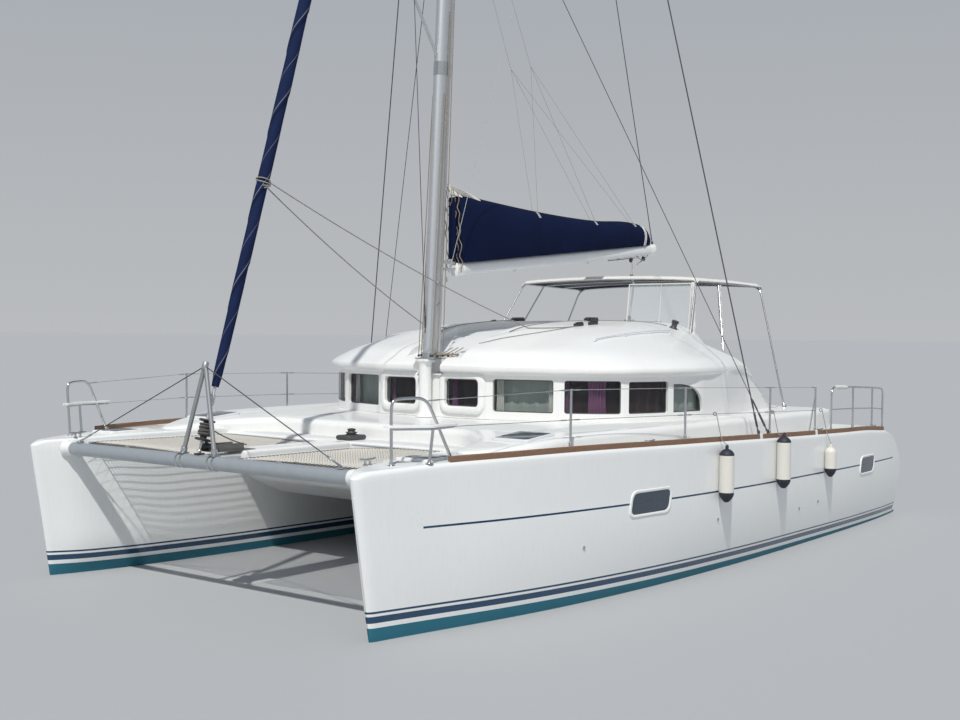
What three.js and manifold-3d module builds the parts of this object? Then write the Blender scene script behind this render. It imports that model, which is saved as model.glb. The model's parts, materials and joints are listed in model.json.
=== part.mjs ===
// A cruising sailing catamaran afloat, built from its real sub-parts.
// Millimetres. +X forward, +Y to port, +Z up. The origin is at the waterline,
// on the centreline, half way between stem and transom.
import * as THREE from 'three';
import { mergeVertices } from 'three/addons/utils/BufferGeometryUtils.js';
import Module from 'manifold-3d';

const wasm = await Module();
wasm.setup();

// Driving dimensions
const GAP = 0.3;                       // between pieces that touch
const HALF_LENGTH = 5775;
const DRAFT = 1150;
const DECK_OVER_SHEER = 45;            // rounded gunwale above the sheer line
const INNER_SIDE = 1900;               // flat inner side of a hull under the bridgedeck
const SOLE = 900;                      // saloon and cockpit sole
const WING_BOTTOM = 680;               // underside of the bridgedeck
const FOREDECK_FRONT = 3450;
const LOW_DECK = 1500;                 // deck strip behind the nets
const TRUNK_TOP = 1700;                // raised deck round the saloon
const TRUNK_FRONT = 3040;
const HOUSE_AFT = -1950;               // saloon bulkhead
const WALL = 50;
const VISOR = 2260;                    // lower edge of the roof
const BEAM_X = 5445;
const BEAM_Z = 1410;
const BEAM_RADIUS = 70;
const LONGERON_HALF = 175;
const MAST_FOOT = new THREE.Vector3(1880, 0, 2405);
const MAST_RAKE = 0.0485;              // backward travel for each unit of height
const MAST_TOP = 16950;
const STAY_RAKE = 0.2946;
const GOOSENECK_Z = 3530;
const HULL_MIDDLE = 2480;              // centre plane of keels, rudders and drives
const LIFELINE_HEIGHT = 620;
const LOWER_LINE = 310;
const FAR = 7000;                      // past every side of the boat

// Materials
const finish = (color, roughness, metalness = 0) => new THREE.MeshStandardMaterial({
  color,
  roughness,
  metalness,
});
const gelcoat = finish(0xeeefec, 0.35);
const keelPaint = finish(0x2f7f9c, 0.7);
const aluminium = finish(0x9aa2a6, 0.4, 0.8);
const steel = finish(0xb8bcbe, 0.25, 1);
const navyCanvas = finish(0x10152c, 0.85);
const whiteCanvas = finish(0xf1efe8, 0.8);
const netCord = finish(0xcfc8ba, 0.9);
const teak = finish(0x8a5a3a, 0.7);
const glazing = finish(0x2a2c36, 0.1);
const vinyl = finish(0xc9d2d4, 0.2);
const fenderVinyl = finish(0xf2f1ec, 0.5);
const bronze = finish(0xb08d4c, 0.35, 1);
const upholstery = finish(0xe5ddcb, 0.9);
const blackPlastic = finish(0x1c1d20, 0.5);

const boat = new THREE.Group();

// Solids and booleans
function solid(geometry) {
  const bare = geometry.index ? geometry.toNonIndexed() : geometry.clone();
  for (const name of Object.keys(bare.attributes)) {
    if (name !== 'position') bare.deleteAttribute(name);
  }
  const merged = mergeVertices(bare, 1e-3);
  const mesh = new wasm.Mesh({
    numProp: 3,
    vertProperties: new Float32Array(merged.attributes.position.array),
    triVerts: new Uint32Array(merged.index.array),
  });
  mesh.merge();
  return new wasm.Manifold(mesh);
}

function geometryOf(body) {
  const mesh = body.getMesh();
  const geometry = new THREE.BufferGeometry();
  geometry.setAttribute('position', new THREE.BufferAttribute(new Float32Array(mesh.vertProperties), 3));
  geometry.setIndex(new THREE.BufferAttribute(new Uint32Array(mesh.triVerts), 1));
  return geometry;
}

const join = (first, ...rest) => rest.reduce((body, other) => body.add(other), first);
const cut = (first, ...rest) => rest.reduce((body, other) => body.subtract(other), first);
const mirrored = (body) => body.mirror([0, 1, 0]);
const NUDGES = [[GAP, 0, 0], [-GAP, 0, 0], [0, GAP, 0], [0, -GAP, 0], [0, 0, GAP], [0, 0, -GAP]];
// A piece trimmed to stand a gap off the pieces it meets
const trimmed = (piece, ...others) => cut(
  piece,
  ...others.flatMap((other) => NUDGES.map((nudge) => other.translate(nudge))),
);

function put(name, body, material) {
  const mesh = new THREE.Mesh(geometryOf(body), material);
  mesh.name = name;
  boat.add(mesh);
}

function putPair(name, body, material) {
  put(`${name}_port`, body, material);
  put(`${name}_starboard`, mirrored(body), material);
}

// Shapes
function block(low, high) {
  const size = high.map((value, axis) => value - low[axis]);
  return solid(new THREE.BoxGeometry(...size)
    .translate(...low.map((value, axis) => value + size[axis] / 2)));
}

// A round bar between two points
function rod(from, to, radius, sides = 8, endRadius = radius) {
  const start = new THREE.Vector3(...from);
  const end = new THREE.Vector3(...to);
  const along = end.clone().sub(start);
  const geometry = new THREE.CylinderGeometry(endRadius, radius, along.length(), sides);
  geometry.translate(0, along.length() / 2, 0);
  const turn = new THREE.Quaternion().setFromUnitVectors(
    new THREE.Vector3(0, 1, 0),
    along.clone().normalize(),
  );
  return solid(geometry.applyQuaternion(turn).translate(...from));
}

// Rods end to end with a knuckle at each bend
const BEND_SIZE = 1.25;
function bentRod(points, radius, sides = 8) {
  const pieces = points.slice(1).map((point, i) => rod(points[i], point, radius, sides));
  for (const point of points.slice(1, -1)) {
    pieces.push(solid(new THREE.IcosahedronGeometry(radius * BEND_SIZE, 0).translate(...point)));
  }
  return join(...pieces);
}

// A plan outline of [x, y] points, raised from one height to another
function plate(outline, low, high) {
  const shape = new THREE.Shape(outline.map(([x, y]) => new THREE.Vector2(x, y)));
  return solid(new THREE.ExtrudeGeometry(shape, { depth: high - low, bevelEnabled: false })
    .translate(0, 0, low));
}

// A side outline of [x, z] points, carried across the boat from one y to another
function sidePlate(outline, from, to) {
  const shape = new THREE.Shape(outline.map(([x, z]) => new THREE.Vector2(x, z)));
  return solid(new THREE.ExtrudeGeometry(shape, { depth: to - from, bevelEnabled: false })
    .rotateX(Math.PI / 2)
    .translate(0, to, 0));
}

// A skin through rings with equal numbers of points, closed by a fan at both ends
function loft(rings) {
  const count = rings[0].length;
  const points = rings.flat();
  const triangles = [];
  for (let ring = 0; ring < rings.length - 1; ring += 1) {
    for (let i = 0; i < count; i += 1) {
      const next = (i + 1) % count;
      const low = ring * count;
      const high = low + count;
      triangles.push(low + i, low + next, high + next, low + i, high + next, high + i);
    }
  }
  for (const [ring, flip] of [[0, true], [rings.length - 1, false]]) {
    const middle = rings[ring].reduce((sum, p) => sum.map((v, axis) => v + p[axis] / count), [0, 0, 0]);
    points.push(middle);
    for (let i = 0; i < count; i += 1) {
      const a = ring * count + i;
      const b = ring * count + ((i + 1) % count);
      triangles.push(points.length - 1, ...(flip ? [b, a] : [a, b]));
    }
  }
  const geometry = new THREE.BufferGeometry();
  geometry.setAttribute('position', new THREE.Float32BufferAttribute(points.flat(), 3));
  geometry.setIndex(triangles);
  const body = solid(geometry);
  if (body.volume() > 0) return body;
  for (let i = 0; i < triangles.length; i += 3) {
    [triangles[i], triangles[i + 1]] = [triangles[i + 1], triangles[i]];
  }
  geometry.setIndex(triangles);
  return solid(geometry);
}

// Straight-line reading of a table of [x, value] rows, x falling
function read(table, x) {
  if (x >= table[0][0]) return table[0][1];
  for (let i = 1; i < table.length; i += 1) {
    const [x0, v0] = table[i - 1];
    const [x1, v1] = table[i];
    if (x >= x1) return v0 + ((v1 - v0) * (x0 - x)) / (x0 - x1);
  }
  return table[table.length - 1][1];
}

// Port hull. Half breadths are from the boat's centreline.
const SHEER = [
  [5775, 1452], [5000, 1490], [4000, 1503], [3300, 1506], [1400, 1481], [0, 1450],
  [-900, 1424], [-2900, 1371], [-4000, 1344], [-4800, 1298], [-5775, 1240],
];
const STATIONS = [
  // x, sheer outside, deck inside, waterline outside, waterline inside, depth of the canoe body
  { x: 5775, outer: 2412, inner: 2366, waterOuter: 2402, waterInner: 2376, depth: 150 },
  { x: 5715, outer: 2450, inner: 2326, waterOuter: 2420, waterInner: 2358, depth: 210 },
  { x: 5450, outer: 2525, inner: 2180, waterOuter: 2462, waterInner: 2290, depth: 320 },
  { x: 5000, outer: 2635, inner: 2060, waterOuter: 2545, waterInner: 2200, depth: 400 },
  { x: 4200, outer: 2825, inner: 1960, waterOuter: 2700, waterInner: 2090, depth: 460 },
  { x: 3300, outer: 2985, inner: INNER_SIDE, waterOuter: 2850, waterInner: 2000, depth: 500 },
  { x: 2000, outer: 3150, inner: INNER_SIDE, waterOuter: 2990, waterInner: 1925, depth: 530 },
  { x: 0, outer: 3265, inner: INNER_SIDE, waterOuter: 3075, waterInner: 1900, depth: 550 },
  { x: -2000, outer: 3250, inner: INNER_SIDE, waterOuter: 3065, waterInner: 1900, depth: 500 },
  { x: -4000, outer: 3200, inner: INNER_SIDE, waterOuter: 3010, waterInner: 1920, depth: 320 },
  { x: -5000, outer: 3130, inner: INNER_SIDE, waterOuter: 2960, waterInner: 1940, depth: 160 },
  { x: -5775, outer: 3050, inner: INNER_SIDE, waterOuter: 2890, waterInner: 1960, depth: 30 },
];
const KNUCKLE = 945;
const KNUCKLE_IN = 8;                  // the side's lean between sheer and knuckle
const TOPSIDE_LOW = 330;
const STEM_RAKE = 245;                 // the stem's lean between deck and waterline
const UNDERWATER_STEPS = 6;

const deckAt = (x) => read(SHEER, x) + DECK_OVER_SHEER;
const outerAt = (x) => read(STATIONS.map((s) => [s.x, s.outer]), x);
// The hull's outer side between sheer and knuckle
function sideAt(x, z) {
  const sheer = read(SHEER, x);
  return outerAt(x) - (KNUCKLE_IN * (sheer - z)) / (sheer - KNUCKLE);
}

function hullRing({ x, outer, inner, waterOuter, waterInner, depth }) {
  const sheer = read(SHEER, x);
  const slim = Math.min(1, (outer - inner) / 400);
  const ring = [
    [outer - 35 * slim, sheer + DECK_OVER_SHEER],
    [outer, sheer],
    [outer - KNUCKLE_IN * slim, KNUCKLE],
    [outer - 0.42 * (outer - waterOuter), TOPSIDE_LOW],
  ];
  const middle = (waterOuter + waterInner) / 2;
  const half = (waterOuter - waterInner) / 2;
  for (let step = 0; step <= UNDERWATER_STEPS; step += 1) {
    const angle = (Math.PI * step) / UNDERWATER_STEPS;
    ring.push([middle + half * Math.cos(angle), -depth * Math.sin(angle)]);
  }
  ring.push([inner, 480], [inner, sheer - 15], [inner + 20 * slim, sheer + DECK_OVER_SHEER]);
  const lean = Math.max(0, (x - 3300) / (HALF_LENGTH - 3300)) ** 1.6;
  return ring.map(([y, z]) => {
    const fall = z > 0 ? (STEM_RAKE * (1450 - Math.min(z, 1450))) / 1450 : STEM_RAKE - 0.9 * z;
    return [x - lean * fall, y, z];
  });
}

const RUDDER_X = -4900;
const STOCK_RADIUS = 25;
const STERN_PROFILE = [
  [-4800, 1900], [-4800, 1330], [-5100, 1262], [-5350, 1150], [-5560, 960],
  [-5690, 720], [-5745, 470], [-5700, -300], [-6500, -300], [-6500, 1900],
];
const STEPS = [
  // front x, tread height
  { x: -4880, z: 1090 },
  { x: -5120, z: 830 },
  { x: -5360, z: 560 },
];
const STEP_OUTER = 2900;
const STEP_INNER = 2010;

const canoeBody = loft(STATIONS.map(hullRing));
let hull = canoeBody;
for (const step of STEPS) {
  hull = cut(hull, block([-FAR, STEP_INNER, step.z], [step.x, STEP_OUTER, FAR]));
}
const RUDDER_BORE_TOP = 150;
// Bow locker and forward cabin hatch: their wells, with the lid's overlap on every side
const LOCKER = { x: 4700, y: 2320, halfLong: 210, halfWide: 190, floor: 1080 };
const HATCH = { x: 3240, y: 2370, halfLong: 250, halfWide: 235, floor: 900 };
const LID_LAP = 35;
const wellOf = ({ x, y, halfLong, halfWide, floor }) => block(
  [x - halfLong + LID_LAP, y - halfWide + LID_LAP, floor],
  [x + halfLong - LID_LAP, y + halfWide - LID_LAP, FAR],
);
hull = cut(
  hull,
  wellOf(LOCKER),
  wellOf(HATCH),
  sidePlate(STERN_PROFILE, STEP_OUTER - 1, FAR),
  sidePlate(STERN_PROFILE, 0, STEP_INNER + 1),
  rod([RUDDER_X, HULL_MIDDLE, -900], [RUDDER_X, HULL_MIDDLE, RUDDER_BORE_TOP], STOCK_RADIUS + 1.2, 16),
);
putPair('hull', hull, gelcoat);

// Stub keel, flat below
const KEEL = {
  foot: { front: 1150, aft: -950, half: 75 },
  root: { front: 1650, aft: -1150, half: 105 },
  rootZ: -300,
};
const FOIL = [[0, 0.12], [0.06, 0.7], [0.25, 1], [0.6, 0.8], [1, 0.06]];  // share of chord, of half width
function foilRing({ front, aft, half }, y, z) {
  const chord = front - aft;
  const side = FOIL.map(([along, width]) => [front - along * chord, y + half * width, z]);
  const other = FOIL.map(([along, width]) => [front - along * chord, y - half * width, z]).reverse();
  return [...side, ...other];
}
const keel = cut(
  loft([foilRing(KEEL.foot, HULL_MIDDLE, -DRAFT), foilRing(KEEL.root, HULL_MIDDLE, KEEL.rootZ)]),
  canoeBody.translate([0, 0, -GAP]),
);
putPair('keel', keel, keelPaint);

// Saildrive leg and propeller
const DRIVE_X = -3650;
const SHAFT_Z = -800;
const SHAFT_RADIUS = 15;
const PROP_X = DRIVE_X - 190;
const leg = cut(
  join(
    loft([
      foilRing({ front: DRIVE_X + 110, aft: DRIVE_X - 130, half: 32 }, HULL_MIDDLE, SHAFT_Z),
      foilRing({ front: DRIVE_X + 150, aft: DRIVE_X - 170, half: 40 }, HULL_MIDDLE, -200),
    ]),
    rod([DRIVE_X + 150, HULL_MIDDLE, SHAFT_Z], [PROP_X + 45, HULL_MIDDLE, SHAFT_Z], 62, 12, 45),
    rod([PROP_X + 46, HULL_MIDDLE, SHAFT_Z], [PROP_X - 20, HULL_MIDDLE, SHAFT_Z], SHAFT_RADIUS, 16),
  ),
  canoeBody.translate([0, 0, -GAP]),
);
putPair('saildrive', leg, aluminium);

const BLADES = 3;
const PROP_RADIUS = 200;
const BLADE_THICK = 9;
const BLADE_PITCH = 0.6;
// Across the blade and out from the shaft
const BLADE = [[-14, 20], [-58, 110], [-40, 175], [0, PROP_RADIUS], [52, 165], [56, 100], [14, 20]];
const bladeShape = new THREE.Shape(BLADE.map(([across, out]) => new THREE.Vector2(across, out)));
let propeller = rod([PROP_X + 39, HULL_MIDDLE, SHAFT_Z], [PROP_X - 60, HULL_MIDDLE, SHAFT_Z], 42, 12, 26);
for (let i = 0; i < BLADES; i += 1) {
  const blade = new THREE.ExtrudeGeometry(bladeShape, { depth: BLADE_THICK, bevelEnabled: false })
    .translate(0, 0, -BLADE_THICK / 2)
    .rotateY(Math.PI / 2 - BLADE_PITCH)
    .rotateX((2 * Math.PI * i) / BLADES)
    .translate(PROP_X, HULL_MIDDLE, SHAFT_Z);
  propeller = join(propeller, solid(blade));
}
propeller = cut(
  propeller,
  rod([PROP_X + 60, HULL_MIDDLE, SHAFT_Z], [PROP_X - 26, HULL_MIDDLE, SHAFT_Z], SHAFT_RADIUS + 0.8, 16),
);
putPair('propeller', propeller, bronze);

// Spade rudder on its stock
const rudder = join(
  loft([
    foilRing({ front: RUDDER_X + 90, aft: RUDDER_X - 250, half: 22 }, HULL_MIDDLE, -1060),
    foilRing({ front: RUDDER_X + 120, aft: RUDDER_X - 330, half: 34 }, HULL_MIDDLE, -235),
  ]),
  rod([RUDDER_X, HULL_MIDDLE, -400], [RUDDER_X, HULL_MIDDLE, RUDDER_BORE_TOP - GAP], STOCK_RADIUS, 16),
);
putPair('rudder', rudder, keelPaint);

// Bridgedeck: wing deck, sole, forward locker block and aft wall
const BRIDGE_HALF = INNER_SIDE - GAP;
const COCKPIT_AFT = -4850;
const LOCKER_AFT = 1960;
const wingProfile = [
  [COCKPIT_AFT, WING_BOTTOM], [2500, WING_BOTTOM], [3050, 900], [FOREDECK_FRONT, 1330],
  [FOREDECK_FRONT, LOW_DECK], [LOCKER_AFT, LOW_DECK], [LOCKER_AFT, SOLE],
  [COCKPIT_AFT + 90, SOLE], [COCKPIT_AFT + 90, 1330], [COCKPIT_AFT, 1330],
];
const bridgedeck = sidePlate(wingProfile, -BRIDGE_HALF, BRIDGE_HALF);
put('bridgedeck', bridgedeck, gelcoat);

// Saloon plan at its windows, port half, from the centreline aft
const HOUSE = [
  [1870, 0], [1870, 790], [1815, 920], [1605, 1660], [1400, 2010], [1140, 2270],
  [780, 2400], [430, 2500], [-120, 2595], [-900, 2540], [HOUSE_AFT, 2280],
];
const bothSides = (half) => [...half, ...half.slice().reverse().map(([x, y]) => [x, -y])]
  .filter(([, y], i) => i < half.length || y !== 0);
// Every point moved inwards towards a line down the middle, the aft end kept
function inset(half, amount) {
  return half.map(([x, y], i) => {
    const [x0, y0] = half[Math.max(i - 1, 0)];
    const [x1, y1] = half[Math.min(i + 1, half.length - 1)];
    const length = Math.hypot(x1 - x0, y1 - y0);
    const nx = (y1 - y0) / length;
    const ny = (x0 - x1) / length;
    if (i === 0) return [x - amount, 0];
    if (i === half.length - 1) return [x, y - amount];
    return [x - nx * amount, y - ny * amount];
  });
}
// The same plan run on aft of the bulkhead, drawing in as the wings do
const WING_TAPER = 0.13;
const grown = (half, aft) => [...half, [aft, half[half.length - 1][1] - WING_TAPER * (HOUSE_AFT - aft)]];

// Raised deck: trunks over both hulls, joined ahead of the saloon, and cockpit coamings
const COAMING_AFT = -3620;
const COAMING_INSIDE = 1925;         // outside the hull's rounded inner edge
const trunkHalf = [
  [TRUNK_FRONT, 0], [TRUNK_FRONT, 1480], [3460, 1960], [4050, 2110], [4140, 2250], [4020, 2440],
  [3500, 2700], [2300, 2830], [1000, 2920], [-1000, 2930], [-3000, 2860], [COAMING_AFT, 2760],
];
const trunkOutline = [
  ...trunkHalf, [COAMING_AFT, -2760],
  ...trunkHalf.slice(1, -1).reverse().map(([x, y]) => [x, -y]),
];
const TRUNK_CHAMFER = 85;
const TRUNK_LINE = [[-FAR, TRUNK_TOP], [1870, TRUNK_TOP], [TRUNK_FRONT, 1672], [4200, 1552]];
const trunkSide = trunkHalf.slice(5);
const sideRing = (inwards, z) => [
  [4400, -2000], [4400, 2000], ...trunkSide.map(([x, y]) => [x, y - inwards]),
  ...trunkSide.slice().reverse().map(([x, y]) => [x, inwards - y]),
].map(([x, y]) => [x, y, z]);
const houseFloor = inset(HOUSE, WALL + 20);
const trunk = cut(
  plate(trunkOutline, 1100, TRUNK_TOP),
  plate(bothSides(grown(houseFloor, HOUSE_AFT - 1)), 0, FAR),
  block([COAMING_AFT - 100, -COAMING_INSIDE, 0], [HOUSE_AFT, COAMING_INSIDE, FAR]),
  block([-FAR, -COAMING_INSIDE, 0], [FAR, COAMING_INSIDE, LOW_DECK + GAP]),
  sidePlate([...TRUNK_LINE, [4200, 2500], [-FAR, 2500]], -FAR, FAR),
  wellOf(HATCH),
  mirrored(wellOf(HATCH)),
  canoeBody.translate([0, 0, GAP]),
  mirrored(canoeBody).translate([0, 0, GAP]),
).intersect(loft([sideRing(0, 1000), sideRing(0, 1560), sideRing(TRUNK_CHAMFER, TRUNK_TOP + 1)]));
put('raised_deck', trunk, gelcoat);

// Coachroof: walls, visor and dome as one moulding, hollow, with its windows cut
const ROOF_AFT = -2150;
const WING_AFT = -3350;
const VISOR_OUT = 95;
const DOME = [
  // furthest forward, share of half width, height
  { front: 1965, across: 1, z: VISOR + 70 },
  { front: 1830, across: 0.95, z: 2420 },
  { front: 1700, across: 0.87, z: 2515 },
  { front: 1410, across: 0.78, z: 2615 },
  { front: 1090, across: 0.68, z: 2715 },
  { front: 700, across: 0.58, z: 2805 },
  { front: 0, across: 0.48, z: 2865 },
  { front: -750, across: 0.36, z: 2890 },
];
const INNER_DOME = [
  { front: 1820, across: 1, z: VISOR - 10 },
  { front: 1640, across: 0.92, z: 2360 },
  { front: 1330, across: 0.78, z: 2480 },
  { front: 800, across: 0.6, z: 2600 },
  { front: -100, across: 0.42, z: 2670 },
];
const level = (half, z) => bothSides(half).map(([x, y]) => [x, y, z]);
function houseShell(half, dome, aft, floor, eaves) {
  const widest = grown(inset(half, -eaves[eaves.length - 1][0]), aft);
  const domeRings = dome.map(({ front, across, z }) => {
    const along = (front - aft) / (widest[0][0] - aft);
    return level(widest.map(([x, y]) => [aft + (x - aft) * along, y * across]), z);
  });
  return loft([
    level(grown(half, aft), floor),
    ...eaves.map(([out, z]) => level(grown(inset(half, -out), aft), z)),
    ...domeRings,
  ]);
}
const EAVES = [[0, VISOR - 40], [VISOR_OUT, VISOR]];
const houseOutside = houseShell(HOUSE, DOME, WING_AFT, TRUNK_TOP + GAP, EAVES);
const houseInside = houseShell(
  inset(HOUSE, WALL),
  INNER_DOME,
  WING_AFT - 50,
  TRUNK_TOP - 200,
  [[0, VISOR - 60]],
);

// Windows in the wall: two plan points of the wall, sill and head, corner radius
const WINDOWS = [
  { name: 'opening', from: [1870, 230], to: [1870, 730], sill: 1840, head: 2165, corner: 60 },
  { name: 'front_corner', from: [1790, 940], to: [1625, 1595], sill: 1795, head: 2175, corner: 35 },
  { name: 'shoulder', from: [1545, 1770], to: [1195, 2210], sill: 1795, head: 2175, corner: 35 },
  { name: 'side', from: [1040, 2300], to: [540, 2465], sill: 1800, head: 2155, corner: 30 },
  { name: 'quarter', from: [330, 2515], to: [-110, 2595], sill: 1800, head: 2115, corner: 25 },
];
function windowShape({ name, sill, head, corner }, width) {
  const height = head - sill;
  const shape = new THREE.Shape();
  if (name === 'quarter') {
    shape.moveTo(0, 0);
    shape.lineTo(width, 0);
    shape.quadraticCurveTo(width, height * 0.72, width * 0.55, height * 0.93);
    shape.quadraticCurveTo(width * 0.35, height, width * 0.1, height);
    shape.lineTo(0, height);
    return shape;
  }
  shape.moveTo(corner, 0);
  shape.lineTo(width - corner, 0);
  shape.absarc(width - corner, corner, corner, -Math.PI / 2, 0);
  shape.absarc(width - corner, height - corner, corner, 0, Math.PI / 2);
  shape.absarc(corner, height - corner, corner, Math.PI / 2, Math.PI);
  shape.absarc(corner, corner, corner, Math.PI, 1.5 * Math.PI);
  return shape;
}
function windowCutter(window) {
  const [x0, y0] = window.from;
  const [x1, y1] = window.to;
  const width = Math.hypot(x1 - x0, y1 - y0);
  const along = new THREE.Vector3(x1 - x0, y1 - y0, 0).normalize();
  const up = new THREE.Vector3(0, 0, 1);
  const out = along.clone().cross(up);
  const geometry = new THREE.ExtrudeGeometry(windowShape(window, width), {
    depth: 300,
    bevelEnabled: false,
    curveSegments: 2,
  });
  geometry.translate(0, 0, -150);
  geometry.applyMatrix4(new THREE.Matrix4().makeBasis(along, up, out));
  return solid(geometry.translate(x0, y0, window.sill));
}
const windowCuts = WINDOWS.map(windowCutter);

// Mast slot in the visor and the recess that runs aft from it
const MAST_SLOT_HALF = 210;
const TROUGH_HALF = 430;
const troughProfile = [
  [2400, 2300], [1700, 2440], [700, 2725], [-700, 2810], [-1300, 2900], [-1300, 3100], [2400, 3100],
];
// The roof's sides sweep down to the coamings: what lies above this line is cut away
const SWEEP = [
  [-1200, 2700], [-1400, 2630], [-1600, 2530], [-1800, 2400], [-2000, 2260], [-2300, 2090],
  [-2600, 1920], [-2900, 1750], [-3050, 1690], [-3150, 1600], [-4000, 1600], [-4000, 3200], [-1200, 3200],
];
const WING_INSIDE = 1750;
const roof = cut(
  houseOutside,
  houseInside,
  ...windowCuts,
  ...windowCuts.map(mirrored),
  block([1700, -MAST_SLOT_HALF, VISOR - 42], [2400, MAST_SLOT_HALF, 3000]),
  sidePlate(troughProfile, -TROUGH_HALF, TROUGH_HALF),
  sidePlate(SWEEP, WING_INSIDE, 4000),
  sidePlate(SWEEP, -4000, -WING_INSIDE),
  block([-4000, -WING_INSIDE - 1, 1500], [ROOF_AFT, WING_INSIDE + 1, 3200]),
);
put('coachroof', roof, gelcoat);

// One glazing band behind the window openings
const GLASS = 8;
const glassOutside = inset(HOUSE, WALL + GAP + 0.4);
const glassInside = inset(HOUSE, WALL + GAP + 0.4 + GLASS);
const GLASS_AFT = -200;
const glass = cut(
  plate(bothSides(glassOutside), 1770, 2200),
  plate(bothSides(glassInside), 1700, 2300),
  block([HOUSE_AFT - 100, -3000, 1600], [GLASS_AFT, 3000, 2400]),
);
put('saloon_windows', glass, glazing);

// Saloon bulkhead with its doorway, and the rail that carries the sliding door
const BULKHEAD = 40;
const DOORWAY = { low: -700, high: 150, sill: 980, head: 2180 };
const AFT_WINDOWS = [{ low: 350, high: 1000 }, { low: -1650, high: -900 }];
const DOOR_LAP = 40;
const DOOR_CLEAR = 6;
const DOOR_THICK = 30;
const DOOR_SLIDE = 800;
const doorX = HOUSE_AFT + BULKHEAD + DOOR_CLEAR;
const sectionSlab = block([HOUSE_AFT, -3000, TRUNK_TOP + GAP], [HOUSE_AFT + BULKHEAD, 3000, 3000]);
const upperBulkhead = houseInside
  .translate([0, 0, -TRUNK_TOP])
  .scale([1, 0.9997, 0.9995])
  .translate([0, 0, TRUNK_TOP])
  .intersect(sectionSlab);
const deckAtDoor = deckAt(HOUSE_AFT);
const aftFloor = houseFloor[houseFloor.length - 1][1];
const railEnds = [DOORWAY.low - DOOR_LAP - 20, DOORWAY.high + DOOR_LAP + DOOR_SLIDE + 20];
const railTop = DOORWAY.head + DOOR_LAP + 40;
const bulkhead = cut(
  join(
    upperBulkhead,
    block([HOUSE_AFT, -aftFloor + 1, deckAtDoor + 25], [HOUSE_AFT + BULKHEAD, aftFloor - 1, TRUNK_TOP + 1]),
    block([HOUSE_AFT, -BRIDGE_HALF, SOLE + GAP], [HOUSE_AFT + BULKHEAD, BRIDGE_HALF, TRUNK_TOP]),
    block(
      [HOUSE_AFT + BULKHEAD - 1, railEnds[0], railTop - 34],
      [doorX + DOOR_THICK + 20, railEnds[1], railTop],
    ),
    block(
      [doorX + DOOR_THICK + DOOR_CLEAR, railEnds[0], DOORWAY.head],
      [doorX + DOOR_THICK + 20, railEnds[1], railTop],
    ),
  ),
  block([HOUSE_AFT - 50, DOORWAY.low, DOORWAY.sill], [HOUSE_AFT + BULKHEAD + 1, DOORWAY.high, DOORWAY.head]),
  ...AFT_WINDOWS.map(({ low, high }) => block(
    [HOUSE_AFT - 50, low, 1500],
    [HOUSE_AFT + BULKHEAD + 1, high, 2080],
  )),
);
put('saloon_bulkhead', bulkhead, gelcoat);
const door = block(
  [doorX, DOORWAY.low - DOOR_LAP, DOORWAY.sill - 40],
  [doorX + DOOR_THICK, DOORWAY.high + DOOR_LAP, railTop - 34 - GAP],
);
put('saloon_door', door, glazing);

// Saloon furniture on the sole, kept inside the walls
const interior = plate(bothSides(inset(HOUSE, WALL + 40)), SOLE, 1740);
const settee = join(
  block([1100, -1500, SOLE + GAP], [1650, 1500, 1330]),
  block([300, 950, SOLE + GAP], [1101, 1500, 1330]),
  block([1620, -1500, 1300], [1760, 1500, 1720]),
  block([300, 1480, SOLE + GAP], [1700, 1600, 1720]),
);
put('saloon_settee', settee.intersect(interior), upholstery);
const table = join(
  block([250, -650, 1560], [950, 700, 1600]),
  rod([600, 25, SOLE + GAP], [600, 25, 1561], 50, 12),
);
put('saloon_table', table, teak);
const galley = join(
  block([-1500, -1890, SOLE + GAP], [150, -1250, 1760]),
  block([-1500, -1900, 1730], [160, -1230, 1790]),
);
put('galley_counter', galley, upholstery);

// Cockpit: seats, table, helm
const seats = join(
  block([COCKPIT_AFT + 90 + GAP, -1890, SOLE + GAP], [-4300, 1890, 1330]),
  block([-4400, -1890, SOLE + GAP], [-3300, -1340, 1330]),
);
put('cockpit_seats', seats, gelcoat);
const cockpitTable = join(
  block([-4050, -1150, 1600], [-3150, -350, 1640]),
  rod([-3600, -750, SOLE + GAP], [-3600, -750, 1601], 45, 12),
);
put('cockpit_table', cockpitTable, teak);
const HELM = { x: -2420, y: 1350, z: 1820 };
const SPINDLE = 14;
const helm = join(
  block([HOUSE_AFT - 320, 950, SOLE + GAP], [HOUSE_AFT - GAP, 1750, 1480]),
  block([HOUSE_AFT - 280, 1050, 1470], [HOUSE_AFT - GAP, 1650, 1960]),
  rod([HOUSE_AFT - 200, HELM.y, HELM.z], [HELM.x + 30, HELM.y, HELM.z], 45, 12),
  rod([HOUSE_AFT - 200, HELM.y, HELM.z], [HELM.x - 12, HELM.y, HELM.z], SPINDLE, 16),
);
put('helm_console', helm, gelcoat);
const WHEEL_RADIUS = 330;
const SPOKES = 5;
let wheel = join(
  solid(new THREE.TorusGeometry(WHEEL_RADIUS, 14, 5, 20)
    .rotateY(Math.PI / 2)
    .translate(HELM.x, HELM.y, HELM.z)),
  rod([HELM.x + 24, HELM.y, HELM.z], [HELM.x - 24, HELM.y, HELM.z], 45, 16),
);
for (let i = 0; i < SPOKES; i += 1) {
  const angle = (2 * Math.PI * i) / SPOKES;
  wheel = join(wheel, rod(
    [HELM.x, HELM.y, HELM.z],
    [HELM.x, HELM.y + WHEEL_RADIUS * Math.cos(angle), HELM.z + WHEEL_RADIUS * Math.sin(angle)],
    9,
  ));
}
wheel = cut(wheel, rod([HELM.x + 60, HELM.y, HELM.z], [HELM.x - 16, HELM.y, HELM.z], SPINDLE + 0.8, 16));
put('steering_wheel', wheel, steel);

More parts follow.
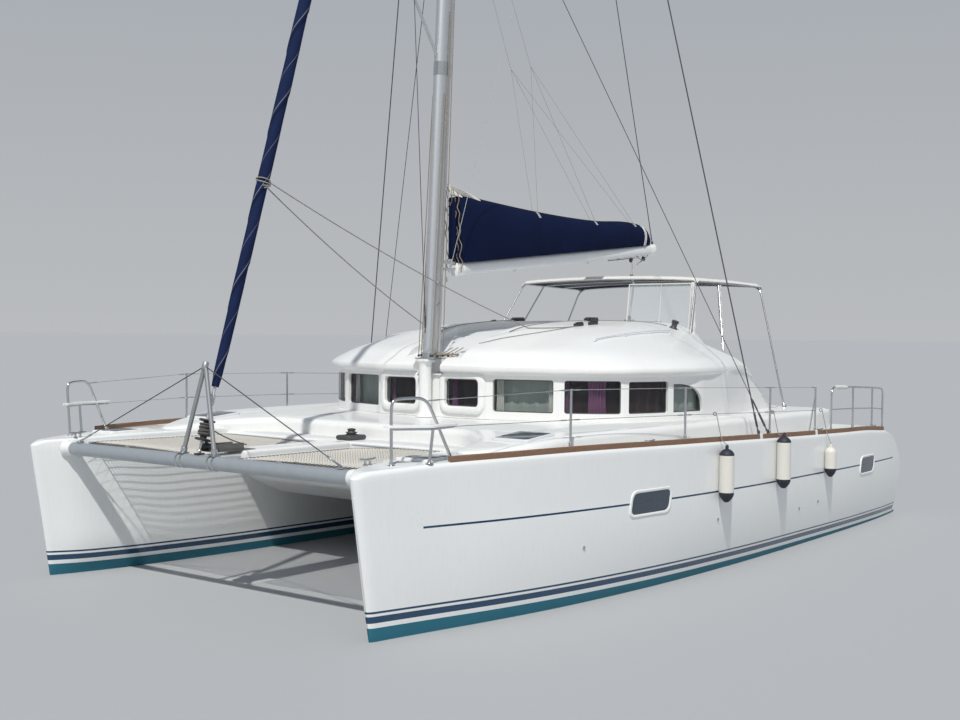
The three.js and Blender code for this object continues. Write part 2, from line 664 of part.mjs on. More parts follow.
// Crossbeam, cut to the inner sides of both bows
const crossbeam = cut(
  rod([BEAM_X, -2300, BEAM_Z], [BEAM_X, 2300, BEAM_Z], BEAM_RADIUS, 16),
  canoeBody.translate([0, -GAP, 0]),
  mirrored(canoeBody).translate([0, GAP, 0]),
);
put('crossbeam', crossbeam, aluminium);

// Striker: two struts on the beam and the stays that run from its head to the beam's ends
const BEAM_TOP = BEAM_Z + BEAM_RADIUS + GAP;
const STRIKER_HEAD = [5367, 0, 2358];
let striker = solid(new THREE.IcosahedronGeometry(46, 1).translate(...STRIKER_HEAD));
for (const side of [-1, 1]) {
  striker = join(
    striker,
    rod([BEAM_X - 4, side * 235, BEAM_TOP], STRIKER_HEAD, 23, 10),
    block([BEAM_X - 45, side * 235 - 45, BEAM_TOP], [BEAM_X + 45, side * 235 + 45, BEAM_TOP + 14]),
    rod([BEAM_X, side * 1960, BEAM_TOP + 10], STRIKER_HEAD, 7, 6),
    block([BEAM_X - 30, side * 1960 - 35, BEAM_TOP], [BEAM_X + 30, side * 1960 + 35, BEAM_TOP + 22]),
  );
}
put('striker', cut(striker, crossbeam.translate([0, 0, GAP])), aluminium);

// Longeron from the foredeck to the crossbeam, with the roller plate at its head
const longeron = cut(
  join(
    block([FOREDECK_FRONT + GAP, -LONGERON_HALF, 1395], [4980, LONGERON_HALF, 1500]),
    block([4900, -110, 1440], [BEAM_X, 110, 1470]),
  ),
  rod([BEAM_X, -3000, BEAM_Z], [BEAM_X, 3000, BEAM_Z], BEAM_RADIUS + GAP, 16),
);
put('longeron', longeron, gelcoat);
const WINDLASS_X = 3260;
const windlass = join(
  block([WINDLASS_X - 140, -110, LOW_DECK + GAP], [WINDLASS_X + 150, 110, 1560]),
  rod([WINDLASS_X, 0, 1550], [WINDLASS_X, 0, 1640], 75, 14),
  rod([WINDLASS_X, 0, 1639], [WINDLASS_X, 0, 1680], 50, 14),
);
put('windlass', windlass, aluminium);

// Nets
const NET_FRONT = 5250;
const NET = { low: 1462, high: 1474 };
const net = cut(
  plate([[NET_FRONT, LONGERON_HALF + GAP], [NET_FRONT, 2500], [FOREDECK_FRONT + GAP, 2500],
    [FOREDECK_FRONT + GAP, LONGERON_HALF + GAP]], NET.low, NET.high),
  canoeBody.translate([0, -GAP, 0]),
);
putPair('trampoline', net, netCord);

// Mast: oval section, raked, on the white post that stands before the windows
const mastAt = (z) => MAST_FOOT.x - MAST_RAKE * (z - MAST_FOOT.z);
function ovalSpar(z0, z1, halfLong, halfWide, taper = 1) {
  const ring = (z, size) => Array.from({ length: 14 }, (_, i) => {
    const angle = (2 * Math.PI * i) / 14;
    return [mastAt(z) + size * halfLong * Math.cos(angle), size * halfWide * Math.sin(angle), z];
  });
  return loft([ring(z0, 1), ring(z1 - 2500, 1), ring(z1, taper)]);
}
const post = cut(
  join(
    rod([1985, 0, TRUNK_TOP - 20], [1985, 0, MAST_FOOT.z - 40 - GAP], 75, 14),
    block([1900, -95, MAST_FOOT.z - 45], [2070, 95, MAST_FOOT.z - 12]),
  ),
  trunk.translate([0, 0, GAP]),
);
put('mast_post', post, gelcoat);
const SPREADER = { z: 9700, tipX: 440, tipY: 1600 };
const HOUNDS = 15700;
const GOOSENECK = [mastAt(GOOSENECK_Z) - 330, 0, GOOSENECK_Z];
const LIFT_HEAD = [mastAt(MAST_TOP) - 410, 0, MAST_TOP - 100];
const swing = new THREE.Vector3(...LIFT_HEAD).sub(new THREE.Vector3(...GOOSENECK)).normalize();
const alongSwing = (distance) => GOOSENECK.map((value, axis) => value + distance * swing.getComponent(axis));
const PIN_RADIUS = 12;
const CRANE = [mastAt(MAST_TOP) - 420, 0, MAST_TOP - 40];
const STRUT_ROOT = [mastAt(5900), 0, 5900];
const STRUT_TIP = [2230, 0, 6640];
const spreader = rod(
  [mastAt(SPREADER.z), 0, SPREADER.z],
  [SPREADER.tipX, SPREADER.tipY, SPREADER.z + 60],
  26,
  8,
  16,
);
const mast = join(
  ovalSpar(MAST_FOOT.z, MAST_TOP, 130, 85, 0.75),
  block([CRANE[0] - 30, -30, MAST_TOP - 90], [mastAt(MAST_TOP), 30, MAST_TOP - 20]),
  spreader,
  mirrored(spreader),
  rod(STRUT_ROOT, STRUT_TIP, 19, 8),
  block([GOOSENECK[0] - 22, -30, GOOSENECK_Z - 60], [mastAt(GOOSENECK_Z) - 60, 30, GOOSENECK_Z - 26]),
  block([GOOSENECK[0] - 22, -30, GOOSENECK_Z + 26], [mastAt(GOOSENECK_Z) - 60, 30, GOOSENECK_Z + 60]),
  rod(alongSwing(-55), alongSwing(55), PIN_RADIUS, 16),
);
put('mast', mast, aluminium);

// Standing rigging
const CHAINPLATE = { x: -420, y: 3205 };
const chainplateZ = deckAt(CHAINPLATE.x);
const LOWER_SHROUD_AFT = 260;
const LOWER_SHROUD_HEAD = SPREADER.z - 300;
const wire = 6;
const spreaderTip = (z) => [SPREADER.tipX, SPREADER.tipY, SPREADER.z + z];
const shroud = join(
  rod([CHAINPLATE.x, CHAINPLATE.y, chainplateZ + GAP], spreaderTip(82), wire, 6),
  rod(spreaderTip(78), [mastAt(HOUNDS) - 20, 92, HOUNDS], wire, 6),
  rod(
    [CHAINPLATE.x - LOWER_SHROUD_AFT, CHAINPLATE.y, chainplateZ + GAP],
    [mastAt(LOWER_SHROUD_HEAD), 92, LOWER_SHROUD_HEAD],
    wire,
    6,
  ),
  block(
    [CHAINPLATE.x - LOWER_SHROUD_AFT - 40, CHAINPLATE.y - 9, chainplateZ - 4],
    [CHAINPLATE.x + 40, CHAINPLATE.y + 9, chainplateZ + 90],
  ),
);
const shroudFree = trimmed(shroud, mast, canoeBody);
putPair('shrouds', shroudFree, steel);

// Forestay with the furled headsail, its drum and the link to the beam
const stayAt = (z) => 5238 - STAY_RAKE * (z - 2145);
const onStay = (z) => [stayAt(z), 0, z];
const DRUM = { low: 1620, high: 1820, radius: 82 };
const STAY_HEAD = HOUNDS - 150;
const genoa = trimmed(
  join(
    rod(onStay(DRUM.high + GAP), onStay(2150), 17, 8),
    rod(onStay(2149), onStay(2600), 40, 12, 52),
    rod(onStay(2599), onStay(5000), 52, 12, 66),
    rod(onStay(4999), onStay(11000), 66, 12, 60),
    rod(onStay(10999), onStay(14900), 60, 12, 34),
    rod(onStay(14899), onStay(STAY_HEAD + 200), 9, 6),
  ),
  mast,
);
put('furled_headsail', genoa, navyCanvas);
const drum = join(
  rod(onStay(DRUM.low), onStay(DRUM.low + 18), DRUM.radius, 16),
  rod(onStay(DRUM.high - 18), onStay(DRUM.high), DRUM.radius, 16),
  rod(onStay(DRUM.low), onStay(DRUM.high), 38, 12),
  rod([BEAM_X - 20, 0, BEAM_TOP], onStay(DRUM.low + 5), 14, 8),
  block([BEAM_X - 50, -40, BEAM_TOP], [BEAM_X + 30, 40, BEAM_TOP + 16]),
);
put('furler_drum', cut(drum, crossbeam.translate([0, 0, GAP])), blackPlastic);

// Stay ahead of the mast, spread by the strut
const jumper = trimmed(
  join(
    rod([mastAt(2700) + 120, 0, 2700], [STRUT_TIP[0] + 14, 0, STRUT_TIP[2] + 20], 5, 6),
    rod([STRUT_TIP[0] + 14, 0, STRUT_TIP[2] + 16], [mastAt(12300) + 100, 0, 12300], 5, 6),
    solid(new THREE.IcosahedronGeometry(9, 0).translate(STRUT_TIP[0] + 14, 0, STRUT_TIP[2] + 18)),
  ),
  mast,
);
put('jumper_stay', jumper, steel);

// Boom with the bagged mainsail
const BOOM_RISE = 0.108;
const boomAxisZ = (x) => GOOSENECK_Z - 40 + BOOM_RISE * (GOOSENECK[0] - x);
const BOOM = { front: GOOSENECK[0], aft: -3410, half: 62, depth: 82 };
const boomRing = (x) => Array.from({ length: 12 }, (_, i) => {
  const angle = (2 * Math.PI * i) / 12;
  return [x, BOOM.half * Math.cos(angle), boomAxisZ(x) + BOOM.depth * Math.sin(angle)];
});
const boom = cut(
  join(
    loft([boomRing(BOOM.front - 75), boomRing(BOOM.aft)]),
    rod(alongSwing(-18), alongSwing(18), 26, 16),
    block([GOOSENECK[0] - 90, -22, GOOSENECK_Z - 17], [GOOSENECK[0] - 4, 22, GOOSENECK_Z + 17]),
  ),
  rod(alongSwing(-60), alongSwing(60), PIN_RADIUS + 0.8, 16),
);
put('boom', boom, aluminium);

// Canvas bag along the boom with the sail in it, and the sail's head ahead of it
const BAG = [
  // x, lower z above the boom's axis, upper z, half width
  { x: 1440, low: 90, high: 4380, half: 60 },
  { x: 1300, low: 78, high: 4430, half: 120 },
  { x: 900, low: 78, high: 4425, half: 150 },
  { x: -370, low: 78, high: 4372, half: 150 },
  { x: -2000, low: 78, high: 4375, half: 130 },
  { x: -2990, low: 80, high: 4366, half: 95 },
  { x: -3220, low: 84, high: 4240, half: 50 },
];
const bagRing = ({ x, low, high, half }) => {
  const foot = boomAxisZ(x) + low;
  const middle = foot + (high - foot) * 0.45;
  return [
    [x, 0, foot], [x, half * 0.8, foot + 20], [x, half, middle], [x, half * 0.45, high - 30],
    [x, 0, high], [x, -half * 0.45, high - 30], [x, -half, middle], [x, -half * 0.8, foot + 20],
  ];
};
const bag = trimmed(loft(BAG.map(bagRing)), boom);
put('sail_bag', bag, navyCanvas);

// Topping lift from the boom's end to the crane, riding with the boom
const LIFT_FOOT = [-3350, 0, boomAxisZ(-3350) + BOOM.depth + GAP];
const lift = trimmed(
  join(
    rod(LIFT_FOOT, LIFT_HEAD, 6, 6),
    block([LIFT_FOOT[0] - 25, -12, LIFT_FOOT[2]], [LIFT_FOOT[0] + 25, 12, LIFT_FOOT[2] + 50]),
  ),
  boom,
  mast,
);
put('topping_lift', lift, steel);

// Bimini over the cockpit, its frame and the clear screen ahead of the helm
const BIMINI = {
  front: -2025, aft: -3810, frontY: 1490, aftY: 1610, frontZ: 3506, aftZ: 3475, crown: 45, thick: 34,
};
const biminiRing = (x, y, z) => [
  [x, y, z - BIMINI.thick], [x, y, z], [x, y * 0.55, z + BIMINI.crown * 0.8], [x, 0, z + BIMINI.crown],
  [x, -y * 0.55, z + BIMINI.crown * 0.8], [x, -y, z], [x, -y, z - BIMINI.thick],
  [x, -y * 0.55, z + BIMINI.crown * 0.8 - BIMINI.thick], [x, 0, z + BIMINI.crown - BIMINI.thick],
  [x, y * 0.55, z + BIMINI.crown * 0.8 - BIMINI.thick],
];
const bimini = loft([
  biminiRing(BIMINI.front, BIMINI.frontY, BIMINI.frontZ),
  biminiRing((BIMINI.front + BIMINI.aft) / 2, (BIMINI.frontY + BIMINI.aftY) / 2, BIMINI.frontZ + 6),
  biminiRing(BIMINI.aft, BIMINI.aftY, BIMINI.aftZ),
]);
const SHEET_SLOT = { front: -2560, aft: -2960, half: 90 };
const sheetSlot = block(
  [SHEET_SLOT.aft, -SHEET_SLOT.half, 3300],
  [SHEET_SLOT.front, SHEET_SLOT.half, 3700],
);
put('bimini', cut(bimini, sheetSlot), whiteCanvas);

// Rails on each side
const deckEdge = (x) => outerAt(x) - 75;
const STANCHIONS = [3210, 1270, -740];
const stanchionFoot = (x) => [x, deckEdge(x), deckAt(x) + GAP];
const above = ([x, y, z], height) => [x, y + 4, z + height];
const PULPIT = {
  frontFoot: [5270, 2400], aftFoot: [4650, 2590], frontTop: [5300, 2420, 2090], aftTop: [4950, 2530, 2125],
};
const pulpitTube = 14;
const pulpit = join(
  bentRod([
    [...PULPIT.frontFoot, deckAt(5270) + GAP],
    PULPIT.frontTop,
    [5225, 2432, 2122],
    PULPIT.aftTop,
    [...PULPIT.aftFoot, deckAt(4650) + GAP],
  ], pulpitTube),
  bentRod([[5300, 2415, 1850], [4985, 2640, 1850], [4640, 2590, 1850]], 10, 6),
  rod([4985, 2640, 1850], [4985, 2600, deckAt(4985) + GAP], pulpitTube, 8),
  plate([[5320, 2360], [5350, 2440], [4980, 2660], [4620, 2640], [4610, 2570], [4960, 2500]], 1862, 1886),
);
putPair('pulpit', trimmed(pulpit, canoeBody), steel);
const railTube = 13;
const lineRadius = 4;
const railFeet = STANCHIONS.map(stanchionFoot);
const gateFoot = stanchionFoot(-2150);
const sternFoot = stanchionFoot(-2700);
const lifeline = (height) => {
  const stops = [
    [4630, 2600, deckAt(4650) + height],
    ...railFeet.map((foot) => above(foot, height)),
    above(gateFoot, height),
  ];
  return stops.slice(1).map((stop, i) => rod(stops[i], stop, lineRadius, 6));
};
const guardrail = join(
  ...railFeet.map((foot) => rod(foot, above(foot, LIFELINE_HEIGHT), railTube, 8)),
  rod(gateFoot, above(gateFoot, LIFELINE_HEIGHT), railTube, 8),
  ...lifeline(LIFELINE_HEIGHT - 12),
  ...lifeline(LOWER_LINE),
);
putPair('guardrail', trimmed(guardrail, canoeBody, pulpit), steel);
const pushpitPosts = [sternFoot, stanchionFoot(-3500), stanchionFoot(-4330), stanchionFoot(-4840)];
const railAt = (height) => {
  const stops = pushpitPosts.map((f) => above(f, height));
  return stops.slice(1).map((stop, i) => rod(stops[i], stop, height > LOWER_LINE ? railTube : 9, 8));
};
const pushpit = join(
  ...pushpitPosts.map((foot) => rod(foot, above(foot, LIFELINE_HEIGHT - 5), railTube, 8)),
  ...railAt(LIFELINE_HEIGHT - 12),
  ...railAt(LOWER_LINE),
);
putPair('pushpit', trimmed(pushpit, canoeBody), steel);

// Teak toe rail along the deck edge, in one strip each side
const TOE_RAIL = { front: 4760, aft: -4780, wide: 42, high: 52, steps: 14 };
const toeRings = Array.from({ length: TOE_RAIL.steps + 1 }, (_, i) => {
  const x = TOE_RAIL.front + ((TOE_RAIL.aft - TOE_RAIL.front) * i) / TOE_RAIL.steps;
  const y = outerAt(x) - 46;
  const z = deckAt(x) - 30;
  const top = z + 30 + TOE_RAIL.high;
  const half = TOE_RAIL.wide / 2;
  return [[x, y - half, z], [x, y + half, z], [x, y + half - 6, top], [x, y - half + 6, top]];
});
const toeRail = trimmed(loft(toeRings), canoeBody, pulpit, guardrail, pushpit, shroud);
putPair('toe_rail', toeRail, teak);

// Fenders hung along the port side
const FENDERS = [
  { x: 640, top: 1430, length: 600, radius: 85 },
  { x: -810, top: 1490, length: 630, radius: 85 },
  { x: -2340, top: 1260, length: 390, radius: 75 },
];
FENDERS.forEach(({ x, top, length, radius }, i) => {
  const profile = [
    [0, -length], [radius * 0.3, -length], [radius, -length + 110], [radius, -70],
    [radius * 0.3, 0], [16, 6], [16, 50], [0, 50],
  ].map(([r, z]) => new THREE.Vector2(r, z));
  const y = sideAt(x, top - 70) + radius;
  const body = solid(new THREE.LatheGeometry(profile, 14).rotateX(Math.PI / 2).translate(x, y, top));
  const bend = Math.max(deckAt(x) + 20, top + 60);
  const lanyard = bentRod(
    [[x, y, top + 45], [x, outerAt(x) + 14, bend], [x, deckEdge(x) + 24, deckAt(x) + 300]],
    5,
    6,
  );
  const hung = trimmed(join(body, lanyard), canoeBody, toeRail, guardrail, pushpit, shroud);
  put(`fender_${i + 1}`, hung, fenderVinyl);
});

// Lids, each hinged on one edge
const lidOf = ({ x, y, halfLong, halfWide }, low, high) => block(
  [x - halfLong, y - halfWide, low],
  [x + halfLong, y + halfWide, high],
);
putPair('bow_locker_lid', cut(lidOf(LOCKER, 1400, 1566), canoeBody.translate([0, 0, GAP])), gelcoat);
const LID_THICK = 30;
const lineRaised = (rise) => TRUNK_LINE.map(([x, z]) => [x, z + rise]);
const hatchLid = cut(
  lidOf(HATCH, 1400, 2000),
  sidePlate([[4200, 1000], ...lineRaised(GAP).reverse(), [-FAR, 1000]], -FAR, FAR),
  sidePlate([...lineRaised(LID_THICK), [4200, 2500], [-FAR, 2500]], -FAR, FAR),
);
putPair('cabin_hatch', hatchLid, glazing);

// Bimini frame: a bow at each end, joined by a tube along each side
const FRAME_TUBE = 13;
const underCanvas = BIMINI.thick + FRAME_TUBE;
const bow = (x, y, z) => [
  [x, y, z - underCanvas], [x, y * 0.55, z + BIMINI.crown * 0.8 - underCanvas],
  [x, -y * 0.55, z + BIMINI.crown * 0.8 - underCanvas], [x, -y, z - underCanvas],
];
const frontFoot = [-1560, 1640, 2650];
const aftFoot = [-3450, 2150, TRUNK_TOP + GAP];
const sideways = ([x, y, z]) => [x, -y, z];
const frontBow = bow(BIMINI.front - 25, BIMINI.frontY - 25, BIMINI.frontZ);
const aftBow = bow(BIMINI.aft + 30, BIMINI.aftY - 25, BIMINI.aftZ);
const biminiFrame = join(
  bentRod([frontFoot, ...frontBow, sideways(frontFoot)], FRAME_TUBE),
  bentRod([aftFoot, ...aftBow, sideways(aftFoot)], FRAME_TUBE),
  rod(frontBow[0], aftBow[0], FRAME_TUBE),
  rod(frontBow[3], aftBow[3], FRAME_TUBE),
);
const framed = trimmed(biminiFrame, houseOutside, trunk, bimini);
put('bimini_frame', framed, steel);

// Clear screen between the roof and the canopy, ahead of the helm
const screen = trimmed(
  sidePlate([[-1900, 2700], [-1996, 3428], [-1999, 3428], [-1903, 2700]], 420, 1430),
  houseOutside,
  framed,
);
put('cockpit_screen', screen, vinyl);

// Mainsheet: the fall above the canopy, and the lower part through its slot to the track on the roof
const SLOT_X = (SHEET_SLOT.front + SHEET_SLOT.aft) / 2;
const BOOM_BLOCK_X = -2900;
const boomBlockZ = boomAxisZ(BOOM_BLOCK_X) - BOOM.depth;
const sheet = trimmed(
  join(
    rod([SLOT_X, 0, 3600], [BOOM_BLOCK_X + 20, 0, boomBlockZ + 6], 6, 6),
    rod([SLOT_X, 0, 3600], [BOOM_BLOCK_X - 60, 0, boomBlockZ + 6], 6, 6),
  ),
  boom,
);
put('mainsheet', sheet, blackPlastic);
const CAR = [-2080, 380, 2915];
const track = trimmed(
  join(
    block([-2110, -900, 2860], [-2060, 900, 2902]),
    block([CAR[0] - 45, CAR[1] - 60, 2901], [CAR[0] + 45, CAR[1] + 60, 2925]),
    bentRod([CAR, [SLOT_X, 40, 3480], [SLOT_X, 0, 3600 - 9]], 7, 6),
  ),
  houseOutside,
  sheet,
);
put('mainsheet_track', track, blackPlastic);

export default boat;
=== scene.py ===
# Looks of a cruising sailing catamaran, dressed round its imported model.
# Metres. +X forward, +Y to port, +Z up. The origin is at the waterline, amidships.
import json
import math

import bmesh
import bpy
import numpy as np
from mathutils import Matrix, Vector
from mathutils.geometry import delaunay_2d_cdt


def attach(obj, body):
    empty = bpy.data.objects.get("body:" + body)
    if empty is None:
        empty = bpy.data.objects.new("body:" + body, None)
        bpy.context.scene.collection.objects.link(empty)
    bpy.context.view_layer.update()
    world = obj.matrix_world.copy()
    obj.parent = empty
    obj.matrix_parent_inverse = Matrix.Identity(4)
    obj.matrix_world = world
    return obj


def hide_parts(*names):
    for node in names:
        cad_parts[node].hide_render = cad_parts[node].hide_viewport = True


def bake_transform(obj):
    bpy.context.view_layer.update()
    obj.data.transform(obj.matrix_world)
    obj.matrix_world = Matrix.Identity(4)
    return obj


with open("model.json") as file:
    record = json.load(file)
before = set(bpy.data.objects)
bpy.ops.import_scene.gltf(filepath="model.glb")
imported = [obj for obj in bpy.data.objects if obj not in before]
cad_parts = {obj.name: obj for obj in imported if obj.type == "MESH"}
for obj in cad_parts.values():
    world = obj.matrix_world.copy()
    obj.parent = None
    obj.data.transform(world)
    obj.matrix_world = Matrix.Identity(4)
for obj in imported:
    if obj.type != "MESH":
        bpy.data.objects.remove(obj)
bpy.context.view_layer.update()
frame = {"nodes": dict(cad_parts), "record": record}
RECORD = frame["record"]
BODY_OF = {node: body for body, nodes in RECORD["behaviour"]["bodies"].items() for node in nodes}
SLOT_OF = {row["node"]: row["material_slot"] for row in RECORD["subparts"]}
SIDES = (("port", 1.0), ("starboard", -1.0))
PI = math.pi


# Camera: where the photograph was taken from, in the boat's own frame
CAMERA_PLACE = (13.710, 9.943, 2.705)
CAMERA_YAW = math.radians(-142.15)
CAMERA_PITCH = math.radians(-1.18)
CAMERA_ROLL = math.radians(0.54)
CAMERA_LENS = 47.88


def camera():
    """Looks along yaw and pitch, then turns by the roll about that line"""
    look = Vector((
        math.cos(CAMERA_PITCH) * math.cos(CAMERA_YAW),
        math.cos(CAMERA_PITCH) * math.sin(CAMERA_YAW),
        math.sin(CAMERA_PITCH),
    ))
    right = look.cross(Vector((0, 0, 1))).normalized()
    over = right.cross(look)
    c, s = math.cos(CAMERA_ROLL), math.sin(CAMERA_ROLL)
    across, up = right * c + over * s, over * c - right * s
    data = bpy.data.cameras.new("camera")
    data.lens = CAMERA_LENS
    data.sensor_width = 36
    data.clip_end = 2400
    made = bpy.data.objects.new("camera", data)
    bpy.context.scene.collection.objects.link(made)
    made.matrix_world = Matrix((
        (across.x, up.x, -look.x, CAMERA_PLACE[0]),
        (across.y, up.y, -look.y, CAMERA_PLACE[1]),
        (across.z, up.z, -look.z, CAMERA_PLACE[2]),
        (0, 0, 0, 1),
    ))
    bpy.context.scene.camera = made


# Shapes are pairs of points (n, 3) and a list of (faces, corner uv) arrays
def grid(points, around=False, along=False, ends=False, lengths=None):
    """Quads over an array of rows and columns of points. around joins the last column to the first,
    along the last row to the first, and ends closes the first and last rows"""
    points = np.asarray(points, float)
    rows, columns = points.shape[:2]
    r, c = np.meshgrid(
        np.arange(rows if along else rows - 1),
        np.arange(columns if around else columns - 1),
        indexing="ij",
    )
    r, c = r.ravel(), c.ravel()
    r1, c1 = (r + 1) % rows, (c + 1) % columns
    faces = np.stack([r * columns + c, r * columns + c1, r1 * columns + c1, r1 * columns + c], -1)
    lengths = np.arange(rows + 1) / rows if lengths is None else np.append(lengths, lengths[-1])
    u = np.stack([c, c + 1, c + 1, c], -1) / columns
    v = np.stack([lengths[r], lengths[r], lengths[r + 1], lengths[r + 1]], -1)
    groups = [(faces, np.stack([u, v], -1))]
    if ends:
        first = np.arange(columns)[None, ::-1]
        last = np.arange((rows - 1) * columns, rows * columns)[None]
        for cap in (first, last):
            groups.append((cap, np.zeros((1, columns, 2))))
    return points.reshape(-1, 3), groups


def joined(*shapes):
    """Several shapes as one"""
    points, groups, start = [], [], 0
    for shape_points, shape_groups in shapes:
        points.append(shape_points)
        groups += [(faces + start, uv) for faces, uv in shape_groups]
        start += len(shape_points)
    return np.concatenate(points), groups


def moved(shape, matrix):
    """A shape carried by a 4 by 4 matrix"""
    m = np.array(matrix)
    return shape[0] @ m[:3, :3].T + m[:3, 3], shape[1]


def mirrored(shape):
    """A shape on the other side of the boat"""
    return shape[0] * (1, -1, 1), [(faces[:, ::-1], uv[:, ::-1]) for faces, uv in shape[1]]


def on_side(shape, side):
    return shape if side > 0 else mirrored(shape)


def both(shape):
    return joined(shape, mirrored(shape))


def unit(v):
    return v / np.maximum(np.linalg.norm(v, axis=-1, keepdims=True), 1e-12)


def through(table, x):
    """A smooth cubic through rows of (x, value), each slope taken from its neighbours"""
    table = np.asarray(table, float)
    xs, ys = table[np.argsort(table[:, 0])].T
    slopes = np.gradient(ys, xs)
    x = np.clip(x, xs[0], xs[-1])
    i = np.clip(np.searchsorted(xs, x) - 1, 0, len(xs) - 2)
    h = xs[i + 1] - xs[i]
    t = (x - xs[i]) / h
    return (
        (1 + 2 * t) * (1 - t) ** 2 * ys[i] + t * (1 - t) ** 2 * h * slopes[i]
        + t * t * (3 - 2 * t) * ys[i + 1] + t * t * (t - 1) * h * slopes[i + 1]
    )


def even(path, count):
    """A path cut into equal lengths"""
    path = np.asarray(path, float)
    run = np.concatenate([[0], np.cumsum(np.linalg.norm(np.diff(path, axis=0), axis=1))])
    at = np.linspace(0, run[-1], count)
    return np.stack([np.interp(at, run, path[:, k]) for k in range(path.shape[1])], -1)


def eased(path, times=3, closed=False):
    """Corners cut again and again at a quarter of each run, so that they turn into curves"""
    path = np.asarray(path, float)
    for _ in range(times):
        following = np.roll(path, -1, 0) if closed else path[1:]
        here = path if closed else path[:-1]
        cut = np.stack([0.75 * here + 0.25 * following, 0.25 * here + 0.75 * following], 1)
        cut = cut.reshape(-1, path.shape[1])
        path = cut if closed else np.concatenate([path[:1], cut, path[-1:]])
    return path


def bent(points, turn, steps=6):
    """Straight runs whose corners are rounded, each curve starting a length 'turn' before its corner"""
    points = np.asarray(points, float)
    t = np.linspace(0, 1, steps + 1)[:, None]
    made = [points[:1]]
    for before, corner, after in zip(points, points[1:], points[2:]):
        start = corner + unit(before - corner) * min(turn, 0.45 * np.linalg.norm(before - corner))
        end = corner + unit(after - corner) * min(turn, 0.45 * np.linalg.norm(after - corner))
        made.append((1 - t) ** 2 * start + 2 * t * (1 - t) * corner + t * t * end)
    return np.concatenate(made + [points[-1:]])


def slack(start, end, sag, steps=16):
    """A rope between two points that hangs down in a parabola"""
    t = np.linspace(0, 1, steps)[:, None]
    path = np.asarray(start, float) * (1 - t) + np.asarray(end, float) * t
    return path - 4 * sag * t * (1 - t) * np.array([0, 0, 1.0])


def tube(path, radius, sides=10, closed=False):
    """A round bar: a ring at each point of the path, square to it"""
    path = np.asarray(path, float)
    if closed:
        tangent = np.roll(path, -1, 0) - np.roll(path, 1, 0)
    else:
        tangent = np.gradient(path, axis=0)
    tangent = unit(tangent)
    away = np.linalg.svd(tangent)[2][-1]
    side = unit(np.cross(tangent, away))
    over = np.cross(side, tangent)
    angle = 2 * PI * np.arange(sides) / sides
    size = np.broadcast_to(np.asarray(radius, float), (len(path),))[:, None, None]
    ring = np.cos(angle)[None, :, None] * side[:, None] + np.sin(angle)[None, :, None] * over[:, None]
    runs = np.linalg.norm(np.diff(path, axis=0), axis=1)
    lengths = np.concatenate([[0], np.cumsum(runs)])
    if closed:
        lengths = np.append(lengths, lengths[-1] + np.linalg.norm(path[0] - path[-1]))
    return grid(path[:, None] + size * ring, True, closed, not closed, lengths)


def whole_turn(count):
    """Equal angles right round, the last one short of the first"""
    return np.linspace(0, 2 * PI, count + 1)[:-1]


def rod(start, end, radius, sides=12):
    return tube([start, end], radius, sides)


def turned(profile, origin, axis=(0, 0, 1), sides=24):
    """Rows of (radius, distance) turned about an axis"""
    profile = np.asarray(profile, float)
    axis = unit(np.asarray(axis, float))
    side = unit(np.cross(axis, (0, 0, 1) if abs(axis[2]) < 0.9 else (1, 0, 0)))
    over = np.cross(axis, side)
    angle = 2 * PI * np.arange(sides) / sides
    ring = np.cos(angle)[:, None] * side + np.sin(angle)[:, None] * over
    centre = np.asarray(origin, float) + profile[:, 1, None] * axis
    return grid(centre[:, None] + profile[:, 0, None, None] * ring, True, False, True)


def slab(low, high, soft=0.01, steps=3):
    """A box with round edges: rings of quarter circles about four corner posts, smaller towards
    the top and the bottom"""
    low, high = np.minimum(low, high).astype(float), np.maximum(low, high).astype(float)
    middle, half = (low + high) / 2, (high - low) / 2
    soft = min(soft, half.min() * 0.98)
    rise = np.concatenate([np.linspace(-PI / 2, 0, steps + 1), np.linspace(0, PI / 2, steps + 1)])
    level = np.repeat([-1.0, 1.0], steps + 1)
    turn = (np.linspace(0, PI / 2, steps + 1)[None] + PI / 2 * np.arange(4)[:, None]).ravel()
    corner = np.repeat(np.array([[1, 1], [-1, 1], [-1, -1], [1, -1]]), steps + 1, 0)
    flat = corner * (half[:2] - soft)
    ring = np.stack([np.cos(turn), np.sin(turn)], -1)
    points = np.zeros((len(rise), len(turn), 3))
    points[..., :2] = flat[None] + soft * np.cos(rise)[:, None, None] * ring[None]
    points[..., 2] = (level * (half[2] - soft) + soft * np.sin(rise))[:, None]
    return grid(points + middle, True, False, True)


def swept(path, section, closed=False, up=(0, 0, 1)):
    """A closed section of (across, up) points carried along a path and kept upright"""
    path, section = np.asarray(path, float), np.asarray(section, float)
    if closed:
        tangent = np.roll(path, -1, 0) - np.roll(path, 1, 0)
    else:
        tangent = np.gradient(path, axis=0)
    across = unit(np.cross(tangent, up))
    over = unit(np.cross(across, tangent))
    points = (
        path[:, None]
        + section[None, :, 0, None] * across[:, None]
        + section[None, :, 1, None] * over[:, None]
    )
    return grid(points, True, closed, not closed)


def rounded(width, height, soft, steps=3):
    """Section of a bar with round edges, its foot at zero"""
    turn = (np.linspace(0, PI / 2, steps + 1)[None] + PI / 2 * np.arange(4)[:, None]).ravel()
    corner = np.repeat(np.array([[1, 1], [-1, 1], [-1, -1], [1, -1]]), steps + 1, 0)
    ring = np.stack([np.cos(turn), np.sin(turn)], -1) * soft
    return corner * (width / 2 - soft, height / 2 - soft) + ring + (0, height / 2)


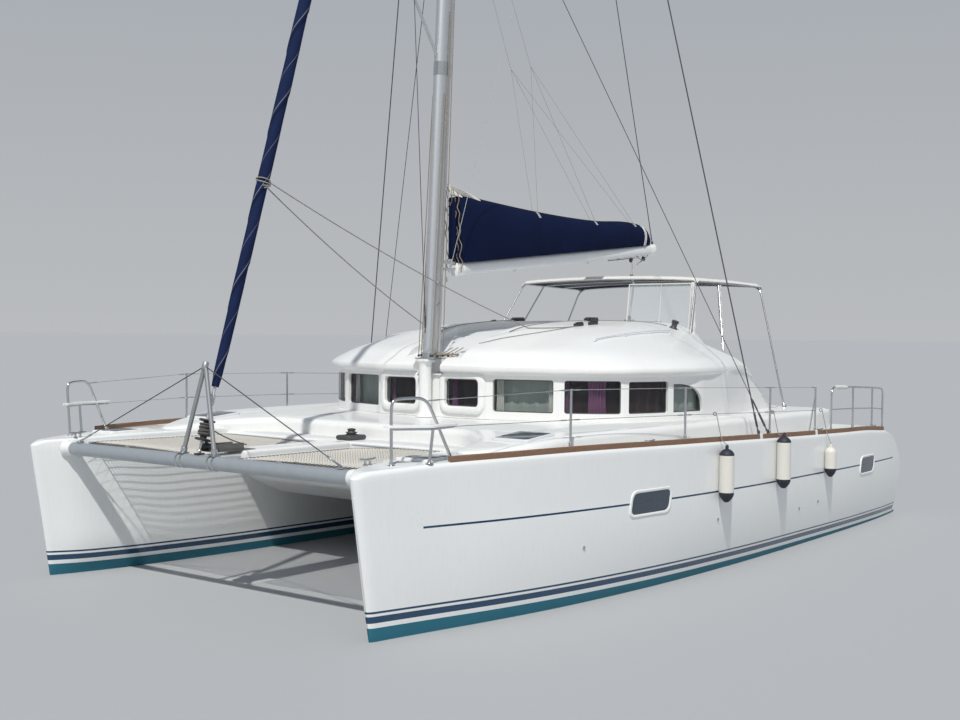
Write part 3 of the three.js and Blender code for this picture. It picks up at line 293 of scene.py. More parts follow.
def object_from(name, shape):
    """An object whose place is in its mesh"""
    points, groups = shape
    mesh = bpy.data.meshes.new(name)
    mesh.vertices.add(len(points))
    mesh.vertices.foreach_set("co", np.asarray(points, np.float32).ravel())
    loops = np.concatenate([faces.ravel() for faces, _ in groups])
    sizes = np.concatenate([np.full(len(faces), faces.shape[1]) for faces, _ in groups])
    mesh.loops.add(len(loops))
    mesh.loops.foreach_set("vertex_index", loops.astype(np.int32))
    mesh.polygons.add(len(sizes))
    mesh.polygons.foreach_set("loop_start", np.concatenate([[0], np.cumsum(sizes)[:-1]]).astype(np.int32))
    mesh.update(calc_edges=True)
    layer = mesh.uv_layers.new(name="surface")
    uv = np.concatenate([corner.reshape(-1, 2) for _, corner in groups])
    layer.data.foreach_set("uv", uv.astype(np.float32).ravel())
    mesh.validate()
    made = bpy.data.objects.new(name, mesh)
    bpy.context.scene.collection.objects.link(made)
    return made


def cleaned(made, sharp=38, closed=True, merge=2e-5):
    """Doubles merged, faces turned outwards, and only the edges past an angle left sharp"""
    work = bmesh.new()
    work.from_mesh(made.data)
    bmesh.ops.remove_doubles(work, verts=work.verts, dist=merge)
    bmesh.ops.dissolve_degenerate(work, edges=work.edges, dist=1e-6)
    if closed:
        bmesh.ops.recalc_face_normals(work, faces=work.faces)
    work.to_mesh(made.data)
    work.free()
    made.data.shade_smooth()
    made.data.set_sharp_from_angle(angle=math.radians(sharp))
    return made


def settle(made, material, body="root", slot=None, replaces=()):
    """The finish, the body that carries a piece, and the nodes that it stands for"""
    made.data.materials.clear()
    made.data.materials.append(material)
    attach(made, body)
    if replaces:
        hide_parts(*replaces)
    return made


def piece(name, shape, material, body="root", slot=None, replaces=(), sharp=38, closed=True):
    made = cleaned(object_from(name, shape), sharp, closed)
    return settle(made, material, body, slot, replaces)


def stand_in_for(node, shape, material, sharp=38, name=None):
    """A piece made for one CAD node, on its body"""
    return piece(name or f"{node}_form", shape, material, BODY_OF[node], SLOT_OF[node], (node,), sharp)


def baked(made):
    """A piece with its modifiers worked into its mesh"""
    graph = bpy.context.evaluated_depsgraph_get()
    graph.update()
    mesh = bpy.data.meshes.new_from_object(made.evaluated_get(graph))
    made.modifiers.clear()
    made.data = mesh
    return made


def carved(made, *shapes, keep="DIFFERENCE"):
    """A solid with other solids taken out of it"""
    tools = []
    for number, shape in enumerate(shapes):
        tool = cleaned(object_from(f"tool_{number}", shape))
        tools.append(tool)
        modifier = made.modifiers.new("cut", "BOOLEAN")
        modifier.operation = keep
        modifier.solver = "EXACT"
        modifier.object = tool
    baked(made)
    for tool in tools:
        bpy.data.meshes.remove(tool.data)
    return made


def softened(made, width, angle=40, segments=2):
    """Edges past an angle rounded off"""
    modifier = made.modifiers.new("soft", "BEVEL")
    modifier.width = width
    modifier.segments = segments
    modifier.limit_method = "ANGLE"
    modifier.angle_limit = math.radians(angle)
    modifier.harden_normals = False
    return baked(made)


def refined(node, material, soft=0.006, sharp=38, segments=2):
    """A CAD node's own form with its facets joined and its edges rounded"""
    source = frame["nodes"][node]
    made = bpy.data.objects.new(f"{node}_form", source.data.copy())
    bpy.context.scene.collection.objects.link(made)
    work = bmesh.new()
    work.from_mesh(made.data)
    bmesh.ops.remove_doubles(work, verts=work.verts, dist=2e-5)
    bmesh.ops.dissolve_limit(work, angle_limit=math.radians(0.6), verts=work.verts, edges=work.edges)
    work.to_mesh(made.data)
    work.free()
    if soft:
        softened(made, soft, sharp, segments)
    made.data.shade_smooth()
    made.data.set_sharp_from_angle(angle=math.radians(sharp))
    return settle(made, material, BODY_OF[node], SLOT_OF[node], (node,))


# Shader helpers
def add(tree, kind, values=(), **settings):
    """A node with its own settings, and values or links for its sockets"""
    made = tree.nodes.new(kind)
    for name, value in settings.items():
        setattr(made, name, value)
    for socket, value in values:
        if isinstance(value, bpy.types.NodeSocket):
            tree.links.new(value, made.inputs[socket])
        else:
            made.inputs[socket].default_value = value
    return made


def group(name, inputs, outputs):
    """An empty node group, its entry node and its leaving node"""
    tree = bpy.data.node_groups.new(name, "ShaderNodeTree")
    for socket, value in inputs:
        made = tree.interface.new_socket(socket, in_out="INPUT", socket_type="NodeSocketFloat")
        made.default_value = value
    for socket, kind in outputs:
        tree.interface.new_socket(socket, in_out="OUTPUT", socket_type=kind)
    return tree, tree.nodes.new("NodeGroupInput"), tree.nodes.new("NodeGroupOutput")


FLOAT = "NodeSocketFloat"


def scaled_coordinates(tree, factor=None, stretch=(1, 1, 1)):
    place = add(tree, "ShaderNodeTexCoord").outputs["Object"]
    turned_place = add(tree, "ShaderNodeMapping", [("Vector", place), ("Scale", stretch)]).outputs[0]
    if factor is None:
        return turned_place
    return add(tree, "ShaderNodeVectorMath", [(0, turned_place), ("Scale", factor)],
               operation="SCALE").outputs[0]


def math_node(tree, operation, *values, clamp=False):
    return add(tree, "ShaderNodeMath", list(enumerate(values)), operation=operation,
               use_clamp=clamp).outputs[0]


def build_weather():
    """Cloud: broad patches. Streak: narrow runs of water down the side. Speck: fine dust"""
    tree, entry, leave = group(
        "weather", [("Patch Size", 0.6), ("Streak Width", 0.03)],
        [("Cloud", FLOAT), ("Streak", FLOAT), ("Speck", FLOAT)],
    )
    patch = math_node(tree, "DIVIDE", 1.0, entry.outputs["Patch Size"])
    cloud = add(tree, "ShaderNodeTexNoise", [
        ("Vector", scaled_coordinates(tree)), ("Scale", patch), ("Detail", 4.0), ("Roughness", 0.6)])
    narrow = math_node(tree, "DIVIDE", 1.0, entry.outputs["Streak Width"])
    streak = add(tree, "ShaderNodeTexNoise", [
        ("Vector", scaled_coordinates(tree, None, (1, 1, 0.06))), ("Scale", narrow), ("Detail", 3.0)])
    runs = add(tree, "ShaderNodeMapRange", [
        ("Value", streak.outputs["Fac"]), ("From Min", 0.52), ("From Max", 0.78)])
    speck = add(tree, "ShaderNodeTexNoise", [
        ("Vector", scaled_coordinates(tree)), ("Scale", 160.0), ("Detail", 2.0)])
    for socket, source in (
        ("Cloud", cloud.outputs["Fac"]), ("Streak", runs.outputs[0]), ("Speck", speck.outputs["Fac"]),
    ):
        tree.links.new(source, leave.inputs[socket])
    return tree


def build_weave():
    """Two sets of threads that cross at a right angle on the surface's object coordinates, one over
    the other in turn: Height rises on each thread; Shade is painted shade that darkens the gaps
    between them, mixed with uneven yarn"""
    tree, entry, leave = group("weave", [("Thread", 0.0016)], [("Height", FLOAT), ("Shade", FLOAT)])
    place = add(tree, "ShaderNodeTexCoord").outputs["Object"]
    parts = add(tree, "ShaderNodeSeparateXYZ", [("Vector", place)]).outputs
    turn = math_node(tree, "DIVIDE", 2 * PI, entry.outputs["Thread"])
    slant = math_node(tree, "ADD", parts[0], math_node(tree, "MULTIPLY", parts[1], 0.8))
    warp = math_node(tree, "SINE", math_node(tree, "MULTIPLY", slant, turn))
    weft = math_node(tree, "SINE", math_node(tree, "MULTIPLY", parts[2], turn))
    crossing = math_node(tree, "MULTIPLY", warp, weft)
    height = math_node(tree, "MULTIPLY_ADD", crossing, 0.5, 0.5)
    slub = add(tree, "ShaderNodeTexNoise",
               [("Vector", place), ("Scale", 45.0), ("Detail", 3.0)]).outputs["Fac"]
    mixed = math_node(tree, "MULTIPLY_ADD", slub, 0.35, math_node(tree, "MULTIPLY", height, 0.65))
    tree.links.new(mixed, leave.inputs["Height"])
    # Painted shade in the gaps between threads, mixed with uneven yarn
    shade = math_node(tree, "MULTIPLY_ADD", mixed, 0.3, 0.8)
    tree.links.new(shade, leave.inputs["Shade"])
    return tree


def build_braid():
    """Strands that wind round a rope both ways: diagonal waves of its own UV, u round and v along"""
    tree, entry, leave = group("braid", [("Pitch", 0.03)], [("Height", FLOAT), ("Fleck", FLOAT)])
    place = add(tree, "ShaderNodeTexCoord").outputs["UV"]
    parts = add(tree, "ShaderNodeSeparateXYZ", [("Vector", place)]).outputs
    along = math_node(tree, "DIVIDE", parts[1], entry.outputs["Pitch"])
    waves = []
    for sign in (1, -1):
        phase = math_node(tree, "MULTIPLY_ADD", parts[0], 3.0 * sign, along)
        waves.append(math_node(tree, "SINE", math_node(tree, "MULTIPLY", phase, 2 * PI)))
    height = math_node(tree, "MAXIMUM", *waves)
    tree.links.new(height, leave.inputs["Height"])
    fleck = math_node(tree, "GREATER_THAN", math_node(tree, "MULTIPLY", *waves), 0.55)
    tree.links.new(fleck, leave.inputs["Fleck"])
    return tree


def build_wood():
    """Long grain along X: noise drawn out along the plank, with darker pores"""
    tree, entry, leave = group("wood_grain", [("Spacing", 0.012)], [("Grain", FLOAT), ("Pores", FLOAT)])
    turn = math_node(tree, "DIVIDE", 1.0, entry.outputs["Spacing"])
    grain = add(tree, "ShaderNodeTexNoise", [
        ("Vector", scaled_coordinates(tree, None, (0.06, 1, 1))), ("Scale", turn),
        ("Detail", 6.0), ("Distortion", 0.6)])
    pores = add(tree, "ShaderNodeTexNoise", [
        ("Vector", scaled_coordinates(tree, None, (0.04, 1, 1))), ("Scale", 420.0), ("Detail", 2.0)])
    tree.links.new(grain.outputs["Fac"], leave.inputs["Grain"])
    tree.links.new(pores.outputs["Fac"], leave.inputs["Pores"])
    return tree


WEATHER, WEAVE, BRAID, WOOD = build_weather(), build_weave(), build_braid(), build_wood()


def use(tree, shared, values=()):
    made = add(tree, "ShaderNodeGroup", node_tree=shared)
    for socket, value in values:
        made.inputs[socket].default_value = value
    return made.outputs


def finish(name, **sockets):
    """A material with one Principled shader, its plain sockets set"""
    material = bpy.data.materials.new(name)
    material.use_nodes = True
    tree = material.node_tree
    shader = tree.nodes["Principled BSDF"]
    for socket, value in sockets.items():
        shader.inputs[socket.replace("_", " ")].default_value = value
    return material, tree, shader


def mix(tree, factor, first, second):
    """Colour or number between two others"""
    made = add(tree, "ShaderNodeMix", data_type="RGBA")
    for socket, value in ((0, factor), (6, first), (7, second)):
        if isinstance(value, bpy.types.NodeSocket):
            tree.links.new(value, made.inputs[socket])
        else:
            made.inputs[socket].default_value = value
    return made.outputs[2]


def darkened(tree, base, shade):
    """A colour times a value or another colour"""
    made = add(tree, "ShaderNodeMix", data_type="RGBA", blend_type="MULTIPLY")
    made.inputs[0].default_value = 1.0
    tree.links.new(base, made.inputs[6])
    tree.links.new(shade, made.inputs[7])
    return made.outputs[2]


def spread(tree, value, low, high):
    """A mask from 0 to 1 read as a number from low to high"""
    return add(tree, "ShaderNodeMapRange", [("Value", value), ("To Min", low), ("To Max", high)]).outputs[0]


def bump(tree, shader, height, distance, strength=1.0):
    made = add(tree, "ShaderNodeBump", [("Height", height), ("Distance", distance), ("Strength", strength)])
    tree.links.new(made.outputs[0], shader.inputs["Normal"])
    return made


def colour(r, g, b):
    return (r, g, b, 1.0)


WHITE_HULL = colour(0.83, 0.84, 0.83)
STRIPE_BLUE = colour(0.005, 0.045, 0.110)
ANTIFOUL = colour(0.010, 0.155, 0.235)


def gelcoat_material(name, base, dull, rough):
    """Moulded gelcoat: a clear skin over white, patchy dull places and faint runs of dirt"""
    material, tree, shader = finish(name, Coat_Weight=0.35, Coat_Roughness=0.08, IOR=1.5)
    weather = use(tree, WEATHER, [("Patch Size", 0.5), ("Streak Width", 0.02)])
    stained = mix(tree, spread(tree, weather["Cloud"], 0.0, 0.8), base, dull)
    run = math_node(tree, "MULTIPLY", weather["Streak"], 0.10)
    tree.links.new(mix(tree, run, stained, colour(0.42, 0.40, 0.34)), shader.inputs["Base Color"])
    tree.links.new(spread(tree, weather["Cloud"], rough - 0.08, rough + 0.10), shader.inputs["Roughness"])
    bump(tree, shader, weather["Cloud"], 0.0015, 0.5)
    return material


def band(tree, value, low, high):
    """1 where a value lies between two others"""
    over = math_node(tree, "GREATER_THAN", value, low)
    under = math_node(tree, "LESS_THAN", value, high)
    return math_node(tree, "MULTIPLY", over, under)


STRIPE_FALL = 0.0085          # the bands drop this much for each metre aft of the bow
KNUCKLE_AT_MIDDLE, KNUCKLE_RISE = 0.9414, 0.0065


def hull_material():
    """Gelcoat with the waterline's two stripes and antifouling, and the line along the knuckle, all by
    height over the water"""
    material, tree, shader = finish("hull_gelcoat", Coat_Weight=0.4, Coat_Roughness=0.06, IOR=1.5)
    weather = use(tree, WEATHER, [("Patch Size", 0.7), ("Streak Width", 0.018)])
    place = add(tree, "ShaderNodeTexCoord").outputs["Object"]
    x, y, z = add(tree, "ShaderNodeSeparateXYZ", [("Vector", place)]).outputs
    level = math_node(tree, "MULTIPLY_ADD", x, -STRIPE_FALL, math_node(tree, "ADD", z, STRIPE_FALL * 5.5))
    white = mix(tree, spread(tree, weather["Cloud"], 0.0, 0.6), WHITE_HULL, colour(0.76, 0.79, 0.80))
    run = math_node(tree, "MULTIPLY", weather["Streak"], 0.08)
    white = mix(tree, run, white, colour(0.40, 0.40, 0.36))
    stripes = math_node(tree, "ADD", band(tree, level, 0.168, 0.228), band(tree, level, 0.252, 0.272))
    above_knuckle = math_node(tree, "MULTIPLY_ADD", x, -KNUCKLE_RISE, z)
    tall = math_node(tree, "ABSOLUTE", math_node(tree, "SUBTRACT", above_knuckle, KNUCKLE_AT_MIDDLE))
    line = math_node(tree, "LESS_THAN", tall, 0.010)
    line = math_node(tree, "MULTIPLY", line, band(tree, x, -5.22, 5.06))
    line = math_node(tree, "MULTIPLY", line,
                     math_node(tree, "GREATER_THAN", math_node(tree, "ABSOLUTE", y), 2.5))
    marked = mix(tree, math_node(tree, "MAXIMUM", stripes, line), white, STRIPE_BLUE)
    below = math_node(tree, "LESS_THAN", level, 0.124)
    slime = mix(tree, weather["Cloud"], ANTIFOUL, colour(0.018, 0.12, 0.16))
    tree.links.new(mix(tree, below, marked, slime), shader.inputs["Base Color"])
    gloss = spread(tree, weather["Cloud"], 0.16, 0.32)
    tree.links.new(math_node(tree, "MULTIPLY_ADD", below, 0.4, gloss), shader.inputs["Roughness"])
    tree.links.new(math_node(tree, "MULTIPLY_ADD", below, -0.4, 0.4), shader.inputs["Coat Weight"])
    bump(tree, shader, weather["Cloud"], 0.002, 0.5)
    return material


def nonskid_material():
    """Deck with a raised grain that grips, a shade duller than the gelcoat round it"""
    material, tree, shader = finish("nonskid", Roughness=0.7)
    weather = use(tree, WEATHER, [("Patch Size", 0.35)])
    pips = add(tree, "ShaderNodeTexVoronoi", [("Vector", scaled_coordinates(tree)), ("Scale", 170.0)])
    base = mix(tree, spread(tree, weather["Cloud"], 0.0, 1.0), colour(0.70, 0.71, 0.70),
               colour(0.60, 0.61, 0.60))
    tree.links.new(base, shader.inputs["Base Color"])
    bump(tree, shader, pips.outputs["Distance"], 0.0012, 0.7)
    return material


def metal_material(name, base, rough, metallic=1.0, brushed=(1, 1, 1)):
    """Metal with a drawn grain, cloudy polish and dull salt spots"""
    material, tree, shader = finish(name, Metallic=metallic)
    weather = use(tree, WEATHER, [("Patch Size", 0.12)])
    drawn = add(tree, "ShaderNodeTexNoise", [
        ("Vector", scaled_coordinates(tree, None, brushed)), ("Scale", 260.0),
        ("Detail", 2.0)]).outputs["Fac"]
    dark = tuple(0.72 * v for v in base[:3]) + (1.0,)
    tree.links.new(mix(tree, spread(tree, weather["Cloud"], 0.0, 0.7), base, dark),
                   shader.inputs["Base Color"])
    total = math_node(tree, "MULTIPLY_ADD", drawn, 0.12,
                      spread(tree, weather["Cloud"], rough - 0.06, rough + 0.1))
    tree.links.new(total, shader.inputs["Roughness"])
    bump(tree, shader, drawn, 0.0004, 0.4)
    return material


def canvas_material(name, base, faded, thread=0.0016, sheen=0.3):
    """Woven canvas, bleached in patches by the sun"""
    material, tree, shader = finish(name, Sheen_Weight=sheen, Sheen_Roughness=0.5, Specular_IOR_Level=0.08)
    weave = use(tree, WEAVE, [("Thread", thread)])
    weather = use(tree, WEATHER, [("Patch Size", 0.4)])
    bleached = mix(tree, spread(tree, weather["Cloud"], 0.0, 1.0), base, faded)
    tree.links.new(darkened(tree, bleached, weave["Shade"]), shader.inputs["Base Color"])
    tree.links.new(spread(tree, weather["Speck"], 0.78, 0.95), shader.inputs["Roughness"])
    bump(tree, shader, weave["Height"], 0.0006, 0.6)
    return material


def rope_material(name, base, fleck, pitch=0.03):
    material, tree, shader = finish(name, Sheen_Weight=0.2)
    braid = use(tree, BRAID, [("Pitch", pitch)])
    weather = use(tree, WEATHER, [("Patch Size", 0.1)])
    marked = mix(tree, braid["Fleck"], base, fleck)
    grimy = mix(tree, spread(tree, weather["Cloud"], 0.0, 0.5), marked,
                tuple(0.6 * v for v in base[:3]) + (1.0,))
    tree.links.new(grimy, shader.inputs["Base Color"])
    tree.links.new(spread(tree, weather["Speck"], 0.75, 0.95), shader.inputs["Roughness"])
    bump(tree, shader, braid["Height"], 0.0015, 0.8)
    return material


def plastic_material(name, base, rough, grain=0.0003):
    """Moulded plastic or rubber with a fine grain and dusty patches"""
    material, tree, shader = finish(name)
    weather = use(tree, WEATHER, [("Patch Size", 0.15)])
    dusty = tuple(min(1.0, v * 0.8 + 0.05) for v in base[:3]) + (1.0,)
    tree.links.new(mix(tree, spread(tree, weather["Cloud"], 0.0, 0.6), base, dusty),
                   shader.inputs["Base Color"])
    tree.links.new(spread(tree, weather["Cloud"], rough - 0.06, rough + 0.12), shader.inputs["Roughness"])
    bump(tree, shader, weather["Speck"], grain, 0.5)
    return material


def glass_material(name, base, alpha, rough=0.03):
    """Thin tinted sheet: dark and glossy, seen through in part, with faint salt on it"""
    material, tree, shader = finish(name, Base_Color=base, IOR=1.5, Coat_Weight=0.5, Coat_Roughness=0.02)
    weather = use(tree, WEATHER, [("Patch Size", 0.2), ("Streak Width", 0.012)])
    salt = math_node(tree, "MULTIPLY_ADD", weather["Streak"], 0.05, alpha)
    tree.links.new(salt, shader.inputs["Alpha"])
    tree.links.new(spread(tree, weather["Cloud"], rough, rough + 0.08), shader.inputs["Roughness"])
    return material


def teak_material():
    material, tree, shader = finish("oiled_teak")
    wood = use(tree, WOOD, [("Spacing", 0.012)])
    weather = use(tree, WEATHER, [("Patch Size", 0.3)])
    plank = mix(tree, wood["Grain"], colour(0.120, 0.056, 0.030), colour(0.27, 0.145, 0.085))
    grey = mix(tree, spread(tree, weather["Cloud"], -0.3, 0.8), plank, colour(0.22, 0.155, 0.11))
    tree.links.new(grey, shader.inputs["Base Color"])
    tree.links.new(spread(tree, wood["Pores"], 0.5, 0.8), shader.inputs["Roughness"])
    bump(tree, shader, wood["Pores"], 0.0006, 0.6)
    return material


GELCOAT = gelcoat_material("gelcoat", colour(0.85, 0.86, 0.85), colour(0.78, 0.79, 0.78), 0.28)
MOULDING = gelcoat_material("deck_gelcoat", colour(0.84, 0.845, 0.835), colour(0.76, 0.765, 0.75), 0.36)
HULL = hull_material()
NONSKID = nonskid_material()
ANTIFOULED = plastic_material("antifouling", ANTIFOUL, 0.7, 0.0006)
MAST_METAL = metal_material("mast_anodised", colour(0.66, 0.68, 0.70), 0.36, 0.85, (60, 60, 0.6))
BEAM_METAL = metal_material("beam_anodised", colour(0.48, 0.52, 0.55), 0.42, 0.6, (60, 0.6, 60))
STRIKER_METAL = metal_material("striker_anodised", colour(0.42, 0.43, 0.44), 0.4, 0.75, (60, 60, 0.6))
PAINTED_SPAR = plastic_material("painted_spar", colour(0.74, 0.76, 0.78), 0.32, 0.0001)
STAINLESS = metal_material("stainless", colour(0.62, 0.63, 0.64), 0.17)
GALVANISED = metal_material("galvanised", colour(0.30, 0.30, 0.29), 0.5)
BRONZE = metal_material("cast_bronze", colour(0.60, 0.42, 0.20), 0.38)
NAVY_CANVAS = canvas_material("navy_canvas", colour(0.0035, 0.0075, 0.030), colour(0.006, 0.013, 0.050),
                              0.0016, 0.0)
FADED_STRAP = canvas_material("faded_strap", colour(0.42, 0.44, 0.47), colour(0.34, 0.36, 0.40))
WHITE_CANVAS = canvas_material("white_canvas", colour(0.74, 0.73, 0.70), colour(0.62, 0.62, 0.60))
SAILCLOTH = canvas_material("sailcloth", colour(0.80, 0.79, 0.74), colour(0.70, 0.68, 0.62), 0.0009, 0.1)
PURPLE_CLOTH = canvas_material("purple_curtain", colour(0.30, 0.085, 0.27), colour(0.42, 0.17, 0.38),
                               0.0012)
# Dark brown cloth, also painted shade: full-width sheets behind the panes stand in for the unlit saloon
BROWN_CLOTH_AND_SHADE = canvas_material("brown_curtain_and_painted_shade", colour(0.050, 0.028, 0.034), colour(0.09, 0.050, 0.058),
                              0.0012)
# Painted light: a pale greenish sheet that stands in for daylight seen through the saloon behind the glass
PAINTED_DAYLIGHT_SHEET = canvas_material("painted_daylight_sheet", colour(0.50, 0.60, 0.56), colour(0.62, 0.72, 0.67), 0.0012)
PALE_CLOTH = canvas_material("pale_curtain", colour(0.86, 0.90, 0.84), colour(0.92, 0.94, 0.90), 0.0012)
CUSHION = canvas_material("cushion_cloth", colour(0.55, 0.50, 0.40), colour(0.64, 0.58, 0.47), 0.0018)
NET_CORD = rope_material("net_cord", colour(0.80, 0.77, 0.70), colour(0.66, 0.62, 0.55), 0.012)
LACING = rope_material("lacing_cord", colour(0.09, 0.085, 0.08), colour(0.20, 0.19, 0.17), 0.015)
WHITE_ROPE = rope_material("white_rope", colour(0.66, 0.64, 0.58), colour(0.10, 0.13, 0.25))
GREY_ROPE = rope_material("grey_rope", colour(0.34, 0.33, 0.30), colour(0.08, 0.08, 0.09))
TAN_ROPE = rope_material("tan_rope", colour(0.26, 0.20, 0.14), colour(0.46, 0.42, 0.35))
NAVY_ROPE = rope_material("navy_rope", colour(0.02, 0.03, 0.09), colour(0.5, 0.5, 0.5))
FENDER_WHITE = plastic_material("fender_vinyl", colour(0.72, 0.70, 0.64), 0.42, 0.0004)
FENDER_NAVY = plastic_material("fender_ends", colour(0.003, 0.006, 0.020), 0.55)
WIRE_METAL = metal_material("wire_rope", colour(0.10, 0.10, 0.105), 0.5, 0.5)
BLACK_PLASTIC = plastic_material("black_plastic", colour(0.02, 0.02, 0.022), 0.45)
RUBBER = plastic_material("window_rubber", colour(0.05, 0.05, 0.052), 0.6)
COUNTER = plastic_material("counter_top", colour(0.55, 0.50, 0.42), 0.3, 0.0001)
TEAK = teak_material()
TINTED_GLASS = glass_material("tinted_glass", colour(0.012, 0.020, 0.021), 0.22)
SMOKED = glass_material("smoked_acrylic", colour(0.030, 0.048, 0.075), 0.94, 0.16)
CLEAR_VINYL = glass_material("clear_vinyl", colour(0.60, 0.66, 0.70), 0.24, 0.10)


# Hulls. Half breadths and middles are from the boat's centreline, on the port side
SHEER = [
    (5.775, 1.452), (5.0, 1.490), (4.0, 1.503), (3.3, 1.506), (1.4, 1.481), (0.0, 1.450),
    (-0.9, 1.424), (-2.9, 1.371), (-4.0, 1.344), (-4.8, 1.298), (-5.775, 1.240),
]
STATIONS = np.array([
    # x, sheer outside and inside, waterline outside and inside, depth
    (5.715, 2.450, 2.326, 2.420, 2.358, 0.210), (5.450, 2.525, 2.180, 2.462, 2.290, 0.320),
    (5.000, 2.635, 2.060, 2.545, 2.200, 0.400), (4.200, 2.825, 1.960, 2.700, 2.090, 0.460),
    (3.300, 2.985, 1.900, 2.850, 2.000, 0.500), (2.000, 3.150, 1.900, 2.990, 1.925, 0.530),
    (0.000, 3.265, 1.900, 3.075, 1.900, 0.550), (-2.000, 3.250, 1.900, 3.065, 1.900, 0.500),
    (-4.000, 3.200, 1.900, 3.010, 1.920, 0.320), (-5.000, 3.130, 1.900, 2.960, 1.940, 0.160),
    (-5.775, 3.050, 1.900, 2.890, 1.960, 0.030),
])
HALF_LENGTH = 5.775
DECK_OVER_SHEER = 0.045
KNUCKLE_DEEP, KNUCKLE_HALF = 0.006, 0.008
LOW_INSIDE = 0.48
RAKE_START, RAKE_POWER, STEM_RAKE, STEM_TOP = 3.3, 1.6, 0.245, 1.45


def breadths(x, outer, inner):
    """Middle and half breadth: cubics through the stations, and a round tip where half is the square
    root of twice the tip's radius times the way aft of it"""
    middle = through(np.stack([STATIONS[:, 0], (STATIONS[:, outer] + STATIONS[:, inner]) / 2], -1), x)
    half = through(np.stack([STATIONS[:, 0], (STATIONS[:, outer] - STATIONS[:, inner]) / 2], -1), x)
    back = HALF_LENGTH - x
    tip = (STATIONS[0, outer] - STATIONS[0, inner]) / 2 * np.sqrt(np.clip(back, 0, None) / 0.06)
    return middle, np.where(back < 0.06, tip, half)


def deck_height(x):
    return through(SHEER, x) + DECK_OVER_SHEER


def outer_side(x):
    middle, half = breadths(np.asarray(x, float), 1, 2)
    return middle + half


def inner_side(x):
    middle, half = breadths(np.asarray(x, float), 1, 2)
    return middle - half


def raked(x, z):
    """The stem leans: points forward of amidships move aft, more the lower they are"""
    lean = np.clip((x - RAKE_START) / (HALF_LENGTH - RAKE_START), 0, None) ** RAKE_POWER
    fall = np.where(z > 0, STEM_RAKE * (STEM_TOP - np.minimum(z, STEM_TOP)) / STEM_TOP, STEM_RAKE - 0.9 * z)
    return x - lean * fall


def side_at(x, z):
    """The hull's outer side: straight down from the gunwale to the knuckle's groove, then falling in
    with the square of the way down to the water"""
    middle, half = breadths(x, 1, 2)
    water_middle, water_half = breadths(x, 3, 4)
    knuckle = KNUCKLE_AT_MIDDLE + KNUCKLE_RISE * x
    slim = np.minimum(1, half / 0.2)
    top = middle + half - 0.008 * slim * np.clip((through(SHEER, x) - z) / 0.5, 0, 1)
    down = np.clip((knuckle - z) / knuckle, 0, 1) ** 2
    out = top - (top - water_middle - water_half) * down
    groove = np.clip(1 - ((z - knuckle) / KNUCKLE_HALF) ** 2, 0, 1)
    ends = np.clip((5.06 - x) / 0.3, 0, 1) * np.clip((x + 5.25) / 0.1, 0, 1)
    return out - KNUCKLE_DEEP * groove * ends


def hull_shape():
    """A ring at each station: deck, quarter circle at the gunwale, outer side, round bottom, inner
    side and the inner quarter circle"""
    back = np.concatenate([[0.0004, 0.0025, 0.007, 0.015, 0.028], np.linspace(0.045, 0.3, 8),
                           np.linspace(0.36, 11.55, 112)])
    x = (HALF_LENGTH - back)[:, None]
    sheer = through(SHEER, x)
    middle, half = breadths(x, 1, 2)
    water_middle, water_half = breadths(x, 3, 4)
    deep = through(STATIONS[:, [0, 5]], x) * np.clip(back[:, None] / 0.06, 0, 1) ** 0.3
    knuckle = KNUCKLE_AT_MIDDLE + KNUCKLE_RISE * x
    top = sheer + DECK_OVER_SHEER - 0.05 * np.clip(1 - back[:, None] / 0.16, 0, 1) ** 2
    turn = np.linspace(0, PI / 2, 7)[None]
    edge = np.minimum(0.045, half * 0.7)
    gunwale_y = middle + half - edge * (1 - np.sin(turn))
    gunwale_z = top - edge * (1 - np.cos(turn))
    gap = np.array([-6, -3, -2, -1.4, -1, -0.5, 0, 0.5, 1, 1.4, 2, 4])[::-1] * KNUCKLE_HALF
    upper = top - edge + (knuckle + 0.06 - top + edge) * np.linspace(0.1, 1, 7)[None]
    lower = (knuckle - 0.06) * np.linspace(1, 0, 13)[None]
    side_z = np.concatenate([upper, knuckle + gap[None], lower], 1)
    side_y = side_at(np.broadcast_to(x, side_z.shape), side_z)
    angle = np.linspace(0, PI, 19)[None, 1:-1]
    fullness = 1 - 0.36 * np.sin(angle) * np.clip(np.cos(angle), 0, 1)
    bottom_y = water_middle + water_half * np.cos(angle) * fullness
    bottom_z = -deep * np.sin(angle)
    rise = np.concatenate([np.linspace(0, LOW_INSIDE, 7), np.linspace(0.62, 1.38, 6)])[None]
    inner = middle - half
    inner_y = inner + (water_middle - water_half - inner) * np.clip(1 - rise / LOW_INSIDE, 0, 1) ** 2
    inner_z = np.where(rise > LOW_INSIDE, rise / 1.45 * (top - edge), rise) + 0 * x
    small = np.minimum(0.03, half * 0.5)
    inner_turn_y = inner + small * (1 - np.cos(turn))
    inner_turn_z = top - small * (1 - np.sin(turn))
    across = np.linspace(0, 1, 7)[None, 1:-1]
    deck_y = inner_turn_y[:, -1:] + (gunwale_y[:, :1] - inner_turn_y[:, -1:]) * across
    deck_z = top + 0 * across
    y = np.concatenate([gunwale_y, side_y, bottom_y, inner_y, inner_turn_y, deck_y], 1)
    z = np.concatenate([gunwale_z, side_z, bottom_z, inner_z, inner_turn_z, deck_z], 1)
    xs = raked(np.broadcast_to(x, y.shape), z)
    return grid(np.stack([xs, y, z], -1), True, False, True)


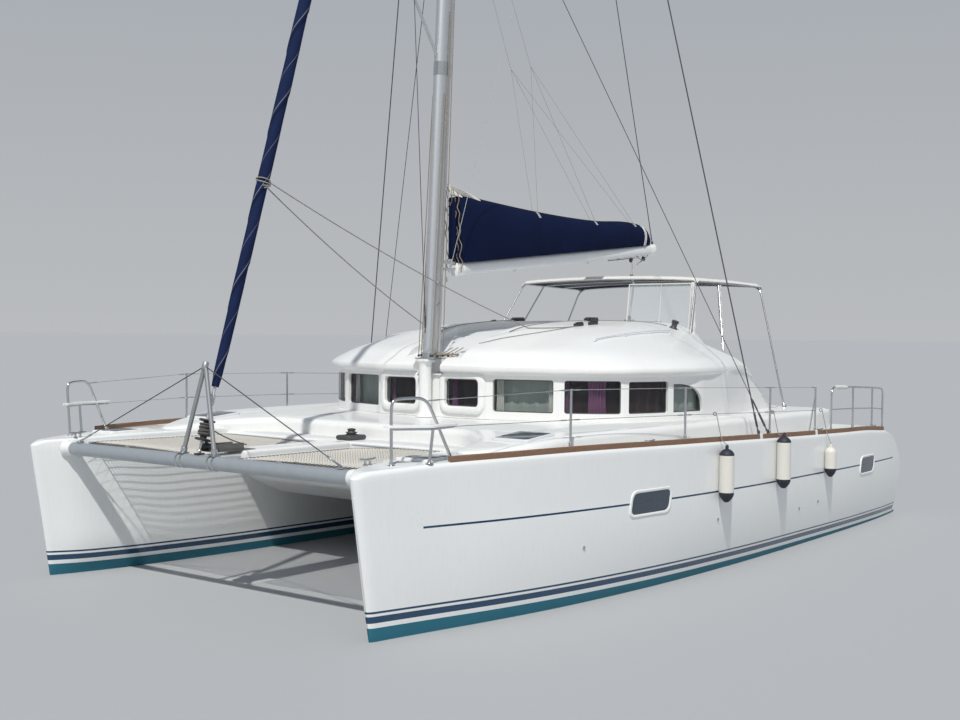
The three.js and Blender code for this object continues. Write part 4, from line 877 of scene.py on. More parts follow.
STERN_PROFILE = [
    (-4.80, 1.90), (-4.80, 1.33), (-5.10, 1.262), (-5.35, 1.15), (-5.56, 0.96),
    (-5.69, 0.72), (-5.745, 0.47), (-5.70, -0.30), (-6.50, -0.30), (-6.50, 1.90),
]
STEPS = [(-4.88, 1.09), (-5.12, 0.83), (-5.36, 0.56)]
STEP_OUTER, STEP_INNER = 2.90, 2.01
# Wells under the bow locker lid and the cabin hatch: x, y, half length, half width, floor
LOCKER = (4.70, 2.32, 0.210, 0.190, 1.08)
HATCH = (3.24, 2.37, 0.250, 0.235, 0.90)
LID_LAP = 0.035


def side_plate(outline, low, high):
    """An outline of (x, z) carried across the boat"""
    outline = np.asarray(outline, float)
    rows = [np.stack([outline[:, 0], np.full(len(outline), y), outline[:, 1]], -1) for y in (low, high)]
    return grid(rows, True, False, True)


def plan_plate(outline, low, high):
    """An outline of (x, y) carried up"""
    outline = np.asarray(outline, float)
    rows = [np.column_stack([outline, np.full(len(outline), z)]) for z in (low, high)]
    return grid(rows, True, False, True)


def well(place, top=2.2):
    x, y, long, wide, floor = place
    long, wide = long - LID_LAP, wide - LID_LAP
    return slab((x - long, y - wide, floor), (x + long, y + wide, top), 0.03)


def make_hulls():
    curve = np.concatenate([STERN_PROFILE[:1], eased(STERN_PROFILE[1:8], 3), STERN_PROFILE[8:]])
    for side, sign in SIDES:
        made = cleaned(object_from(f"hull_{side}_form", on_side(hull_shape(), sign)))
        tools = [slab((-7, STEP_INNER, z), (x, STEP_OUTER, 3), 0.035) for x, z in STEPS]
        tools += [well(LOCKER), well(HATCH)]
        tools += [side_plate(curve, STEP_OUTER - 0.001, 4), side_plate(curve, 1, STEP_INNER + 0.001)]
        tools.append(turned([(0.0262, -0.9), (0.0262, 0.15)], (-4.9, FIN_Y, 0)))
        for tool in tools:
            made = carved(made, on_side(tool, sign))
        cleaned(made, 35, False)
        settle(made, HULL, "root", "gelcoat", (f"hull_{side}",))


def surface_patch(outline, lift, deep):
    """A panel laid on the hull's side: an outline of (x, z) put on the side's curve, lifted off it by
    one distance and set into it by another"""
    outline = np.asarray(outline, float)
    flat = between(outline, 22, 9)
    y = side_at(flat[..., 0], flat[..., 1])
    return plate(*[np.stack([flat[..., 0], y + off, flat[..., 1]], -1) for off in (lift, -deep)])


def slanted_light(front, aft, low, high, slant, soft):
    """A port light's outline: a rectangle whose top leans aft, with round corners"""
    corners = np.array([(front, high), (aft, high), (aft + slant, low), (front + slant, low)], float)
    corners -= (slant / 2, 0)
    path = []
    steps = np.linspace(0, 1, 7)[:, None]
    for before, corner, after in zip(np.roll(corners, 1, 0), corners, np.roll(corners, -1, 0)):
        start, end = corner + unit(before - corner) * soft, corner + unit(after - corner) * soft
        path.append((1 - steps) ** 2 * start + 2 * steps * (1 - steps) * corner + steps ** 2 * end)
    return np.concatenate(path)


PORT_LIGHTS = [(2.36, 1.63, 0.81, 1.09, 0.05), (-3.65, -4.25, 0.77, 1.04, 0.05)]


def make_port_lights():
    frames, panes, bolts = [], [], []
    for front, aft, low, high, slant in PORT_LIGHTS:
        outer = slanted_light(front, aft, low, high, slant, 0.09)
        middle = outer.mean(0)
        rows = []
        for share, off in ((1.0, -0.03), (1.0, 0.004), (0.985, 0.011), (0.93, 0.012), (0.90, 0.006),
                           (0.90, -0.03)):
            flat = middle + (outer - middle) * (share, 1 - (1 - share) * 2.1)
            rows.append(np.stack([flat[:, 0], side_at(flat[:, 0], flat[:, 1]) + off, flat[:, 1]], -1))
        frames.append(grid(rows, True, True))
        panes.append(surface_patch(middle + (outer - middle) * (0.91, 0.80), 0.004, 0.02))
    for x, z in ((0.62, 0.62), (-1.6, 0.52), (-2.2, 0.55), (3.05, 0.58)):
        y = side_at(np.array([x]), np.array([z]))[0]
        bolts.append(turned([(0.0, 0.012), (0.012, 0.010), (0.02, 0.004), (0.021, -0.02)], (x, y, z),
                            (0, 1, 0.1)))
    for side, sign in SIDES:
        for name, shapes, material, slot in (
            ("port_light_frames", frames, GELCOAT, "gelcoat"),
            ("port_light_panes", panes, SMOKED, "saloon_glass"),
            ("through_hulls", bolts, STAINLESS, "stainless"),
        ):
            piece(f"{name}_{side}", on_side(joined(*shapes), sign), material, "root", slot)


# Below the water: keel, rudder, leg and propeller stand at FIN_Y from the centreline
FIN_Y = 2.48
FOIL = np.array([
    (0.0, 0.0), (0.005, 0.17), (0.02, 0.38), (0.05, 0.62), (0.1, 0.84), (0.2, 0.98), (0.28, 1.0),
    (0.4, 0.93), (0.55, 0.76), (0.7, 0.53), (0.85, 0.27), (1.0, 0.03),
])


def foil(rows, y):
    """A blade: a rounded foil section at each level, from rows of front, aft, half thickness and z"""
    rows = np.asarray(rows, float)
    along = np.concatenate([FOIL, FOIL[::-1][:-1] * (1, -1)])
    front, aft, half, z = rows[:, :, None].transpose(1, 0, 2)
    x = front - (front - aft) * along[None, :, 0]
    return grid(np.stack([x, y + half * along[None, :, 1], z + 0 * x], -1), True, False, True)


def make_underwater():
    levels = np.linspace(0, 1, 9)
    keel = [(1.65 - 0.5 * t, -1.15 + 0.2 * t, 0.105 - 0.03 * t, -0.3 - 0.83 * t) for t in levels]
    keel += [(1.147, -0.948, 0.072, -1.142), (1.14, -0.94, 0.062, -1.15)]
    rudder = [(-4.78 - 0.03 * t, -5.23 + 0.08 * t, 0.034 - 0.012 * t, -0.235 - 0.8 * t) for t in levels]
    rudder += [(-4.83, -5.13, 0.012, -1.058), (-4.84, -5.12, 0.004, -1.06)]
    leg = [(-3.50 - 0.04 * t, -3.82 + 0.04 * t, 0.040 - 0.008 * t, -0.2 - 0.6 * t) for t in levels]
    torpedo = [(0.0, 0.15), (0.03, 0.148), (0.05, 0.13), (0.061, 0.06), (0.062, 0.0), (0.055, -0.09),
               (0.045, -0.145), (0.04, -0.147), (0.0, -0.147)]
    for side, sign in SIDES:
        stand_in_for(f"keel_{side}", on_side(foil(keel, FIN_Y), sign), ANTIFOULED)
        stock = rod((-4.9, FIN_Y, -0.4), (-4.9, FIN_Y, 0.1497), 0.025, 24)
        stand_in_for(f"rudder_{side}", on_side(joined(foil(rudder, FIN_Y), stock), sign), ANTIFOULED)
        drive = joined(
            foil(leg, FIN_Y),
            turned(torpedo, (-3.65, FIN_Y, -0.8), (1, 0, 0)),
            rod((-3.79, FIN_Y, -0.8), (-3.86, FIN_Y, -0.8), 0.015, 16),
            turned([(0.0, 0.0), (0.026, 0.0), (0.03, -0.02), (0.028, -0.08), (0, -0.09)],
                   (-3.68, FIN_Y, -0.86), (0.2, 0, 1)),
        )
        stand_in_for(f"saildrive_{side}", on_side(drive, sign), GALVANISED)
        stand_in_for(f"propeller_{side}", on_side(propeller(), sign), BRONZE)


def propeller():
    """Hub turned about the shaft, and three blades: rows out from the shaft, each an arc that turns
    flatter towards the tip"""
    centre = np.array((-3.84, FIN_Y, -0.8))
    hub = turned([(0.0158, 0.039), (0.040, 0.039), (0.042, 0.03), (0.04, -0.02), (0.034, -0.045),
                  (0.02, -0.058), (0.0, -0.06)], centre, (1, 0, 0))
    t = np.linspace(0, 1, 9)[:, None]
    u = np.linspace(-1, 1, 11)[None]
    out = 0.025 + 0.173 * t
    wide = 0.016 + 0.044 * np.sin(PI * np.clip(t * 0.9 + 0.08, 0, 1)) ** 0.8
    pitch = 0.95 - 0.45 * t
    across = wide * u
    bow = 0.006 * (1 - u ** 2)
    thick = 0.004 * (1 - 0.7 * t) * (1 - u ** 2) + 0.0006
    shapes = [hub]
    for number in range(3):
        faces = []
        for half in (1, -1):
            x = across * np.sin(pitch) + (bow + half * thick) * np.cos(pitch)
            w = across * np.cos(pitch) - (bow + half * thick) * np.sin(pitch)
            faces.append(np.stack([x, w, out + 0 * u], -1))
        ring = np.concatenate([faces[0], faces[1][:, ::-1]], 1)
        angle = 2 * PI * number / 3
        c, s = math.cos(angle), math.sin(angle)
        blade = np.stack([ring[..., 0], ring[..., 1] * c - ring[..., 2] * s,
                          ring[..., 1] * s + ring[..., 2] * c], -1)
        shapes.append(grid(blade + centre, True, False, True))
    return joined(*shapes)


# Raised deck, saloon and roof
TRUNK_TOP = 1.70
HOUSE_AFT, WING_AFT, ROOF_AFT = -1.95, -3.35, -2.15
HOUSE = np.array([
    (1.87, 0.0), (1.87, 0.79), (1.815, 0.92), (1.605, 1.66), (1.40, 2.01), (1.14, 2.27),
    (0.78, 2.40), (0.43, 2.50), (-0.12, 2.595), (-0.90, 2.54), (-1.95, 2.28),
])
WING_TAPER = 0.13
VISOR = 2.26
VISOR_OUT = 0.095
DOME = np.array([
    # row, front, share of the half width, height
    (0, 1.965, 1.00, 2.296), (1, 1.952, 0.992, 2.335), (2, 1.83, 0.95, 2.42), (3, 1.70, 0.87, 2.515),
    (4, 1.41, 0.78, 2.615), (5, 1.09, 0.68, 2.715), (6, 0.70, 0.58, 2.805), (7, 0.0, 0.48, 2.865),
    (8, -0.75, 0.36, 2.890), (9, -1.45, 0.18, 2.903), (10, -2.0, 0.0, 2.905),
])
INNER_DOME = np.array([
    (0, 1.82, 1.0, 2.25), (1, 1.64, 0.92, 2.36), (2, 1.33, 0.78, 2.48), (3, 0.80, 0.60, 2.60),
    (4, -0.10, 0.42, 2.67), (5, -1.0, 0.2, 2.68), (6, -1.7, 0.0, 2.685),
])
SWEEP = [
    (-1.20, 2.70), (-1.40, 2.63), (-1.60, 2.53), (-1.80, 2.40), (-2.00, 2.26), (-2.30, 2.09),
    (-2.60, 1.92), (-2.90, 1.75), (-3.05, 1.68), (-3.15, 1.60), (-4.0, 1.50),
]


def offset(half, out):
    """A half plan moved outwards, from the centreline to its aft end"""
    along = unit(np.gradient(half, axis=0))
    away = np.stack([along[:, 1], -along[:, 0]], -1)
    moved_out = half + away * out
    moved_out[0] = (half[0, 0] + (out if np.isscalar(out) else out[0]), 0)
    moved_out[-1] = (half[-1, 0], half[-1, 1] + (out if np.isscalar(out) else out[-1]))
    return moved_out


def sweep_height(x, y):
    """The line down which the roof's sides run aft, rising inboard"""
    line = np.where(x > SWEEP[0][0], SWEEP[0][1] + (x - SWEEP[0][0]) * 0.33, through(SWEEP, x))
    return line + np.clip(1.9 - np.abs(y), 0, None) * 1.2


def smooth_least(a, b, soft):
    """The lesser of two heights, rounded where they cross"""
    blend = np.clip(0.5 + 0.5 * (b - a) / soft, 0, 1)
    return b * (1 - blend) + a * blend - soft * blend * (1 - blend)


def house_rows(wall, brow, dome, aft, floor, flare, steps):
    """Rings of the saloon: wall rows straight up, flare rows out from wall to brow, then the dome's
    rows, each the brow's plan drawn in to a front and a share of its width; the aft ends stay put"""
    rows = []
    for share, z in flare:
        plan = wall + (brow - wall) * share
        rows.append(np.column_stack([plan, np.full(len(plan), z)]))
    last = dome[-1, 0]
    for row in np.linspace(0, last, steps):
        front, across, z = (float(through(dome[:, [0, k]], np.array(row))) for k in (1, 2, 3))
        along = (front - aft) / (brow[:, 0].max() - aft)
        rows.append(np.column_stack([
            aft + (brow[:, 0] - aft) * along, brow[:, 1] * max(across, 0.0), np.full(len(brow), z)]))
    rows = np.array(rows)
    first = np.concatenate([rows[:1, :, :2], np.full((1, rows.shape[1], 1), floor)], -1)
    return np.concatenate([first, rows])


def whole(half):
    return np.concatenate([half[:0:-1] * (1, -1), half])


def house_plans(out, aft, count, brow_out):
    """The wall's plan with its corners rounded, and the brow's plan, a wide smooth curve round it"""
    half = np.concatenate([HOUSE, [(aft, HOUSE[-1, 1] - WING_TAPER * (HOUSE_AFT - aft))]])
    wall = even(bent(whole(offset(half, out)), 0.09, 5), count)
    curve = even(eased(whole(offset(half, out)), 2), count)
    fade = np.clip((curve[:, 0] + 0.9) / 1.6, 0, 1)[:, None]
    away = unit(np.gradient(curve, axis=0))
    away = np.stack([away[:, 1], -away[:, 0]], -1)
    brow = curve + away * (brow_out * fade * fade * (3 - 2 * fade) + 0.012 * (brow_out > 0))
    brow[0], brow[-1] = (aft, brow[0, 1]), (aft, brow[-1, 1])
    return wall, brow


def house_outside():
    wall, brow = house_plans(0, WING_AFT, 301, VISOR_OUT - 0.012)
    flare = [(0, 1.9), (0, 2.15), (0, 2.20), (0.05, 2.222), (0.25, 2.238), (0.6, 2.248), (0.88, 2.256),
             (0.98, 2.268)]
    rows = house_rows(wall, brow, DOME, WING_AFT, TRUNK_TOP + 0.0003, flare, 40)
    lowered = smooth_least(rows[..., 2], sweep_height(rows[..., 0], rows[..., 1]), 0.10)
    rows[1:, :, 2] = np.maximum(lowered, TRUNK_TOP + 0.0003 + 0.001 * np.arange(len(rows))[:, None])[1:]
    return grid(rows, True, False, True)


def house_inside():
    wall = house_plans(-0.05, WING_AFT - 0.05, 161, 0.0)[0]
    rows = house_rows(wall, wall, INNER_DOME, WING_AFT - 0.05, 1.5, [(0, 2.0), (0, 2.20)], 14)
    rows[..., 2] = np.minimum(rows[..., 2],
                              np.maximum(sweep_height(rows[..., 0], rows[..., 1]) - 0.055, 1.6))
    return grid(rows, True, False, True)


# Windows in the wall: two plan points, sill and head, corner radius
WINDOWS = [
    ("opening", (1.87, 0.23), (1.87, 0.73), 1.840, 2.165, 0.060),
    ("front_corner", (1.801, 0.894), (1.619, 1.618), 1.795, 2.175, 0.035),
    ("shoulder", (1.570, 1.739), (1.165, 2.247), 1.795, 2.175, 0.035),
    ("side", (1.068, 2.291), (0.492, 2.481), 1.795, 2.165, 0.030),
    ("quarter", (0.403, 2.502), (-0.155, 2.600), 1.795, 2.130, 0.025),
]


def window_outline(name, width, height, soft, grow=0.0):
    """Round-cornered rectangle, or for the quarter light one whose aft top falls in a wide curve"""
    low, high = -grow, height + grow
    left, right = -grow, width + grow
    steps = np.linspace(0, 1, 13)[:, None]
    if name == "quarter":
        knots = np.array([(right, low), (right, low + (high - low) * 0.72),
                          (left + (right - left) * 0.55, low + (high - low) * 0.93),
                          (left + (right - left) * 0.35, high), (left + (right - left) * 0.1, high)])
        weights = (1 - steps) ** 2, 2 * steps * (1 - steps), steps ** 2
        curve = [sum(weight * knots[k + i] for i, weight in enumerate(weights)) for k in (0, 2)]
        parts = [np.array([(left, low)]), np.concatenate([curve[0], curve[1][1:]]),
                 np.array([(left, high)])]
    else:
        points = np.array([(left, low), (right, low), (right, high), (left, high)])
        reach = soft + grow
        parts = []
        for k, corner in enumerate(points):
            start = corner + unit(points[k - 1] - corner) * reach
            end = corner + unit(points[(k + 1) % 4] - corner) * reach
            parts.append((1 - steps) ** 2 * start + 2 * steps * (1 - steps) * corner + steps ** 2 * end)
    runs = [np.linspace(here[-1], after[0], 16)[1:-1] for here, after in zip(parts, parts[1:] + parts[:1])]
    return np.concatenate([block for pair in zip(parts, runs) for block in pair])


WALL = house_plans(0, WING_AFT, 301, VISOR_OUT - 0.012)[0]


def on_wall(row, flat, away):
    """Points of a window's own plane laid on the curved wall, set out from it by a distance"""
    start, end = (np.append(place, row[3]) for place in row[1:3])
    along = unit(end - start)
    up = np.array((0, 0, 1.0))
    out = np.cross(along, up)
    near = WALL[WALL[:, 1] > -0.1] - start[:2]
    s, t = near @ along[:2], near @ out[:2]
    close = (np.abs(t) < 0.3) & (s > -0.35) & (s < np.linalg.norm(end - start) + 0.35)
    order = np.argsort(s[close])
    bulge = np.interp(flat[..., 0], s[close][order], t[close][order])
    return start + flat[..., :1] * along + flat[..., 1:] * up + (away + bulge)[..., None] * out


def on_window(row, outlines):
    """Rings of a window's outline, each grown by one distance and set out from the wall by another"""
    width = float(np.linalg.norm(np.subtract(row[2], row[1])))
    return [on_wall(row, window_outline(row[0], width, row[4] - row[3], row[5], grow), away)
            for grow, away in outlines]


def window_ring(row, outlines):
    return grid(on_window(row, outlines), True, True)


def window_panel(row, outlines):
    return grid(on_window(row, outlines), True, False, True)


def between(outline, columns, rows):
    """A grid of points that fills a convex outline from side to side and from its foot to its top"""
    left, right = outline[:, 0].argmin(), outline[:, 0].argmax()
    turned_line = np.roll(outline, -left, 0)
    split = (right - left) % len(outline)
    halves = [turned_line[:split + 1], np.concatenate([turned_line[split:], turned_line[:1]])[::-1]]
    share = 0.5 - 0.5 * np.cos(np.linspace(0, PI, columns))
    s = outline[left, 0] + (outline[right, 0] - outline[left, 0]) * share
    edges = [np.interp(s, half[:, 0], half[:, 1]) for half in halves]
    low, high = np.minimum(*edges), np.maximum(*edges)
    rise = np.linspace(0, 1, rows)[:, None]
    return np.stack([s + 0 * rise, low + (high - low) * rise], -1)


def plate(front, back):
    """A thin plate between two grids of points with a strip round its edge"""
    edge = [np.concatenate([p[0], p[1:, -1], p[-1, -2::-1], p[-2:0:-1, 0]]) for p in (back, front)]
    return joined(grid(front), grid(back), grid(np.stack(edge), True))


def window_pane(row, deep, thick=0.006):
    width = float(np.linalg.norm(np.subtract(row[2], row[1])))
    flat = between(window_outline(row[0], width, row[4] - row[3], row[5], -0.003), 24, 10)
    return plate(on_wall(row, flat, -deep + thick), on_wall(row, flat, -deep))


MAST_SLOT_HALF, TROUGH_HALF = 0.21, 0.43
TROUGH = [(2.40, 2.30), (1.70, 2.44), (1.2, 2.597), (0.70, 2.725), (0.0, 2.778), (-0.70, 2.81),
          (-1.30, 2.90), (-1.30, 3.1), (2.4, 3.1)]


def make_roof():
    made = cleaned(object_from("coachroof_form", house_outside()), merge=1e-4)
    made = carved(made, house_inside())
    for row in WINDOWS:
        cut = window_panel(row, [(0, -0.15), (0, 0.15)])
        made = carved(made, cut, mirrored(cut))
    made = carved(
        made,
        slab((1.7, -MAST_SLOT_HALF, VISOR - 0.042), (2.4, MAST_SLOT_HALF, 3.0), 0.05),
        side_plate(TROUGH, -TROUGH_HALF, TROUGH_HALF),
        slab((-4, -1.751, 1.5), (ROOF_AFT, 1.751, 3.2), 0.05),
    )
    cleaned(made, 35, False)
    settle(made, MOULDING, "root", "gelcoat", ("coachroof",))
    liner = [slab((1.690, -0.218, 2.205), (1.706, 0.218, 2.475), 0.003),
             slab((1.690, -0.218, 2.205), (1.90, 0.218, 2.217), 0.003)]
    for sign in (1, -1):
        liner.append(slab((1.690, sign * 0.2165 - 0.0055, 2.205), (1.885, sign * 0.2165 + 0.0055, 2.33),
                          0.002))
    piece("mast_slot_liner", joined(*liner), MOULDING, "root", "gelcoat")


def make_windows():
    """Panes set into the wall, rubber round them, raised frames on the two that open"""
    panes, rubbers, frames = [], [], []
    for row in WINDOWS:
        opens = row[0] == "opening"
        deep = 0.024 if opens else 0.046
        panes.append(window_pane(row, deep))
        rubbers.append(window_ring(row,
                                   [(-0.011, -deep - 0.002), (-0.011, -deep + 0.008),
                                    (-0.004, -deep + 0.011), (0.002, -deep + 0.010),
                                    (0.002, -deep - 0.002)]))
        if opens:
            frames.append(window_ring(row, [(0.0, -0.02), (0.004, 0.028), (0.016, 0.040), (0.060, 0.040),
                                            (0.078, 0.030), (0.090, 0.004), (0.090, -0.01), (0.0, -0.03)]))
    piece("saloon_windows_form", both(joined(*panes)), TINTED_GLASS, "root", "saloon_glass",
          ("saloon_windows",))
    piece("window_rubbers", both(joined(*rubbers)), RUBBER, "root", "black_plastic")
    piece("opening_light_frames", both(joined(*frames)), GELCOAT, "root", "gelcoat")


CURTAINS = [
    # window, cloth, from and to as shares of its width, set in from the wall, foot over the sill
    ("opening", PURPLE_CLOTH, 0.02, 0.16, 0.120, -0.03),
    ("opening", PURPLE_CLOTH, 0.90, 0.99, 0.120, -0.03),
    # Full-width brown sheet: brown cloth and painted shade for the dark saloon behind the glass
    ("opening", BROWN_CLOTH_AND_SHADE, 0.00, 1.00, 0.160, -0.04),
    # Pale sheet across the whole width: painted daylight seen through the saloon
    ("front_corner", PAINTED_DAYLIGHT_SHEET, -0.02, 1.02, 0.170, -0.04),
    ("front_corner", PALE_CLOTH, 0.00, 0.13, 0.110, -0.03),
    ("front_corner", PALE_CLOTH, 0.86, 1.00, 0.110, -0.03),
    ("shoulder", BROWN_CLOTH_AND_SHADE, 0.00, 1.00, 0.170, -0.04),
    ("shoulder", PURPLE_CLOTH, 0.42, 0.76, 0.110, -0.03),
    ("shoulder", PURPLE_CLOTH, 0.00, 0.10, 0.110, -0.03),
    # side: brown sheet as painted shade; quarter: pale sheet as painted daylight
    ("side", BROWN_CLOTH_AND_SHADE, 0.00, 1.00, 0.110, -0.03), ("quarter", PAINTED_DAYLIGHT_SHEET, 0.15, 1.00, 0.100, -0.03),
]


def curtain(name, cloth, row, share, deep, foot):
    """A cloth hung from a rail behind a window: a wave across it that widens towards its hem"""
    width = float(np.linalg.norm(np.subtract(row[2], row[1])))
    start, end = share[0] * width, share[1] * width
    wide = share[1] - share[0] > 0.5
    folds = max(3, int((end - start) / (0.13 if wide else 0.035)))
    u = np.linspace(0, 1, folds * 10 + 1)[None]
    t = np.linspace(0, 1, 14)[:, None]
    phase = 2 * PI * folds * u + 0.6 * np.sin(3 * t + folds)
    wave = (0.5 if wide else 1) * (0.008 + 0.010 * t) * np.sin(phase)
    drawn = (0 if wide else 1) * (end - start) * 0.10 * np.sin(PI * t)
    s = start + drawn / 2 + (end - start - drawn) * u
    top = row[4] - row[3] + 0.02
    z = top + (foot - top) * t + 0.004 * np.sin(9 * u) * t
    points = on_wall(row, np.stack([s, z + 0 * u], -1), -deep + wave)
    long = np.linalg.norm(np.diff(points[7], axis=0), axis=1).sum()
    for side, sign in SIDES:
        made = piece(f"{name}_{side}", on_side(grid(points), sign), cloth, "root", "upholstery",
                     closed=False)


def make_curtains():
    rows = {row[0]: row for row in WINDOWS}
    for number, (window, cloth, start, end, deep, foot) in enumerate(CURTAINS):
        curtain(f"curtain_{window}_{number}", cloth, rows[window], (start, end), deep, foot)


def filled(outline, height, spacing=0.08):
    """A sheet over a plan outline: triangles between the outline and evenly spaced points inside it,
    raised to a height that depends on the place"""
    outline = np.asarray(outline, float)
    count = len(outline)
    low, high = outline.min(0), outline.max(0)
    xs, ys = np.meshgrid(np.arange(low[0], high[0], spacing), np.arange(low[1], high[1], spacing * 1.3))
    inner = np.stack([xs.ravel(), ys.ravel()], -1)
    start, end = outline, np.roll(outline, -1, 0)
    crosses = (start[:, 1] > inner[:, 1, None]) != (end[:, 1] > inner[:, 1, None])
    rise = np.where(end[:, 1] == start[:, 1], 1e-9, end[:, 1] - start[:, 1])
    reach = (end[:, 0] - start[:, 0]) * (inner[:, 1, None] - start[:, 1]) / rise + start[:, 0]
    inside = (crosses & (inner[:, 0, None] < reach)).sum(1) % 2 == 1
    run = end - start
    share = ((inner[:, None] - start) * run).sum(-1) / np.maximum((run ** 2).sum(-1), 1e-12)
    nearest = start + run * np.clip(share, 0, 1)[..., None]
    apart = np.linalg.norm(inner[:, None] - nearest, axis=-1).min(1) > spacing * 0.6
    points = [Vector(p) for p in np.concatenate([outline, inner[inside & apart]])]
    edges = [(k, (k + 1) % count) for k in range(count)]
    found, _, faces, *_ = delaunay_2d_cdt(points, edges, [], 1, 1e-6)
    flat = np.array([tuple(p) for p in found])
    faces = np.array([tuple(f) for f in faces if len(f) == 3])
    made = np.column_stack([flat, height(flat[:, 0], flat[:, 1])])
    return made, [(faces, np.stack([flat[faces][..., 0], flat[faces][..., 1]], -1))]


def level_at(z):
    """A flat height, as a function of place"""

    def height(x, y):
        return np.full(np.shape(x), z)

    return height


def crowned_plate(outline, height, edge, skirt, closed_below=True):
    """A deck moulding: walls up a plan outline, a quarter circle inwards of radius edge, and a sheet
    over what is left"""
    outline = np.asarray(outline, float)
    along = unit(np.roll(outline, -1, 0) - np.roll(outline, 1, 0))
    away = np.stack([along[:, 1], -along[:, 0]], -1)
    area = np.sum(outline[:, 0] * np.roll(outline[:, 1], -1) - np.roll(outline[:, 0], -1) * outline[:, 1])
    away *= np.sign(area)
    rows = []
    rows.append(np.column_stack([outline, np.full(len(outline), skirt)]))
    for angle in np.linspace(0, PI / 2, 7):
        plan = outline - away * edge * (1 - math.cos(angle))
        rows.append(np.column_stack([plan, height(plan[:, 0], plan[:, 1]) - edge * (1 - math.sin(angle))]))
    rim = rows[-1][:, :2]
    lid = filled(rim, height)
    shapes = [grid(rows, True), lid]
    if closed_below:
        shapes.append(filled(outline, level_at(skirt), 0.3))
    return joined(*shapes)


TRUNK_HALF = [
    (3.04, 0.0), (3.04, 1.48), (3.46, 1.96), (4.05, 2.11), (4.14, 2.25), (4.02, 2.44),
    (3.50, 2.70), (2.30, 2.83), (1.00, 2.92), (-1.00, 2.93), (-3.00, 2.86), (-3.62, 2.76),
]
TRUNK_LINE = [(-4.0, 1.70), (1.2, 1.70), (1.87, 1.697), (3.04, 1.672), (3.6, 1.618), (4.2, 1.552)]
COAMING_INSIDE, COAMING_AFT = 1.925, -3.62
LOW_DECK = 1.50


def trunk_height(x, y):
    return through(TRUNK_LINE, x)


def make_raised_deck():
    half = np.array(TRUNK_HALF)
    front = bent(whole(half)[:-1], 0.16, 6)
    outline = np.concatenate([front, [whole(half)[-1]]])
    outline = even(outline, 260)
    shape = crowned_plate(outline, trunk_height, 0.075, 1.20)
    made = cleaned(object_from("raised_deck_form", shape), 40, True, 2e-4)
    floor = offset(HOUSE, -0.07)
    floor[-1, 0] = HOUSE_AFT - 0.001
    made = carved(
        made,
        plan_plate(even(whole(floor), 90), 0.5, 3),
        slab((COAMING_AFT - 0.3, -COAMING_INSIDE, 0.5), (HOUSE_AFT, COAMING_INSIDE, 3), 0.04),
        slab((-6, -COAMING_INSIDE, 0.5), (6, COAMING_INSIDE, LOW_DECK + 0.0003), 0.01),
        well(HATCH), mirrored(well(HATCH)),
    )
    cleaned(made, 40, False)
    settle(made, MOULDING, "root", "gelcoat", ("raised_deck",))


PANEL_LIFT = 0.0035


def deck_panel(name, outline, height):
    """A panel of non-skid on the deck, its edge rounded down to the gelcoat"""

    def lifted(x, y):
        return height(x, y) + PANEL_LIFT

    outline = eased(np.asarray(outline, float), 2, True)
    shape = crowned_plate(outline, lifted, 0.003, 1.4, False)
    points = shape[0]
    points[:, 2] = np.maximum(points[:, 2], height(points[:, 0], points[:, 1]) - 0.004)
    piece(name, both(shape), NONSKID, "root", "gelcoat", closed=False)


def hull_deck(x, y):
    return deck_height(x)


def make_deck_panels():
    deck_panel("bow_nonskid", [(5.35, 2.36), (5.05, 2.16), (4.99, 2.13), (4.98, 2.51), (5.1, 2.52),
                               (5.3, 2.46)], hull_deck)
    deck_panel("locker_nonskid", [(4.45, 2.08), (4.22, 2.05), (4.25, 2.2), (4.2, 2.42), (4.1, 2.52),
                                  (4.42, 2.6)], hull_deck)
    walk = [(x, float(outer_side(x)) - 0.14) for x in np.linspace(3.9, -2.6, 14)]
    inside = [(-2.6, 2.98), (-1.0, 3.04), (1.0, 3.03), (2.3, 2.94), (3.4, 2.79)]
    deck_panel("side_deck_nonskid", walk + inside, hull_deck)
    aft = [(x, float(outer_side(x)) - 0.14) for x in np.linspace(-3.75, -4.70, 5)]
    deck_panel("aft_deck_nonskid", aft + [(-4.70, 2.05), (-3.75, 2.05)], hull_deck)
    trunk = [(2.88, 1.10), (2.90, 1.44), (2.95, 1.60), (2.92, 2.08), (2.30, 2.15), (2.1, 1.2)]
    deck_panel("trunk_nonskid", trunk, trunk_height)
    deck_panel("trunk_side_nonskid", [(2.85, 2.20), (2.85, 2.62), (1.0, 2.80), (-0.6, 2.82), (-0.6, 2.76),
                                      (0.4, 2.62), (1.1, 2.45), (1.5, 2.2)], trunk_height)
    deck_panel("lobe_nonskid", [(3.95, 2.20), (3.92, 2.40), (3.60, 2.54), (3.56, 2.10), (3.70, 2.12)],
               trunk_height)
    foredeck = [(3.38, 0.25), (3.38, 1.80), (3.22, 1.62), (3.10, 1.46), (3.10, 0.25)]
    deck_panel("foredeck_nonskid", foredeck, level_at(LOW_DECK))


